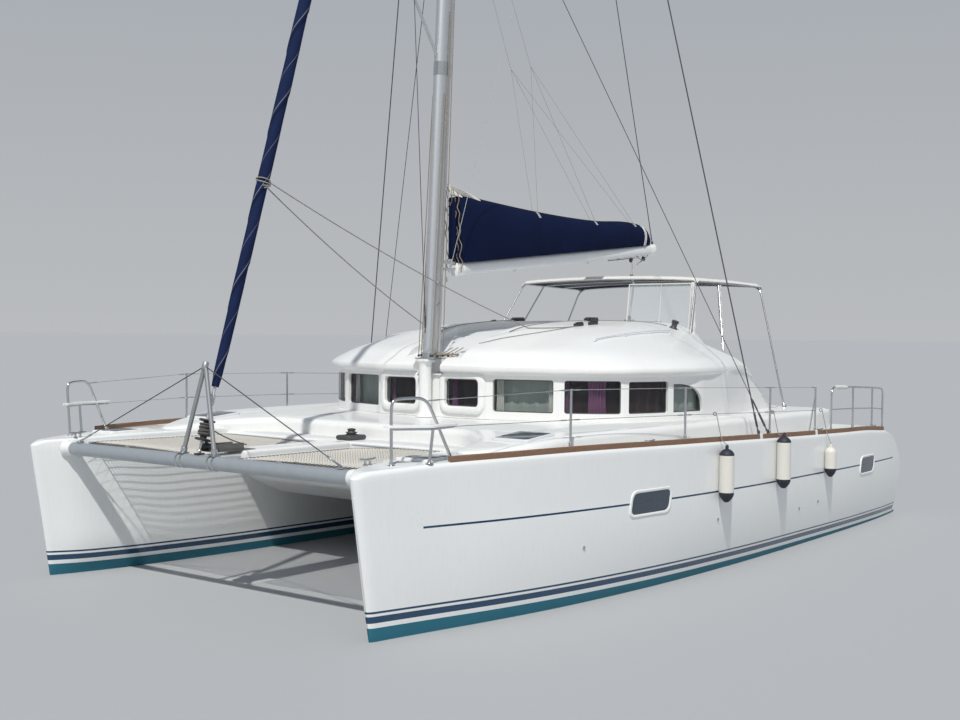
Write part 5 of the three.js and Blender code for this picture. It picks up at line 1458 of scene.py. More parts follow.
def make_bridgedeck():
    profile = np.array([
        (-4.85, 0.68), (2.50, 0.68), (3.05, 0.90), (3.45, 1.33), (3.45, 1.50), (1.96, 1.50), (1.96, 0.90),
        (-4.76, 0.90), (-4.76, 1.33), (-4.85, 1.33),
    ])
    closed = np.concatenate([profile, profile[:1]])
    outline = bent(np.concatenate([[(profile[-1] + profile[0]) / 2], closed[:-1],
                                   [(profile[-1] + profile[0]) / 2]]), 0.05, 5)[:-1]
    made = cleaned(object_from("bridgedeck_form", side_plate(outline, -1.8997, 1.8997)))
    settle(made, MOULDING, "root", "gelcoat", ("bridgedeck",))
    # A near-black strip across the bridgedeck's front: painted shade standing in for a groove
    ledge = [(3.452, 1.425), (3.456, 1.418), (3.452, 1.411), (3.440, 1.418)]
    piece("foredeck_groove_painted_shade", side_plate(ledge, -1.88, 1.88), FENDER_NAVY, "root", "gelcoat")


# Foredeck: crossbeam, striker, longeron and nets
BEAM_X, BEAM_Z, BEAM_RADIUS = 5.445, 1.41, 0.07
BEAM_TOP = BEAM_Z + BEAM_RADIUS + 0.0003
STRIKER_HEAD = (5.367, 0.0, 2.358)
STRIKER_FOOT_Y, STAY_END_Y = 0.235, 1.96
LONGERON_HALF = 0.175


def beam_end():
    """Where the beam's centre meets the bow's inner side"""
    return float(inner_side(np.array(BEAM_X)))


def make_foredeck():
    end = beam_end() + 0.012
    profile = [(BEAM_RADIUS, -end), (BEAM_RADIUS, end)]
    stand_in_for("crossbeam", turned(profile, (BEAM_X, 0, BEAM_Z), (0, 1, 0), 40), BEAM_METAL)
    sockets, clamps = [], []
    for sign in (1, -1):
        ring = [(0.0705, -0.10), (0.076, -0.097), (0.079, -0.08), (0.081, -0.03), (0.086, -0.008),
                (0.094, 0.0), (0.094, 0.02)]
        sockets.append(turned([(r, sign * (end - 0.012 + d)) for r, d in ring], (BEAM_X, 0, BEAM_Z),
                              (0, 1, 0), 40))
        for at in (0.19, 0.26):
            band_path = [(0.0702, at), (0.075, at + 0.003), (0.075, at + 0.027), (0.0702, at + 0.03)]
            clamps.append(turned([(r, sign * d) for r, d in band_path], (BEAM_X, 0, BEAM_Z), (0, 1, 0), 32))
        clamps.append(turned([(0.0, 0.016), (0.02, 0.015), (0.022, 0.0), (0, 0)],
                             (BEAM_X, sign * 1.15, BEAM_TOP - 0.001)))
    piece("beam_sockets", joined(*sockets), GELCOAT, "root", "gelcoat")
    piece("beam_clamps", joined(*clamps), STAINLESS, "root", "stainless")
    head = np.array(STRIKER_HEAD)
    parts = [turned([(0.0, -0.045), (0.024, -0.044), (0.030, -0.036), (0.031, 0.020), (0.026, 0.036),
                     (0, 0.038)],
                    head, (0.29, 0, -1), 24)]
    wires, feet = [], []
    for sign in (1, -1):
        foot = np.array((BEAM_X - 0.004, sign * STRIKER_FOOT_Y, BEAM_TOP + 0.012))
        parts.append(tube(even([foot, head - (0, -sign * 0.012, 0.02)], 8), 0.023, 20))
        feet.append(slab((BEAM_X - 0.045, sign * STRIKER_FOOT_Y - 0.045, BEAM_TOP),
                         (BEAM_X + 0.045, sign * STRIKER_FOOT_Y + 0.045, BEAM_TOP + 0.014), 0.006))
        feet.append(turned([(0.026, -0.01), (0.033, 0.0), (0.033, 0.05), (0.027, 0.056), (0.022, 0.056)],
                           foot, head - foot, 20))
        outboard = np.array((BEAM_X, sign * STAY_END_Y, BEAM_TOP + 0.018))
        wires.append(rod(outboard, head, 0.0055, 10))
        feet.append(slab((BEAM_X - 0.03, sign * STAY_END_Y - 0.035, BEAM_TOP),
                         (BEAM_X + 0.03, sign * STAY_END_Y + 0.035, BEAM_TOP + 0.018), 0.006))
        line = unit(head - outboard)
        feet.append(turned([(0.0, 0.0), (0.012, 0.004), (0.012, 0.05), (0.009, 0.055), (0.009, 0.15),
                            (0.012, 0.155), (0.012, 0.2), (0.006, 0.215), (0.006, 0.26)], outboard, line,
                           14))
    stand_in_for("striker", joined(*parts), STRIKER_METAL)
    piece("striker_stays", joined(*wires), WIRE_METAL, "root", "stainless")
    piece("striker_feet", joined(*feet), STAINLESS, "root", "stainless")
    body = slab((3.4503, -LONGERON_HALF, 1.395), (4.98, LONGERON_HALF, 1.50), 0.028, 5)
    nose = slab((4.93, -0.105, 1.440), (BEAM_X - 0.0706, 0.105, 1.470), 0.008)
    stand_in_for("longeron", joined(body, nose), MOULDING)
    plate = slab((4.80, -0.12, 1.5005), (5.33, 0.12, 1.507), 0.002)
    cheeks = [slab((4.93, sign * 0.085 - 0.004, 1.505), (5.36, sign * 0.085 + 0.004, 1.575), 0.003)
              for sign in (1, -1)]
    axle = np.array((5.30, 0, 1.555))
    roller = turned([(0.0, -0.075), (0.03, -0.075), (0.046, -0.065), (0.028, -0.01), (0.028, 0.01),
                     (0.046, 0.065), (0.03, 0.075), (0.0, 0.075)], axle, (0, 1, 0), 24)
    cheeks.append(rod(axle - (0, 0.1, 0), axle + (0, 0.1, 0), 0.009))
    piece("anchor_roller_cheeks", joined(plate, *cheeks), GALVANISED, "root", "stainless")
    piece("anchor_roller", roller, BLACK_PLASTIC, "root", "black_plastic")
    base = slab((3.12, -0.11, 1.5003), (3.41, 0.11, 1.555), 0.025, 4)
    drum = turned([(0.0, 0.128), (0.02, 0.128), (0.028, 0.124), (0.046, 0.122), (0.050, 0.118),
                   (0.046, 0.110),
                   (0.038, 0.098), (0.042, 0.090), (0.064, 0.086), (0.068, 0.080), (0.052, 0.074),
                   (0.052, 0.066),
                   (0.066, 0.060), (0.062, 0.055), (0.055, 0.040)], (3.26, 0, 1.5), (0, 0, 1), 32)
    stand_in_for("windlass", joined(base, drum), WIRE_METAL)


NET_AFT, NET_FRONT, NET_LEVEL = 3.4503, 5.25, 1.468
NET_HEM = 0.055
NET_INNER_DROP = 0.045        # the net is laced this much lower along the longeron


def net_place(u, v, sag=0.085):
    """Net surface: u runs forward, v outboard between longeron and hull; it sags as two sines"""
    x = NET_AFT + NET_HEM + (NET_FRONT - NET_AFT - 2 * NET_HEM) * u
    inner = LONGERON_HALF + NET_HEM
    outer = inner_side(x) - NET_HEM - 0.01
    y = inner + (outer - inner) * v
    dip = sag * np.sin(PI * np.clip(u, 0, 1)) * np.sin(PI * np.clip(v, 0, 1))
    z = NET_LEVEL - dip - NET_INNER_DROP * (1 - v) ** 3
    return np.stack([x + 0 * v, y + 0 * u, z], -1)


def make_nets():
    spacing, radius = 0.037, 0.0038
    us = np.linspace(0, 1, int(1.69 / spacing))
    vs = np.linspace(0, 1, int(1.72 / spacing))
    diamond = np.array([(1, 0), (0, 1), (-1, 0), (0, -1)]) * radius
    shapes = []
    steps = np.linspace(0, 1, 24)
    lift = 0.0012
    for v in vs:
        line = net_place(steps, np.full_like(steps, v))
        ring = line[:, None] + np.stack([0 * diamond[:, 0], diamond[:, 0], diamond[:, 1] + lift], -1)[None]
        shapes.append(grid(ring, True, False, True))
    for u in us:
        line = net_place(np.full_like(steps, u), steps)
        ring = line[:, None] + np.stack([diamond[:, 0], 0 * diamond[:, 0], diamond[:, 1] - lift], -1)[None]
        shapes.append(grid(ring[:, ::-1], True, False, True))
    u, v = np.meshgrid(us, vs)
    centres = net_place(u.ravel(), v.ravel())
    knot = np.array([(1, 0, 0), (0, 1, 0), (-1, 0, 0), (0, -1, 0), (0, 0, 1),
                     (0, 0, -1)]) * (0.0078, 0.0078, 0.0062)
    turn = np.array([[0.8, -0.6, 0], [0.6, 0.8, 0], [0, 0, 1]])
    points = (centres[:, None] + (knot @ turn.T)[None]).reshape(-1, 3)
    faces = np.array([(0, 1, 4), (1, 2, 4), (2, 3, 4), (3, 0, 4), (1, 0, 5), (2, 1, 5), (3, 2, 5),
                      (0, 3, 5)])
    faces = (faces[None] + 6 * np.arange(len(centres))[:, None, None]).reshape(-1, 3)
    knots = (points, [(faces, np.zeros((len(faces), 3, 2)))])
    border = np.concatenate([
        net_place(steps, 0 * steps), net_place(1 + 0 * steps, steps)[1:],
        net_place(steps[::-1], 1 + 0 * steps)[1:], net_place(0 * steps, steps[::-1])[1:-1],
    ])
    edge = tube(border, 0.007, 8, True)
    lace = zigzag(border)
    strip = []
    for path in (
        [(NET_AFT + 0.004, y, 1.466) for y in np.linspace(0.19, 1.88, 12)],
        [(x, LONGERON_HALF + 0.004, 1.463 - NET_INNER_DROP) for x in np.linspace(NET_AFT + 0.01, 4.96, 12)],
        [(x, float(inner_side(x)) - 0.004, 1.463) for x in np.linspace(NET_AFT + 0.01, 5.24, 20)],
    ):
        strip.append(swept(path, rounded(0.010, 0.018, 0.004)))
    for side, sign in SIDES:
        stand_in_for(f"trampoline_{side}", on_side(joined(*shapes, knots, edge), sign), NET_CORD)
        piece(f"net_lacing_{side}", on_side(lace, sign), LACING, "root", "net_cord")
        piece(f"net_tracks_{side}", on_side(joined(*strip), sign), PAINTED_SPAR, "root", "gelcoat")


def zigzag(border):
    """Cord laced between the net's edge and the track outside it: out and in at even steps"""
    closed = np.concatenate([border, border[:1]])
    path = even(closed, 261)[:-1]
    along = unit(np.roll(path, -1, 0) - np.roll(path, 1, 0))
    away = np.cross(along, (0, 0, 1.0))
    middle = path.mean(0)
    away *= np.sign(np.sum(away * (path - middle), axis=1, keepdims=True))
    out = np.where(np.arange(len(path)) % 2 == 0, -0.012, NET_HEM - 0.008)[:, None]
    points = path + away * out + (0, 0, 0.006)
    points[:, 1] = np.maximum(points[:, 1], LONGERON_HALF + 0.006)
    front = points[:, 0] > NET_FRONT - 0.08
    points[front, 0] = np.where(np.arange(len(path))[front] % 2 == 1, BEAM_X - BEAM_RADIUS - 0.004,
                                points[front, 0])
    points[front, 2] = np.where(np.arange(len(path))[front] % 2 == 1, BEAM_Z + 0.03, points[front, 2])
    return tube(points, 0.0032, 5, True)


# Rails
LIFELINE, LOWER_LINE = 0.62, 0.31
STANCHIONS = (3.21, 1.27, -0.74)
GATE = -2.15
PUSHPIT = (-2.70, -3.50, -4.33, -4.84)
TUBE, POST = 0.014, 0.013


def rail_foot(x, lift=0.0003):
    return np.array((x, float(outer_side(x)) - 0.075, float(deck_height(x)) + lift))


def post(foot, height, radius=POST):
    """A stanchion: a straight tube with a domed cap, in a socket on a round base"""
    foot = np.asarray(foot, float)
    top = foot + (0, 0.004, height)
    line = top - foot
    long = float(np.linalg.norm(line))
    shaft = turned([(radius, 0.0), (radius, long - 0.008), (radius * 0.8, long - 0.002), (0.0, long)], foot,
                   line, 16)
    socket = turned([(0.036, 0.0), (0.036, 0.005), (0.031, 0.008), (0.021, 0.011), (0.0185, 0.02),
                     (0.0185, 0.085), (0.0165, 0.089), (radius, 0.089)], foot, line, 20)
    return joined(shaft, socket)


def foot_plate(foot, radius=TUBE):
    return turned([(0.038, 0.0), (0.038, 0.005), (0.030, 0.008), (radius + 0.005, 0.012),
                   (radius + 0.004, 0.03), (radius, 0.032)],
                  foot, (0, 0, 1), 20)


def wire(start, end, radius=0.0034, grip=0.16):
    """A lifeline wire with a screw fitting at each end"""
    start, end = np.asarray(start, float), np.asarray(end, float)
    line = unit(end - start)
    end_profile = [(0.0, 0.0), (0.006, 0.002), (0.007, 0.03), (0.0045, 0.034), (0.0045, 0.05),
                   (0.0075, 0.055), (0.0075, grip * 0.8), (0.0045, grip * 0.85), (0.004, grip),
                   (radius, grip + 0.01)]
    return joined(rod(start, end, radius, 8), turned(end_profile, start, line, 10),
                  turned(end_profile, end, -line, 10))


def deck_at(x):
    return float(deck_height(x)) + 0.0003


def make_rails():
    for side, sign in SIDES:
        front_foot, aft_foot = (5.27, 2.40, deck_at(5.27)), (4.65, 2.59, deck_at(4.65))
        leg_head, leg_foot = (4.985, 2.64, 1.85), (4.985, 2.60, deck_at(4.985))
        hoop = bent([front_foot, (5.30, 2.42, 2.09), (5.225, 2.432, 2.122), (4.95, 2.53, 2.125), aft_foot],
                    0.11, 8)
        middle = bent([(5.30, 2.415, 1.85), leg_head, (4.64, 2.59, 1.85)], 0.05, 5)
        leg = even([leg_head, leg_foot], 4)
        shapes = [tube(hoop, TUBE, 16), tube(middle, 0.0105, 12), tube(leg, TUBE, 14)]
        shapes += [foot_plate(p) for p in (front_foot, aft_foot, leg_foot)]
        stand_in_for(f"pulpit_{side}", on_side(joined(*shapes), sign), STAINLESS)
        planks = []
        for near, far in ((0.0, 0.30), (0.36, 0.64), (0.70, 1.0)):
            plan = np.array([(5.335, 2.36), (5.348, 2.43), (4.98, 2.655), (4.625, 2.635), (4.615, 2.575),
                             (4.96, 2.505)])
            inner, outer = even(plan[[0, 5, 4]], 14), even(plan[[1, 2, 3]], 14)
            a, b = inner + (outer - inner) * near, inner + (outer - inner) * far
            outline = eased(np.concatenate([a, b[::-1]]), 1, True)
            planks.append(crowned_plate(outline, level_at(1.887), 0.007, 1.864))
        piece(f"pulpit_seat_{side}", on_side(joined(*planks), sign), GELCOAT, "root", "gelcoat")
        feet = [rail_foot(x) for x in STANCHIONS]
        gate = rail_foot(GATE)
        shapes = [post(foot, LIFELINE) for foot in feet] + [post(gate, LIFELINE)]
        for height in (LIFELINE - 0.012, LOWER_LINE):
            start = (4.93, 2.536, 2.098) if height > LOWER_LINE else (4.755, 2.569, aft_foot[2] + height)
            stops = [np.array(start)]
            stops += [foot + (0, 0.004, height) for foot in feet + [gate]]
            shapes += [wire(a, b) for a, b in zip(stops, stops[1:])]
        brace = gate + (0, 0.004, LIFELINE - 0.1)
        shapes.append(tube(bent([brace, gate + (0.16, -0.01, 0.02), gate + (0.2, -0.01, 0.0)], 0.04), 0.009,
                           10))
        stand_in_for(f"guardrail_{side}", on_side(joined(*shapes), sign), STAINLESS)
        posts = [rail_foot(x) for x in PUSHPIT]
        top, low = LIFELINE - 0.012, LOWER_LINE
        tops = [p + (0, 0.004, top) for p in posts]
        hoop = bent([posts[0], tops[0] + (0, 0, 0.004), tops[1], tops[2], tops[3] + (0, 0, 0.004),
                     posts[3]], 0.13, 8)
        shapes = [tube(hoop, POST, 16), post(posts[1], top - 0.006), post(posts[2], top - 0.006)]
        shapes.append(tube([p + (0, 0.004, low) for p in posts], 0.009, 10))
        shapes += [foot_plate(posts[0]), foot_plate(posts[3])]
        stand_in_for(f"pushpit_{side}", on_side(joined(*shapes), sign), STAINLESS)
        line = np.linspace(tops[0] + (-0.12, 0, 0), tops[0] + (-0.52, -0.004, -0.012), 8)
        pad = tube(line, [0.022, 0.027, 0.028, 0.028, 0.028, 0.028, 0.027, 0.022], 14)
        piece(f"rail_pads_{side}", on_side(pad, sign), WHITE_CANVAS, "root", "white_canvas")


def make_toe_rails():
    steps = np.linspace(4.76, -4.78, 90)
    path = np.stack([steps, outer_side(steps) - 0.046, deck_height(steps) - 0.030], -1)
    section = rounded(0.042, 0.082, 0.009, 4)
    section[:, 0] *= 1 - 0.25 * section[:, 1] / 0.082
    joints = []
    for x in (-0.42, -2.10):
        near = np.linspace(x + 0.035, x - 0.035, 4)
        line = np.stack([near, outer_side(near) - 0.046, deck_height(near) - 0.031], -1)
        joints.append(swept(line, section * (1.06, 1.03)))
    for x in (3.95, 2.1, 0.35, -1.45, -3.2):
        near = np.linspace(x + 0.10, x - 0.10, 4)
        line = np.stack([near, outer_side(near) - 0.046, deck_height(near) + 0.052], -1)
        joints.append(swept(line, rounded(0.024, 0.004, 0.002)))
    for side, sign in SIDES:
        stand_in_for(f"toe_rail_{side}", on_side(swept(path, section), sign), TEAK)
        piece(f"toe_rail_joints_{side}", on_side(joined(*joints), sign), GELCOAT, "root", "gelcoat")


def cleat(place, along, size=0.13):
    """A horn cleat: two legs, and horns that thin and rise towards their ends"""
    place, along = np.asarray(place, float), unit(np.asarray(along, float))
    t = np.linspace(-1, 1, 17)
    horns = place + along * (t * size)[:, None] + np.array([0, 0, 1.0]) * (0.048 + 0.012 * t ** 2)[:, None]
    shapes = [tube(horns, 0.011 * np.sqrt(np.clip(1.02 - t ** 6, 0.05, 1)), 12)]
    for sign in (1, -1):
        foot = place + along * sign * size * 0.28
        shapes.append(turned([(0.024, 0.0), (0.024, 0.004), (0.012, 0.012), (0.010, 0.03), (0.013, 0.05)],
                             foot, (0, 0, 1), 14))
    return joined(*shapes)


def winch(place, size=1.0, axis=(0, 0, 1)):
    """A winch drum turned about its axis: base, ribbed drum, jaws and the handle's socket"""
    profile = [(0.078, 0.0), (0.078, 0.018), (0.066, 0.026), (0.052, 0.045), (0.050, 0.085),
               (0.054, 0.105), (0.068, 0.115), (0.070, 0.122), (0.058, 0.128), (0.058, 0.136),
               (0.070, 0.142), (0.068, 0.152), (0.050, 0.160), (0.018, 0.162), (0.016, 0.150),
               (0.0, 0.150)]
    return turned([(r * size, h * size) for r, h in profile], place, axis, 36)


def hand_rail(points, height=0.055, radius=0.011):
    """A grab rail: a bar over feet at even places, bent down at both ends"""
    points = np.asarray(points, float)
    top = points + (0, 0, height)
    bar = np.concatenate([points[:1], top, points[-1:]])
    shapes = [tube(bent(bar, 0.05, 6), radius, 12)]
    for at in points[1:-1]:
        shapes.append(rod(at, at + (0, 0, height), radius * 0.9, 10))
    for at in points:
        shapes.append(turned([(0.026, 0.0), (0.026, 0.004), (radius + 0.003, 0.008), (radius, 0.014)], at,
                             (0, 0, 1), 14))
    return joined(*shapes)


FENDERS = [(0.64, 1.43, 0.600, 0.085, True), (-0.81, 1.49, 0.630, 0.085, True),
           (-2.34, 1.26, 0.390, 0.075, False)]


def make_fenders():
    """White bodies with shallow ribs. Each end is drawn in to an eye and dipped in navy, but for the
    short one's top"""
    for number, (x, top, length, radius, dipped) in enumerate(FENDERS, 1):
        y = float(side_at(np.array([x]), np.array([top - 0.07]))[0]) + radius
        low = -length
        share = np.linspace(0, 1, 12)
        lower = [(radius * (0.22 + 0.775 * math.sin(PI / 2 * s) ** 0.8), low + 0.11 * s) for s in share]
        upper = [(radius * (0.26 + 0.735 * math.sin(PI / 2 * s) ** 0.7), -0.07 * s) for s in share[::-1]]
        rib_heights = np.linspace(low + 0.13, -0.09, 22)
        ribs = [(radius * (0.998 - 0.010 * (k % 2)), z) for k, z in enumerate(rib_heights)]
        eye = [(0.018, 0.0), (0.018, 0.035), (0.013, 0.045), (0.0, 0.045)]
        profile = [(0.0, low + 0.001)] + lower + ribs + upper + eye
        stand_in_for(f"fender_{number}", turned(profile, (x, y, top), (0, 0, 1), 32), FENDER_WHITE)
        caps = [turned([(0.0, low - 0.0009)] + [(r + 0.0012, z - 0.0006) for r, z in lower]
                       + [(radius * 0.985, low + 0.113)],
                       (x, y, top), (0, 0, 1), 32)]
        if dipped:
            shell = [(radius * 0.985, -0.073)] + [(r + 0.0012, z + 0.0006) for r, z in upper]
            caps.append(turned(shell + [(0.0195, 0.001), (0.0195, 0.036), (0.013, 0.0468), (0.0, 0.0468)],
                               (x, y, top), (0, 0, 1), 32))
        piece(f"fender_caps_{number}", joined(*caps), FENDER_NAVY, "root", "fender_vinyl")
        edge, deck = float(outer_side(x)), float(deck_height(x))
        path = bent([(x, y, top + 0.045), (x, edge + 0.014, deck + 0.02), (x, edge - 0.051, deck + 0.30)],
                    0.05, 6)
        loop = [(x + 0.004, edge - 0.071 + 0.02 * math.cos(a), deck + 0.31 + 0.018 * math.sin(a))
                for a in whole_turn(14)]
        ring = [(x + 0.012 * math.cos(a), y, top + 0.040 + 0.012 * math.sin(a)) for a in whole_turn(12)]
        ropes = [tube(path, 0.005, 8), tube(loop, 0.006, 8, True), tube(ring, 0.006, 6, True)]
        piece(f"fender_lanyard_{number}", joined(*ropes), GREY_ROPE, "root", "rope")


def make_lids():
    for side, sign in SIDES:
        x, y, long, wide, _ = LOCKER
        z = float(deck_height(x))
        lid = slab((x - long, y - wide, z - 0.012), (x + long, y + wide, z + 0.024), 0.012, 4)
        lid[0][:, 2] += deck_height(lid[0][:, 0]) - z
        lid[0][:, 2] = np.maximum(lid[0][:, 2], deck_height(lid[0][:, 0]) + 0.0004)
        stand_in_for(f"bow_locker_lid_{side}", on_side(lid, sign), MOULDING)
        pane = slab((x - long + 0.045, y - wide + 0.045, z + 0.018),
                    (x + long - 0.075, y + wide - 0.045, z + 0.0275), 0.003, 3)
        pane[0][:, 2] += deck_height(pane[0][:, 0]) - z
        piece(f"locker_pane_{side}", on_side(pane, sign), SMOKED, BODY_OF[f"bow_locker_lid_{side}"],
              "hatch_acrylic")
        latch = [slab((x + long - 0.055, y - 0.03, z + 0.022), (x + long - 0.015, y + 0.03, z + 0.029),
                      0.003)]
        piece(f"locker_latch_{side}", on_side(joined(*latch), sign), STAINLESS,
              BODY_OF[f"bow_locker_lid_{side}"], "stainless")
        hinges = []
        for at in (-0.12, 0.12):
            hinges.append(rod((x - long - 0.004, y + at - 0.03, z + 0.012),
                              (x - long - 0.004, y + at + 0.03, z + 0.012), 0.006, 12))
            hinges.append(slab((x - long - 0.035, y + at - 0.025, z + 0.001),
                               (x - long - 0.004, y + at + 0.025, z + 0.005), 0.0015))
        piece(f"locker_hinges_{side}", on_side(joined(*hinges), sign), STAINLESS, "root", "stainless")
        x, y, long, wide, _ = HATCH
        pane = slab((x - long + 0.028, y - wide + 0.028, 0.008),
                    (x + long - 0.028, y + wide - 0.028, 0.029), 0.004)
        ring = []
        steps = np.linspace(0, PI / 2, 6)
        for k, (cx, cy) in enumerate(((1, 1), (-1, 1), (-1, -1), (1, -1))):
            turn = steps + k * PI / 2
            ring.append(np.stack([x + cx * (long - 0.05) + 0.05 * np.cos(turn),
                                  y + cy * (wide - 0.05) + 0.05 * np.sin(turn)], -1))
        ring = np.concatenate(ring)
        middle = np.array((x, y))
        rows = []
        for share, h in ((1.0, 0.0012), (1.0, 0.018), (0.985, 0.027), (0.91, 0.030), (0.885, 0.026),
                         (0.885, 0.0012)):
            flat = middle + (ring - middle) * share
            rows.append(np.column_stack([flat, np.full(len(flat), h)]))
        rim = grid(rows, True, True)
        for shape in (pane, rim):
            shape[0][:, 2] += through(TRUNK_LINE, shape[0][:, 0])
        body = BODY_OF[f"cabin_hatch_{side}"]
        stand_in_for(f"cabin_hatch_{side}", on_side(pane, sign), SMOKED)
        piece(f"hatch_rim_{side}", on_side(rim, sign), PAINTED_SPAR, body, "spar_aluminium")


# Rig
MAST_FOOT, MAST_RAKE, MAST_TOP = (1.88, 0.0, 2.405), 0.0485, 16.95
STAY_RAKE = 0.2946
HOUNDS = 15.70
SPREADER_TIP, JUMPER_TIP = (0.44, 1.60, 9.76), (2.244, 0, 6.658)
GOOSENECK_Z = 3.53
BOOM_RISE = 0.108
ON_RAISED_DECK = 1.7003


def mast_x(z):
    return MAST_FOOT[0] - MAST_RAKE * (z - MAST_FOOT[2])


def stay_x(z):
    return 5.238 - STAY_RAKE * (z - 2.145)


def on_stay(z):
    return stay_x(z), 0, z


GOOSENECK_X = mast_x(GOOSENECK_Z) - 0.33


def boom_z(x):
    return GOOSENECK_Z - 0.04 + BOOM_RISE * (GOOSENECK_X - x)


BAND_THICK = 0.005


def make_mast():
    """The section is an ellipse with a shallow groove down its aft side; it tapers near its head"""
    angle = whole_turn(48)
    aft = np.clip(-np.cos(angle) - 0.93, 0, None) / 0.07
    radial = 1 - 0.10 * aft
    z = np.concatenate([[2.405, 2.41], np.linspace(2.6, 14.45, 40), np.linspace(14.8, 16.95, 12)])
    size = np.clip(1 - 0.25 * (z - 14.45) / 2.5, 0.75, 1)
    x = mast_x(z)[:, None] + size[:, None] * 0.13 * radial * np.cos(angle)
    y = size[:, None] * 0.085 * radial * np.sin(angle)
    spar = grid(np.stack([x, y, np.broadcast_to(z[:, None], x.shape)], -1), True, False, True)
    t = np.linspace(0, 1, 12)[:, None]
    shapes = [spar]
    for sign in (1, -1):
        root = np.array((mast_x(9.7), sign * 0.06, 9.70))
        tip = np.array(SPREADER_TIP) * (1, sign, 1)
        wing = 2 * PI * np.arange(20) / 20
        chord = (0.062 - 0.028 * t)
        ring_x = chord * np.cos(wing)[None]
        ring_z = chord * 0.32 * np.sin(wing)[None]
        line = root + (tip - root) * t
        shapes.append(grid(line[:, None] + np.stack([ring_x, 0 * ring_x, ring_z], -1), True, False, True))
    shapes.append(tube(even([(mast_x(5.9), 0, 5.9), (2.23, 0, 6.64)], 6), 0.019, 16))
    crane = mast_x(MAST_TOP)
    shapes.append(slab((crane - 0.45, -0.028, MAST_TOP - 0.088), (crane + 0.08, 0.028, MAST_TOP - 0.022),
                       0.01))
    for low in (-0.060, 0.026):
        shapes.append(slab((GOOSENECK_X - 0.022, -0.03, GOOSENECK_Z + low),
                           (mast_x(GOOSENECK_Z) - 0.06, 0.03, GOOSENECK_Z + low + 0.034), 0.006))
    stand_in_for("mast", joined(*shapes), MAST_METAL)
    fittings = []
    for z, high in ((2.41, 0.06), (6.96, 0.05), (5.83, 0.16), (9.64, 0.12), (15.62, 0.14)):
        rings = [
            np.stack([mast_x(z + h) + (0.13 + g) * np.cos(angle), (0.085 + g) * np.sin(angle),
                      np.full(48, z + h)], -1)
            for h, g in ((0, 0.0), (0, BAND_THICK), (high, BAND_THICK), (high, 0.0))
        ]
        fittings.append(grid(rings, True))
    for z in (3.05, 3.30):
        fittings.append(turned([(0.0, 0.0), (0.03, 0.002), (0.034, 0.012), (0.0, 0.02)],
                               (mast_x(z), 0.083, z), (0, 1, 0), 16))
    piece("mast_bands", joined(*fittings), STAINLESS, "root", "stainless")
    blocks, ropes = [], []
    sheave = [(0.0, -0.009), (0.014, -0.009), (0.016, -0.006), (0.012, 0.0), (0.016, 0.006),
              (0.014, 0.009), (0, 0.009)]
    for sign in (1, -1):
        for k in range(4):
            place = np.array((mast_x(2.46) + 0.11 - 0.075 * k, sign * (0.105 + 0.022 * k), 2.435))
            blocks.append(turned(sheave, place, (0.3 * sign, 1, 0.3), 14))
            top = np.array((mast_x(5.6 + k) + 0.05 - 0.05 * k, sign * 0.096, 5.6 + k))
            if k < 3:
                ropes.append(tube(even([place + (0, 0, 0.01), top], 12), 0.0055, 6))
                lead = [place, place + (-0.12, sign * 0.05, 0.02), place + (-0.26, sign * 0.11, 0.10)]
                ropes.append(tube(eased(np.array(lead), 2), 0.0055, 6))
    for k, (x, y, size) in enumerate(((1.79, 0.20, 0.05), (1.75, 0.27, 0.042), (1.76, -0.20, 0.045))):
        ropes.append(coil((x, y, 2.445), size, 4, 0.007))
    piece("mast_foot_blocks", joined(*blocks), BLACK_PLASTIC, "root", "black_plastic")
    piece("mast_ropes", joined(*ropes), TAN_ROPE, "root", "rope")
    post_profile = [(0.115, 0.0), (0.112, 0.012), (0.088, 0.03), (0.078, 0.06), (0.075, 0.10),
                    (0.075, 0.60), (0.080, 0.64), (0.092, 0.6594)]
    foot = turned([(r, ON_RAISED_DECK + h) for r, h in post_profile], (1.985, 0, 0), (0, 0, 1), 36)
    cap = slab((1.90, -0.095, MAST_FOOT[2] - 0.045), (2.07, 0.095, MAST_FOOT[2] - 0.012), 0.012)
    step = slab((1.75, -0.125, MAST_FOOT[2] - 0.011), (2.04, 0.125, MAST_FOOT[2] + 0.004), 0.006)
    stand_in_for("mast_post", joined(foot, cap), GELCOAT)
    piece("mast_step", step, STAINLESS, "root", "stainless")


def turnbuckle(start, end, size=1.0):
    """Fork, screw and barrel at a wire's lower end"""
    start, end = np.asarray(start, float), np.asarray(end, float)
    profile = [(0.0, 0.0), (0.013, 0.004), (0.013, 0.05), (0.008, 0.056), (0.008, 0.085), (0.0135, 0.092),
               (0.0135, 0.26), (0.008, 0.27), (0.008, 0.31), (0.010, 0.315), (0.010, 0.43), (0.006, 0.45)]
    return turned([(r * size, h * size) for r, h in profile], start, end - start, 16)


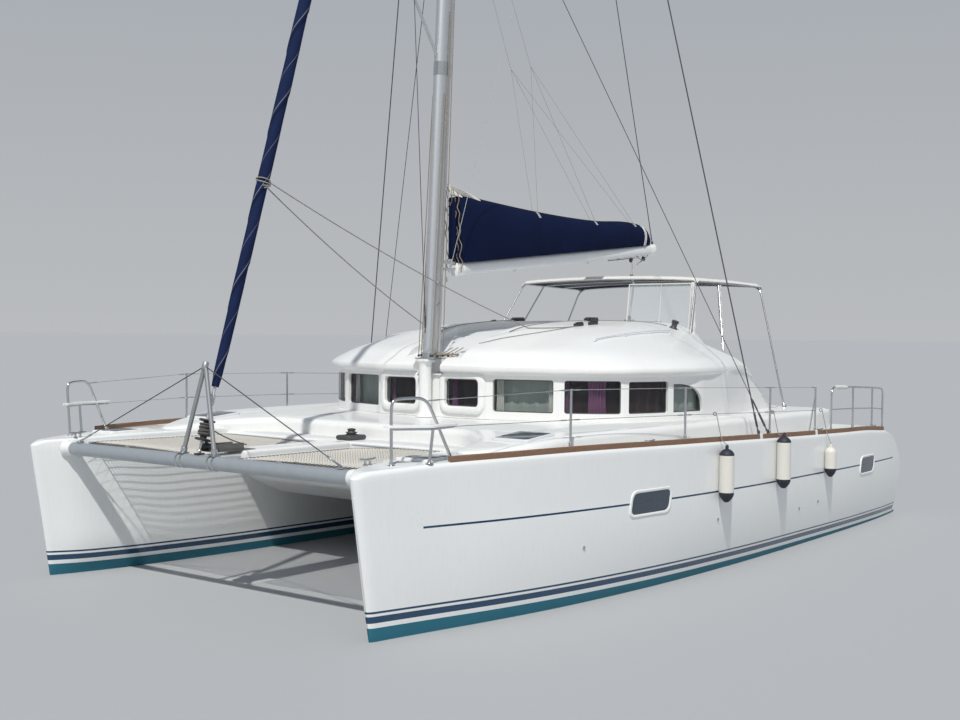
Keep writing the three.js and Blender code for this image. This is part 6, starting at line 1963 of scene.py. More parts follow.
def make_wires():
    chain_x, chain_y = -0.42, 3.205
    chain_z = float(deck_height(chain_x)) + 0.0003
    tip = np.array(SPREADER_TIP)
    for side, sign in SIDES:
        upper = [(chain_x, chain_y, chain_z + 0.05), tip + (0, 0, 0.082)]
        lower = [(chain_x - 0.26, chain_y, chain_z + 0.05), (mast_x(9.4), 0.088, 9.40)]
        above = [tip + (0, 0, 0.075), (mast_x(HOUNDS) - 0.02, 0.088, HOUNDS)]
        shapes = [rod(*upper, 0.008, 10), rod(*above, 0.007, 10), rod(*lower, 0.0045, 10)]
        shapes += [turnbuckle(*upper), turnbuckle(*lower)]
        for x in (chain_x, chain_x - 0.26):
            shapes.append(slab((x - 0.03, chain_y - 0.006, chain_z - 0.01),
                               (x + 0.03, chain_y + 0.006, chain_z + 0.09), 0.004))
            shapes.append(slab((x - 0.07, chain_y - 0.03, chain_z - 0.003),
                               (x + 0.07, chain_y + 0.03, chain_z + 0.006), 0.003))
        shapes.append(turned([(0.0, -0.03), (0.016, -0.02), (0.02, 0.0), (0.016, 0.05), (0.0, 0.07)],
                             tip + (0, 0, 0.03), (0, 0, 1), 16))
        stand_in_for(f"shrouds_{side}", on_side(joined(*shapes), sign), WIRE_METAL)
    foot, tip = (mast_x(2.7) + 0.12, 0, 2.70), JUMPER_TIP
    shapes = [rod(foot, tip, 0.0045, 10),
              rod(tip, (mast_x(12.3) + 0.10, 0, 12.3), 0.0045, 10),
              turnbuckle(foot, tip, 0.8),
              turned([(0.0, -0.02), (0.016, -0.012), (0.02, 0.0), (0.016, 0.012), (0.0, 0.02)], tip,
                     (0, 1, 0), 16)]
    stand_in_for("jumper_stay", joined(*shapes), WIRE_METAL)


def headsail_material():
    """Navy cloth wound in a spiral: a pale stitched seam and painted shade under each wrap's edge,
    by the surface's own UV"""
    material, tree, shader = finish("headsail_cover", Specular_IOR_Level=0.12)
    weave = use(tree, WEAVE, [("Thread", 0.0016)])
    weather = use(tree, WEATHER, [("Patch Size", 0.25)])
    place = add(tree, "ShaderNodeTexCoord").outputs["UV"]
    u, v, _ = add(tree, "ShaderNodeSeparateXYZ", [("Vector", place)]).outputs
    wound = math_node(tree, "DIVIDE", v, SAIL_PITCH)
    turns = math_node(tree, "FRACT", math_node(tree, "SUBTRACT", wound, u))
    seam = band(tree, turns, 0.10, 0.125)
    second = band(tree, turns, 0.55, 0.562)
    # Painted shade: darker just under each wrap's edge
    shade = add(tree, "ShaderNodeMapRange", [("Value", turns), ("From Min", 0.0), ("From Max", 0.12),
                                             ("To Min", 0.45), ("To Max", 1.0)]).outputs[0]
    base = mix(tree, weather["Cloud"], colour(0.006, 0.011, 0.045), colour(0.013, 0.025, 0.082))
    stitched = mix(tree, math_node(tree, "MULTIPLY", math_node(tree, "ADD", seam, second), 0.55), base,
                   colour(0.30, 0.31, 0.36))
    tree.links.new(darkened(tree, stitched, math_node(tree, "MULTIPLY", shade, weave["Shade"])),
                   shader.inputs["Base Color"])
    tree.links.new(spread(tree, weather["Speck"], 0.75, 0.92), shader.inputs["Roughness"])
    bump(tree, shader, weave["Height"], 0.0006, 0.6)
    return material


SAIL_PITCH = 0.95
SAIL_SIZE = [(2.15, 0.036), (2.22, 0.043), (2.6, 0.052), (3.6, 0.060), (5.0, 0.066), (8.0, 0.064),
             (11.0, 0.059), (13.5, 0.046), (14.7, 0.034), (14.9, 0.026), (15.0, 0.012)]


def make_headsail():
    """Radius: a table along the stay, with a sawtooth that winds round it once each pitch, so that
    each wrap's edge stands proud, and small folds that follow the wraps"""
    z = np.concatenate([np.linspace(2.15, 2.3, 7), np.linspace(2.33, 14.9, 420), [14.95, 15.0]])
    long = np.concatenate([[0], np.cumsum(np.diff(z))]) * math.hypot(1, STAY_RAKE)
    u = np.arange(40)[None] / 40
    saw = np.mod(long[:, None] / SAIL_PITCH - u, 1.0)
    small, wide = 3 * u + long[:, None] / 0.41, u - long[:, None] / 1.7
    fold = 0.012 * np.sin(2 * PI * small) * np.sin(2 * PI * wide)
    radius = through(SAIL_SIZE, z)[:, None] * (0.93 + 0.10 * np.clip(1 - saw / 0.9, 0, 1) + fold)
    axis = unit(np.array((-STAY_RAKE, 0, 1.0)))
    side = np.array((0, 1.0, 0))
    fore = np.cross(side, axis)
    centre = np.stack([stay_x(z), 0 * z, z], -1)
    ring = np.cos(2 * PI * u)[..., None] * fore + np.sin(2 * PI * u)[..., None] * side
    shape = grid(centre[:, None] + radius[..., None] * ring, True, False, True, long)
    piece("furled_headsail_form", shape, headsail_material(), "root", "navy_canvas", ("furled_headsail",),
          50)
    foil_rod = [rod(on_stay(1.8203), on_stay(2.2), 0.016, 16),
                rod(on_stay(14.95), on_stay(15.45), 0.014, 16),
                rod(on_stay(15.45), (mast_x(15.72) + 0.12, 0, 15.72), 0.006, 10)]
    swivel = [(0.0, -0.06), (0.026, -0.055), (0.03, -0.01), (0.024, 0.0), (0.03, 0.01), (0.026, 0.055),
              (0.0, 0.06)]
    foil_rod += [turned(swivel, on_stay(z), axis, 24) for z in (2.02, 15.1)]
    piece("forestay_foil", joined(*foil_rod), MAST_METAL, "root", "spar_aluminium")
    low, high = 1.62, 1.82
    plate = [(0.0, 0.0), (0.080, 0.0), (0.082, 0.003), (0.082, 0.012), (0.078, 0.016), (0.034, 0.018)]
    length = (high - low) * math.hypot(1, STAY_RAKE)
    body = plate + [(0.034, length - 0.018)] + [(r, length - d) for r, d in plate[::-1][1:]]
    drum = turned(body, on_stay(low), axis, 40)
    link = tube(bent([(BEAM_X - 0.02, 0, BEAM_TOP + 0.012), (BEAM_X - 0.016, 0, BEAM_TOP + 0.05),
                      (stay_x(low), 0, low + 0.003)], 0.02), 0.013, 12)
    foot = slab((BEAM_X - 0.05, -0.04, BEAM_TOP), (BEAM_X + 0.03, 0.04, BEAM_TOP + 0.016), 0.006)
    stand_in_for("furler_drum", joined(drum, foot), BLACK_PLASTIC)
    shackle = [(BEAM_X - 0.012 + 0.022 * math.sin(a), 0.024 * math.cos(a),
                BEAM_TOP + 0.040 + 0.004 * math.sin(a)) for a in whole_turn(16)]
    links = [link, tube(shackle, 0.006, 8, True),
             rod((stay_x(1.60), -0.03, 1.60), (stay_x(1.60), 0.03, 1.60), 0.008, 12)]
    piece("forestay_links", joined(*links), STAINLESS, "root", "stainless")
    turns = np.linspace(0, 14 * 2 * PI, 14 * 20)
    rise = 0.055 + 0.11 * (0.5 - 0.5 * np.cos(turns / (14 * 2 * PI) * PI * 3))
    around = 0.052 + 0.012 * np.sin(turns / 14) ** 2
    base = np.array(on_stay(low))
    path = base + axis * rise[:, None] + around[:, None] * (np.cos(turns)[:, None] * fore
                                                            + np.sin(turns)[:, None] * side)
    lead = slack(path[-1], (4.96, 0.16, 1.56), 0.03, 14)
    piece("furling_line", tube(np.concatenate([path, lead[1:]]), 0.0065, 6), LACING, "root", "rope")


def make_headsail_sheets():
    """Two sheets from the clew's knot, wound once round the roll, then aft with a little slack"""
    knot = np.array((stay_x(4.28), 0, 4.28))
    turn = np.linspace(0, 2 * PI, 28)
    shapes = []
    for k, drop in enumerate((0.0, 0.022, 0.044, 0.075)):
        ring = knot + np.stack([0.072 * np.cos(turn), 0.072 * np.sin(turn),
                                -drop + 0.02 * np.cos(turn + k)], -1)
        shapes.append(tube(ring[:-1], 0.007, 8, True))
    ends = ((1, (0.80, 0.66, 2.783)), (-1, (1.20, -0.52, 2.72)))
    for sign, end in ends:
        start = knot + (-0.045, sign * 0.055, -0.03)
        shapes.append(tube(slack(start, end, 0.07, 28), 0.0065, 8))
    piece("headsail_sheets", joined(*shapes), GREY_ROPE, "root", "rope")


def square(v):
    """A sine or cosine pushed outwards, which turns a circle into a round-cornered square"""
    return np.sign(v) * np.abs(v) ** 0.8


def make_boom():
    half, depth, aft = 0.062, 0.082, -3.41
    angle = whole_turn(40)
    x = np.linspace(GOOSENECK_X - 0.075, aft + 0.05, 30)[:, None]
    y = half * square(np.cos(angle))[None] + 0 * x
    z = boom_z(x) + depth * square(np.sin(angle))[None]
    spar = grid(np.stack([x + 0 * y, y, z], -1), True, False, True)
    swing = unit(np.array((mast_x(MAST_TOP) - 0.41 - GOOSENECK_X, 0, MAST_TOP - 0.1 - GOOSENECK_Z)))
    goose = np.array((GOOSENECK_X, 0, GOOSENECK_Z))
    knuckle = turned([(0.0134, -0.018), (0.026, -0.018), (0.026, 0.018), (0.0134, 0.018)], goose, swing, 24)
    tongue = slab((GOOSENECK_X - 0.09, -0.022, GOOSENECK_Z - 0.017),
                  (GOOSENECK_X - 0.024, 0.022, GOOSENECK_Z + 0.017), 0.005)
    stand_in_for("boom", joined(spar, knuckle, tongue), PAINTED_SPAR)
    pin = turned([(0.0, -0.062), (0.018, -0.06), (0.018, -0.056), (0.012, -0.054), (0.012, 0.054),
                  (0.018, 0.056), (0.0, 0.062)], goose, swing, 20)
    piece("gooseneck_pin", pin, STAINLESS, "root", "stainless")
    t = np.linspace(0, PI / 2, 8)
    cap_x = aft + 0.055 - 0.055 * np.sin(t)
    cap_size = np.cos(t) ** 0.6 + 0.02
    cap_x = np.concatenate([[aft + 0.16, aft + 0.158], cap_x])
    cap_size = np.concatenate([[0.99, 1.035], 1.035 * cap_size])
    cap = np.stack([
        np.repeat(cap_x[:, None], 40, 1), cap_size[:, None] * half * square(np.cos(angle)),
        boom_z(cap_x)[:, None] + cap_size[:, None] * depth * square(np.sin(angle)),
    ], -1)
    collar_x = GOOSENECK_X - np.array([[0.05], [0.055], [0.2]])
    collar_size = np.array([[0.9], [1.03], [1.03]])
    front = grid(np.stack([
        np.repeat(collar_x, 40, 1), collar_size * half * square(np.cos(angle)),
        boom_z(collar_x) + collar_size * depth * square(np.sin(angle)),
    ], -1), True, False, True)
    piece("boom_end_caps", joined(grid(cap, True, False, True), front), GELCOAT, "boom", "gelcoat")
    fittings, ropes = [], []
    for at in (-2.90, -2.35, -1.55, 0.2):
        z = float(boom_z(at)) - depth
        fittings.append(slab((at - 0.04, -0.02, z - 0.003), (at + 0.04, 0.02, z + 0.006), 0.002))
        eye = [(at + 0.016 * math.cos(a), 0, z - 0.012 + 0.016 * math.sin(a)) for a in whole_turn(14)]
        fittings.append(tube(eye, 0.0035, 8, True))
    piece("boom_eyes", joined(*fittings), STAINLESS, "boom", "stainless")
    reef = np.linspace(-2.05, -2.80, 8)
    ropes.append(tube(np.stack([reef, np.full(8, 0.03), boom_z(reef) - depth - 0.012], -1), 0.006, 8))
    ends = [(x, 0.05, boom_z(x) - 0.07) for x in (-2.82, -3.14)]
    ropes.append(tube(slack(*ends, 0.06, 14), 0.005, 8))
    piece("boom_lines", joined(*ropes), NAVY_ROPE, "boom", "rope")


BAG = np.array([
    # x, foot over the boom's axis, top, half width
    (1.44, 0.090, 4.40, 0.060), (1.38, 0.084, 4.415, 0.095), (1.30, 0.079, 4.418, 0.120),
    (0.90, 0.079, 4.395, 0.150),
    (-0.26, 0.079, 4.340, 0.150), (-1.69, 0.079, 4.325, 0.130), (-2.76, 0.079, 4.368, 0.105),
    (-2.99, 0.080, 4.348, 0.095),
    (-3.16, 0.082, 4.29, 0.068), (-3.22, 0.084, 4.22, 0.050),
])
LAZY_JACKS = (-0.26, -1.69, -2.76)


def bag_place(x, t, side=1.0):
    """A point on the sail bag: t runs from its foot to its top seam. Half width: full at mid height,
    drawn in at the foot and towards the zip, with folds that hang from the lazy jacks"""
    low = boom_z(x) + through(BAG[:, [0, 1]], x)
    high = through(BAG[:, [0, 2]], x)
    half = through(BAG[:, [0, 3]], x)
    shape = (0.72 + 0.28 * np.sin(PI * np.clip(t * 1.1, 0, 1)) ** 0.8) * np.clip(1 - t ** 5, 0, 1) ** 0.55
    folds = 0.05 * np.sin(3.1 * x + 2.4 * t + side) * np.sin(PI * t)
    for jack in LAZY_JACKS:
        near = np.exp(-((x - jack - 0.35 * side * (0.7 - t)) / 0.16) ** 2)
        folds = folds - 0.06 * near * np.sin(PI * np.clip(t / 0.95, 0, 1))
    folds = folds + 0.008 * np.sin(14 * x + 9 * t + side) * np.sin(PI * t) ** 2
    y = side * half * (shape + folds * np.clip(shape * 3, 0, 1))
    return np.stack([x + 0 * t, y, low + (high - low) * t], -1)


def make_sail_bag():
    x = np.concatenate([[1.44, 1.435, 1.42], np.linspace(1.39, -3.10, 170),
                        [-3.14, -3.17, -3.19, -3.205, -3.215, -3.22]])[:, None]
    t = (np.linspace(0, 1, 22)[None]) ** 0.9
    port = bag_place(x, t, 1.0)
    starboard = bag_place(x, t, -1.0)
    floor = np.array([[0.5, -0.5]])
    under = np.stack([x + 0 * floor, port[:, :1, 1] * floor * 1.2, port[:, :1, 2] + 0 * floor], -1)
    ring = np.concatenate([under[:, ::-1], port, starboard[:, ::-1][:, 1:]], 1)
    shape = grid(ring, True, False, True)
    piece("sail_bag_form", shape, NAVY_CANVAS, "boom", "navy_canvas", ("sail_bag",), 60)
    trims, tabs = [], []
    seam_t = np.full(90, 1.0)
    seam_x = np.linspace(1.38, -3.12, 90)
    top = bag_place(seam_x, seam_t)
    zip_line = top + (0, 0, 0.003)
    trims.append(tube(zip_line, 0.006, 8))
    piece("bag_zip", joined(*trims), BLACK_PLASTIC, "boom", "black_plastic")
    pipes = []
    for at in (-2.985, -3.03):
        ts = np.linspace(0, 1, 24)
        a = bag_place(np.full(24, at), ts, 1.0) * (1, 1.02, 1) + (0, 0.001, 0)
        b = bag_place(np.full(24, at), ts, -1.0) * (1, 1.02, 1) - (0, 0.001, 0)
        pipes.append(tube(np.concatenate([a, b[::-1][1:]]), 0.008, 8))
    piece("bag_piping", joined(*pipes), WHITE_CANVAS, "boom", "navy_canvas")
    for jack in LAZY_JACKS:
        for s in (1.0, -1.0):
            ts = np.linspace(0.86, 0.99, 6)
            centre = bag_place(np.full(6, jack), ts, s) * (1, 1.0, 1) + (0, s * 0.004, 0)
            strap = np.array([(-0.022, -0.002), (0.022, -0.002), (0.022, 0.003), (-0.022, 0.003)])
            tabs.append(swept(centre, strap, False, (0, s, 0.01)))
    piece("bag_tabs", joined(*tabs), FADED_STRAP, "boom", "navy_canvas")
    make_sail_head()


def make_sail_head():
    """The sail's head, folded on the bag beside the mast: leaves of cloth that fall from a peak aft to
    the bag's top, each a sheet bent by a wave; and the folded luff's lines before it"""
    u = np.linspace(0, 1, 26)[:, None]
    v = np.linspace(0, 1, 12)[None]
    leaves = []
    for k, (shift, lean) in enumerate(((0.0, 0.02), (0.032, -0.035), (-0.034, 0.05))):
        x = 1.575 - 0.62 * u + 0.02 * v - 0.012 * k
        base = 4.36 + 0.045 * np.clip(1 - u, 0, 1)
        z = base + (4.535 - 0.115 * u - 0.012 * k - base) * v
        y = shift * (1 - 0.3 * u) + lean * (1 - v) + 0.012 * np.sin(7 * u + 4 * v + k)
        leaves.append(grid(np.stack([x + 0 * y, y, z + 0 * y], -1)))
    made = piece("sail_head", joined(*leaves), SAILCLOTH, "boom", "white_canvas", closed=False)
    modifier = made.modifiers.new("cloth", "SOLIDIFY")
    modifier.thickness = 0.004
    modifier.offset = 0
    baked(made)
    s = np.linspace(0, 1, 60)
    luff = []
    for k in range(5):
        sway = 0.018 * np.sin(23 * s + 2.1 * k) + 0.010 * np.sin(51 * s + k)
        line = np.stack([1.558 - 0.10 * s + 0.4 * sway - 0.012 * k,
                         0.045 * (k - 2) + 0.015 * np.cos(31 * s + k),
                         4.50 - 0.03 * abs(k - 2) - 0.98 * s], -1)
        luff.append(tube(line, 0.0045 if k % 2 else 0.0065, 6))
    piece("folded_luff", joined(*luff), TAN_ROPE, "boom", "rope")
    leaf = [slab((1.46, -0.05, 3.62), (1.52, 0.05, 4.38), 0.02, 3)]
    piece("luff_cloth", joined(*leaf), NAVY_CANVAS, "boom", "navy_canvas")


def make_lazy_jacks():
    """Lines from the mast down to the bag on each side"""
    for side, sign in SIDES:
        high = np.array((mast_x(9.0), sign * 0.10, 9.0))
        split = np.array((0.10, sign * 0.16, 6.2))
        lines = [even([high, split], 30)]
        for jack in LAZY_JACKS:
            foot = bag_place(np.array([jack]), np.array([0.97]), sign)[0]
            lines.append(even([split, foot + (0, sign * 0.004, 0)], 24))
        shape = joined(*[tube(line, 0.0018, 6) for line in lines])
        made = cleaned(object_from(f"lazy_jacks_{side}", shape))
        made.data.materials.append(GREY_ROPE)
        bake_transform(made)


def make_flag_halyard():
    """A thin line from a cleat on the mast's port side, up to the spreader"""
    low, high = np.array((1.705, 0.105, 3.36)), np.array((0.69, 1.17, 9.675))
    parts = [rod(low, high, 0.0034, 6), slab(low - (0.012, 0.02, 0.03), low + (0.012, 0.008, 0.03), 0.004)]
    piece("flag_halyard", joined(*parts), WHITE_ROPE, "root", "rope")


def make_topping_lift():
    foot = np.array((-3.35, 0, boom_z(-3.35) + 0.0823))
    head = np.array((mast_x(MAST_TOP) - 0.41, 0, MAST_TOP - 0.1))
    shapes = [rod(foot + (0, 0, 0.03), head, 0.0065, 8), turnbuckle(foot + (0, 0, 0.02), head, 0.6)]
    shapes.append(slab(foot - (0.022, 0.009, 0), foot + (0.022, 0.009, 0.045), 0.004))
    stand_in_for("topping_lift", joined(*shapes), WIRE_METAL)


def block_shape(centre, radius, axis):
    """A sheave between two round cheeks"""
    profile = [(0.0, -0.019), (radius * 0.75, -0.018), (radius, -0.012), (radius, -0.009),
               (radius * 0.8, -0.007), (radius * 0.72, 0.0), (radius * 0.8, 0.007), (radius, 0.009),
               (radius, 0.012), (radius * 0.75, 0.018), (0.0, 0.019)]
    return turned(profile, centre, axis, 22)


def make_mainsheet():
    slot_x = -2.76
    boom_x = -2.90
    under = float(boom_z(boom_x)) - 0.082
    low = np.array((slot_x, 0, 3.60))
    parts = [((0.020, 0.010), (0.17, 0.012)), ((-0.022, -0.010), (-0.20, -0.012)),
             ((0.0, 0.016), (0.16, 0.02)),
             ((0.0, -0.016), (-0.19, 0.012))]
    falls = []
    for near, far in parts:
        a = low + (near[0], near[1], 0)
        b = np.array((boom_x + far[0], far[1], under - 0.05))
        b[2] = float(boom_z(b[0])) - 0.082 - 0.05
        join = (a + b) / 2 * (0, 1, 0) + (slot_x + near[0] * 0.8, 0, a[2] + 0.09)
        falls.append(tube(np.concatenate([even([a, join], 6), even([join, b], 14)[1:]]), 0.0065, 8))
    made = cleaned(object_from("mainsheet_form", joined(*falls)))
    made.data.materials.append(WHITE_ROPE)
    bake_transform(made)
    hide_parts("mainsheet")
    blocks = [block_shape((boom_x + d, 0, float(boom_z(boom_x + d)) - 0.122), 0.036, (0, 1, 0))
              for d in (0.165, -0.195)]
    piece("boom_blocks", joined(*blocks), BLACK_PLASTIC, "boom", "black_plastic")
    car = np.array((-2.08, 0.38, 2.915))
    track = swept([(-2.085, y, 2.862) for y in np.linspace(-0.9, 0.9, 20)], rounded(0.044, 0.04, 0.006))
    riser = [slab((-2.11, y - 0.03, 2.80), (-2.06, y + 0.03, 2.87), 0.006)
             for y in np.linspace(-0.8, 0.8, 6)]
    body = slab(car - (0.045, 0.06, 0.014), car + (0.045, 0.06, 0.012), 0.008)
    stand_in_for("mainsheet_track", joined(track, body, *riser), BLACK_PLASTIC)
    ropes = []
    for shift in (-0.014, 0.014):
        ropes.append(tube(bent([car + (shift, 0, 0.03), (slot_x + shift, 0.04, 3.48),
                                (slot_x + shift, 0.0, 3.60)], 0.05), 0.0052, 8))
    piece("mainsheet_lower_part", joined(*ropes), WHITE_ROPE, "root", "rope")
    piece("traveller_block", block_shape(car + (0, 0, 0.04), 0.03, (0, 1, 0.3)), BLACK_PLASTIC, "root",
          "black_plastic")
    piece("sheet_ring", block_shape((slot_x, 0.0, 3.592), 0.026, (0, 1, 0)), BLACK_PLASTIC, "root",
          "black_plastic")


# Bimini over the cockpit, its frame and the clear screen
BIMINI_FRONT, BIMINI_AFT = -2.025, -3.81
BIMINI_CROWN = 0.045


def bimini_place(u, v):
    """Canopy: u runs aft, v from -1 to 1 across. It is crowned across, sags between its bows, and its
    edges turn down"""
    x = BIMINI_FRONT + (BIMINI_AFT - BIMINI_FRONT) * u
    half = 1.49 + 0.12 * u
    level = 3.506 + 0.012 * np.sin(PI * np.clip(u, 0, 1)) - 0.031 * u
    crown = BIMINI_CROWN * (1 - np.abs(v) ** 2.2)
    sag = 0.016 * np.sin(2 * PI * u) ** 2 * (1 - v ** 4)
    wrinkle = 0.003 * np.sin(11 * v + 3 * u) * np.sin(PI * u)
    droop = 0.040 * np.clip(np.abs(v) - 0.965, 0, 1) / 0.035
    droop = droop + 0.036 * (np.clip(0.02 - u, 0, 1) + np.clip(u - 0.98, 0, 1)) / 0.02
    return np.stack([x + 0 * v, half * v, level + crown - sag + wrinkle - droop], -1)


def canopy_material():
    """White canvas above; faces that point down take a dark blue grey, painted shade on the underside"""
    material, tree, shader = finish("canopy_canvas", Sheen_Weight=0.2, Sheen_Roughness=0.5)
    weave = use(tree, WEAVE, [("Thread", 0.0018)])
    weather = use(tree, WEATHER, [("Patch Size", 0.4)])
    normal = add(tree, "ShaderNodeSeparateXYZ",
                 [("Vector", add(tree, "ShaderNodeTexCoord").outputs["Normal"])]).outputs[2]
    # Faces that point down take a dark blue grey: painted shade on the canopy's underside
    under = math_node(tree, "LESS_THAN", normal, -0.2)
    top = mix(tree, spread(tree, weather["Cloud"], 0.0, 0.8), colour(0.76, 0.75, 0.72),
              colour(0.66, 0.66, 0.64))
    grey = mix(tree, weather["Cloud"], colour(0.085, 0.10, 0.125), colour(0.12, 0.135, 0.16))
    top_and_painted_underside_shade = mix(tree, under, top, grey)
    tree.links.new(darkened(tree, top_and_painted_underside_shade, weave["Shade"]), shader.inputs["Base Color"])
    tree.links.new(spread(tree, weather["Speck"], 0.75, 0.92), shader.inputs["Roughness"])
    bump(tree, shader, weave["Height"], 0.0006, 0.6)
    return material


def make_bimini():
    u = np.concatenate([[0, 0.01], np.linspace(0.02, 0.98, 59), [0.99, 1]])[:, None]
    v = np.concatenate([[-1], np.linspace(-0.985, 0.985, 69), [1]])[None]
    top = bimini_place(u, v)
    made = cleaned(object_from("bimini_form", grid(top)), 60, False)
    slot_aft, slot_front, slot_half = -2.96, -2.56, 0.09
    modifier = made.modifiers.new("cloth", "SOLIDIFY")
    modifier.thickness = 0.007
    modifier.offset = -1
    baked(made)
    cleaned(made, 60)
    carved(made, slab((slot_aft, -slot_half, 3.3), (slot_front, slot_half, 3.8), 0.02))
    cleaned(made, 60)
    settle(made, canopy_material(), "root", "white_canvas", ("bimini",))
    edges = []
    ends = np.linspace(-1, 1, 60)
    along = np.linspace(0, 1, 50)
    front = bimini_place(np.zeros(60), ends)
    back = bimini_place(np.ones(60), ends)
    port, starboard = bimini_place(along, np.ones(50)), bimini_place(along, -np.ones(50))
    rim = np.concatenate([front, port[1:-1], back[::-1], starboard[::-1][1:-1]])
    edges.append(tube(rim, 0.008, 10, True))
    slot = [(slot_front, -slot_half), (slot_front, slot_half), (slot_aft, slot_half),
            (slot_aft, -slot_half)]
    path = []
    for (x0, y0), (x1, y1) in zip(slot, slot[1:] + slot[:1]):
        s = np.linspace(0, 1, 9)[:-1]
        px, py = x0 + (x1 - x0) * s, y0 + (y1 - y0) * s
        uu = (px - BIMINI_FRONT) / (BIMINI_AFT - BIMINI_FRONT)
        path.append(bimini_place(uu, py / (1.49 + 0.12 * uu)))
    edges.append(tube(np.concatenate(path), 0.006, 8, True))
    for at in (0.02, 0.5, 0.975):
        edges.append(tube(bimini_place(np.full(60, at), np.linspace(-0.97, 0.97, 60)) + (0, 0, 0.001),
                          0.0035, 6))
    piece("bimini_piping", joined(*edges), WHITE_CANVAS, "root", "white_canvas")


def bow_path(x, y, z):
    """A bow under the canopy, following its crown"""
    across = np.linspace(y, -y, 25)
    crown = BIMINI_CROWN * (1 - (np.abs(across) / y) ** 2.2)
    return np.stack([np.full(25, x), across, z + crown - 0.040], -1)


FRONT_BOW, BACK_BOW = (-2.05, 1.465, 3.506), (-3.78, 1.585, 3.475)


def make_bimini_frame():
    foot = np.array((-1.56, 1.64, 2.66))
    aft_foot = np.array((-3.45, 2.15, ON_RAISED_DECK))
    front = bow_path(*FRONT_BOW)
    back = bow_path(*BACK_BOW)
    flip = (1, -1, 1)
    shapes = [
        tube(np.concatenate([bent([foot, front[0], front[3]], 0.10, 6)[:-1], front[3:-3],
                             bent([front[-4], front[-1], foot * flip], 0.10, 6)[1:]]), 0.013, 14),
        tube(np.concatenate([bent([aft_foot, back[0], back[3]], 0.12, 6)[:-1], back[3:-3],
                             bent([back[-4], back[-1], aft_foot * flip], 0.12, 6)[1:]]), 0.013, 14),
    ]
    fittings = []
    for sign in (1, -1):
        a, b = front[0] * (1, sign, 1), back[0] * (1, sign, 1)
        shapes.append(tube(even([a, b], 4), 0.013, 12))
        for x in (-2.63, -3.20):
            t = (x - FRONT_BOW[0]) / (BACK_BOW[0] - FRONT_BOW[0])
            y, z = FRONT_BOW[1] + 0.12 * t, FRONT_BOW[2] - 0.031 * t
            shapes.append(tube(bow_path(x, y, z), 0.011, 12))
        for place, axis in ((foot, (-0.5, -0.17, 0.85)), (aft_foot, (-0.33, -0.57, 1.6))):
            place, axis = place * (1, sign, 1), np.array(axis) * (1, sign, 1)
            fittings.append(turned([(0.036, -0.004), (0.036, 0.004), (0.022, 0.012), (0.018, 0.05),
                                    (0.014, 0.052)], place, axis, 18))
        side_leg = np.array((-2.10, 1.905, ON_RAISED_DECK)) * (1, sign, 1)
        shapes.append(tube(bent([side_leg, side_leg + (-0.05, -0.06 * sign, 0.75),
                                 np.array((-2.63, 1.50, 3.46)) * (1, sign, 1)], 0.2, 8), 0.012, 12))
        fittings.append(foot_plate(side_leg))
    stand_in_for("bimini_frame", joined(*shapes), STAINLESS)
    piece("bimini_fittings", joined(*fittings), STAINLESS, "root", "stainless")


def make_screen():
    """A sheet of clear film with cloth edges; it bows aft a little, and two rolled curtains hang outboard
    of it
    """
    y = np.linspace(0.43, 1.42, 24)[None]
    t = np.linspace(0, 1, 20)[:, None]
    x = -1.903 - 0.094 * t - 0.012 * np.sin(PI * t) * np.sin(PI * (y - 0.43) / 0.99)
    front = np.stack([x, y + 0 * t, 2.703 + 0.722 * t + 0 * y], -1)
    made = piece("cockpit_screen_form", grid(front), CLEAR_VINYL, "root", "clear_vinyl",
                 ("cockpit_screen",), closed=False)
    modifier = made.modifiers.new("film", "SOLIDIFY")
    modifier.thickness = 0.002
    modifier.offset = 0
    baked(made)
    rim = np.concatenate([front[0], front[1:, -1], front[-1, ::-1][1:], front[1:-1, 0][::-1]])
    hem = [tube(rim, 0.011, 8, True), tube(front[:, 12], 0.006, 8)]
    piece("screen_hem", joined(*hem), WHITE_CANVAS, "root", "white_canvas")
    rolls = []
    for top, foot, size in (((-2.03, 1.43, 3.44), (-1.93, 1.50, 2.66), 0.030),
                            ((-2.66, 1.50, 3.43), (-2.72, 1.52, 2.75), 0.026)):
        path = even([top, foot], 40)
        wave = np.linspace(0, 1, 40)
        strap = np.exp(-((np.mod(wave * 4, 1) - 0.5) / 0.06) ** 2)
        radius = size * (1 + 0.10 * np.sin(wave * 34)) * (1 - 0.25 * strap)
        rolls.append(tube(path, radius, 14))
    piece("rolled_curtains", joined(*rolls), WHITE_CANVAS, "root", "white_canvas")


# Cockpit and saloon
def make_bulkhead():
    """The CAD wall with rounded edges, and window panes and frames"""
    refined("saloon_bulkhead", MOULDING, 0.004)
    frames, panes = [], []
    for y0, y1 in ((0.35, 1.00), (-1.65, -0.90)):
        z0, z1 = 1.50, 2.08
        corners = [(y0, z0), (y1, z0), (y1, z1), (y0, z1)]
        ring = []
        for (ay, az), (sy, sz) in zip(corners, ((1, 1), (-1, 1), (-1, -1), (1, -1))):
            turn = math.atan2(-sz, -sy) - PI / 4
            for t in np.linspace(0, PI / 2, 6):
                ring.append((-1.953, ay + sy * 0.05 + 0.05 * math.cos(turn + t),
                             az + sz * 0.05 + 0.05 * math.sin(turn + t)))
        section = [(-0.022, -0.006), (0.022, -0.006), (0.022, 0.004), (0.014, 0.009), (-0.014, 0.009),
                   (-0.022, 0.004)]
        frames.append(swept(ring, section, True, (-1, 0, 0)))
        panes.append(slab((-1.943, y0 - 0.005, z0 - 0.005), (-1.935, y1 + 0.005, z1 + 0.005), 0.002))
    piece("bulkhead_window_frames", joined(*frames), RUBBER, "root", "black_plastic")
    piece("bulkhead_panes", joined(*panes), TINTED_GLASS, "root", "saloon_glass")


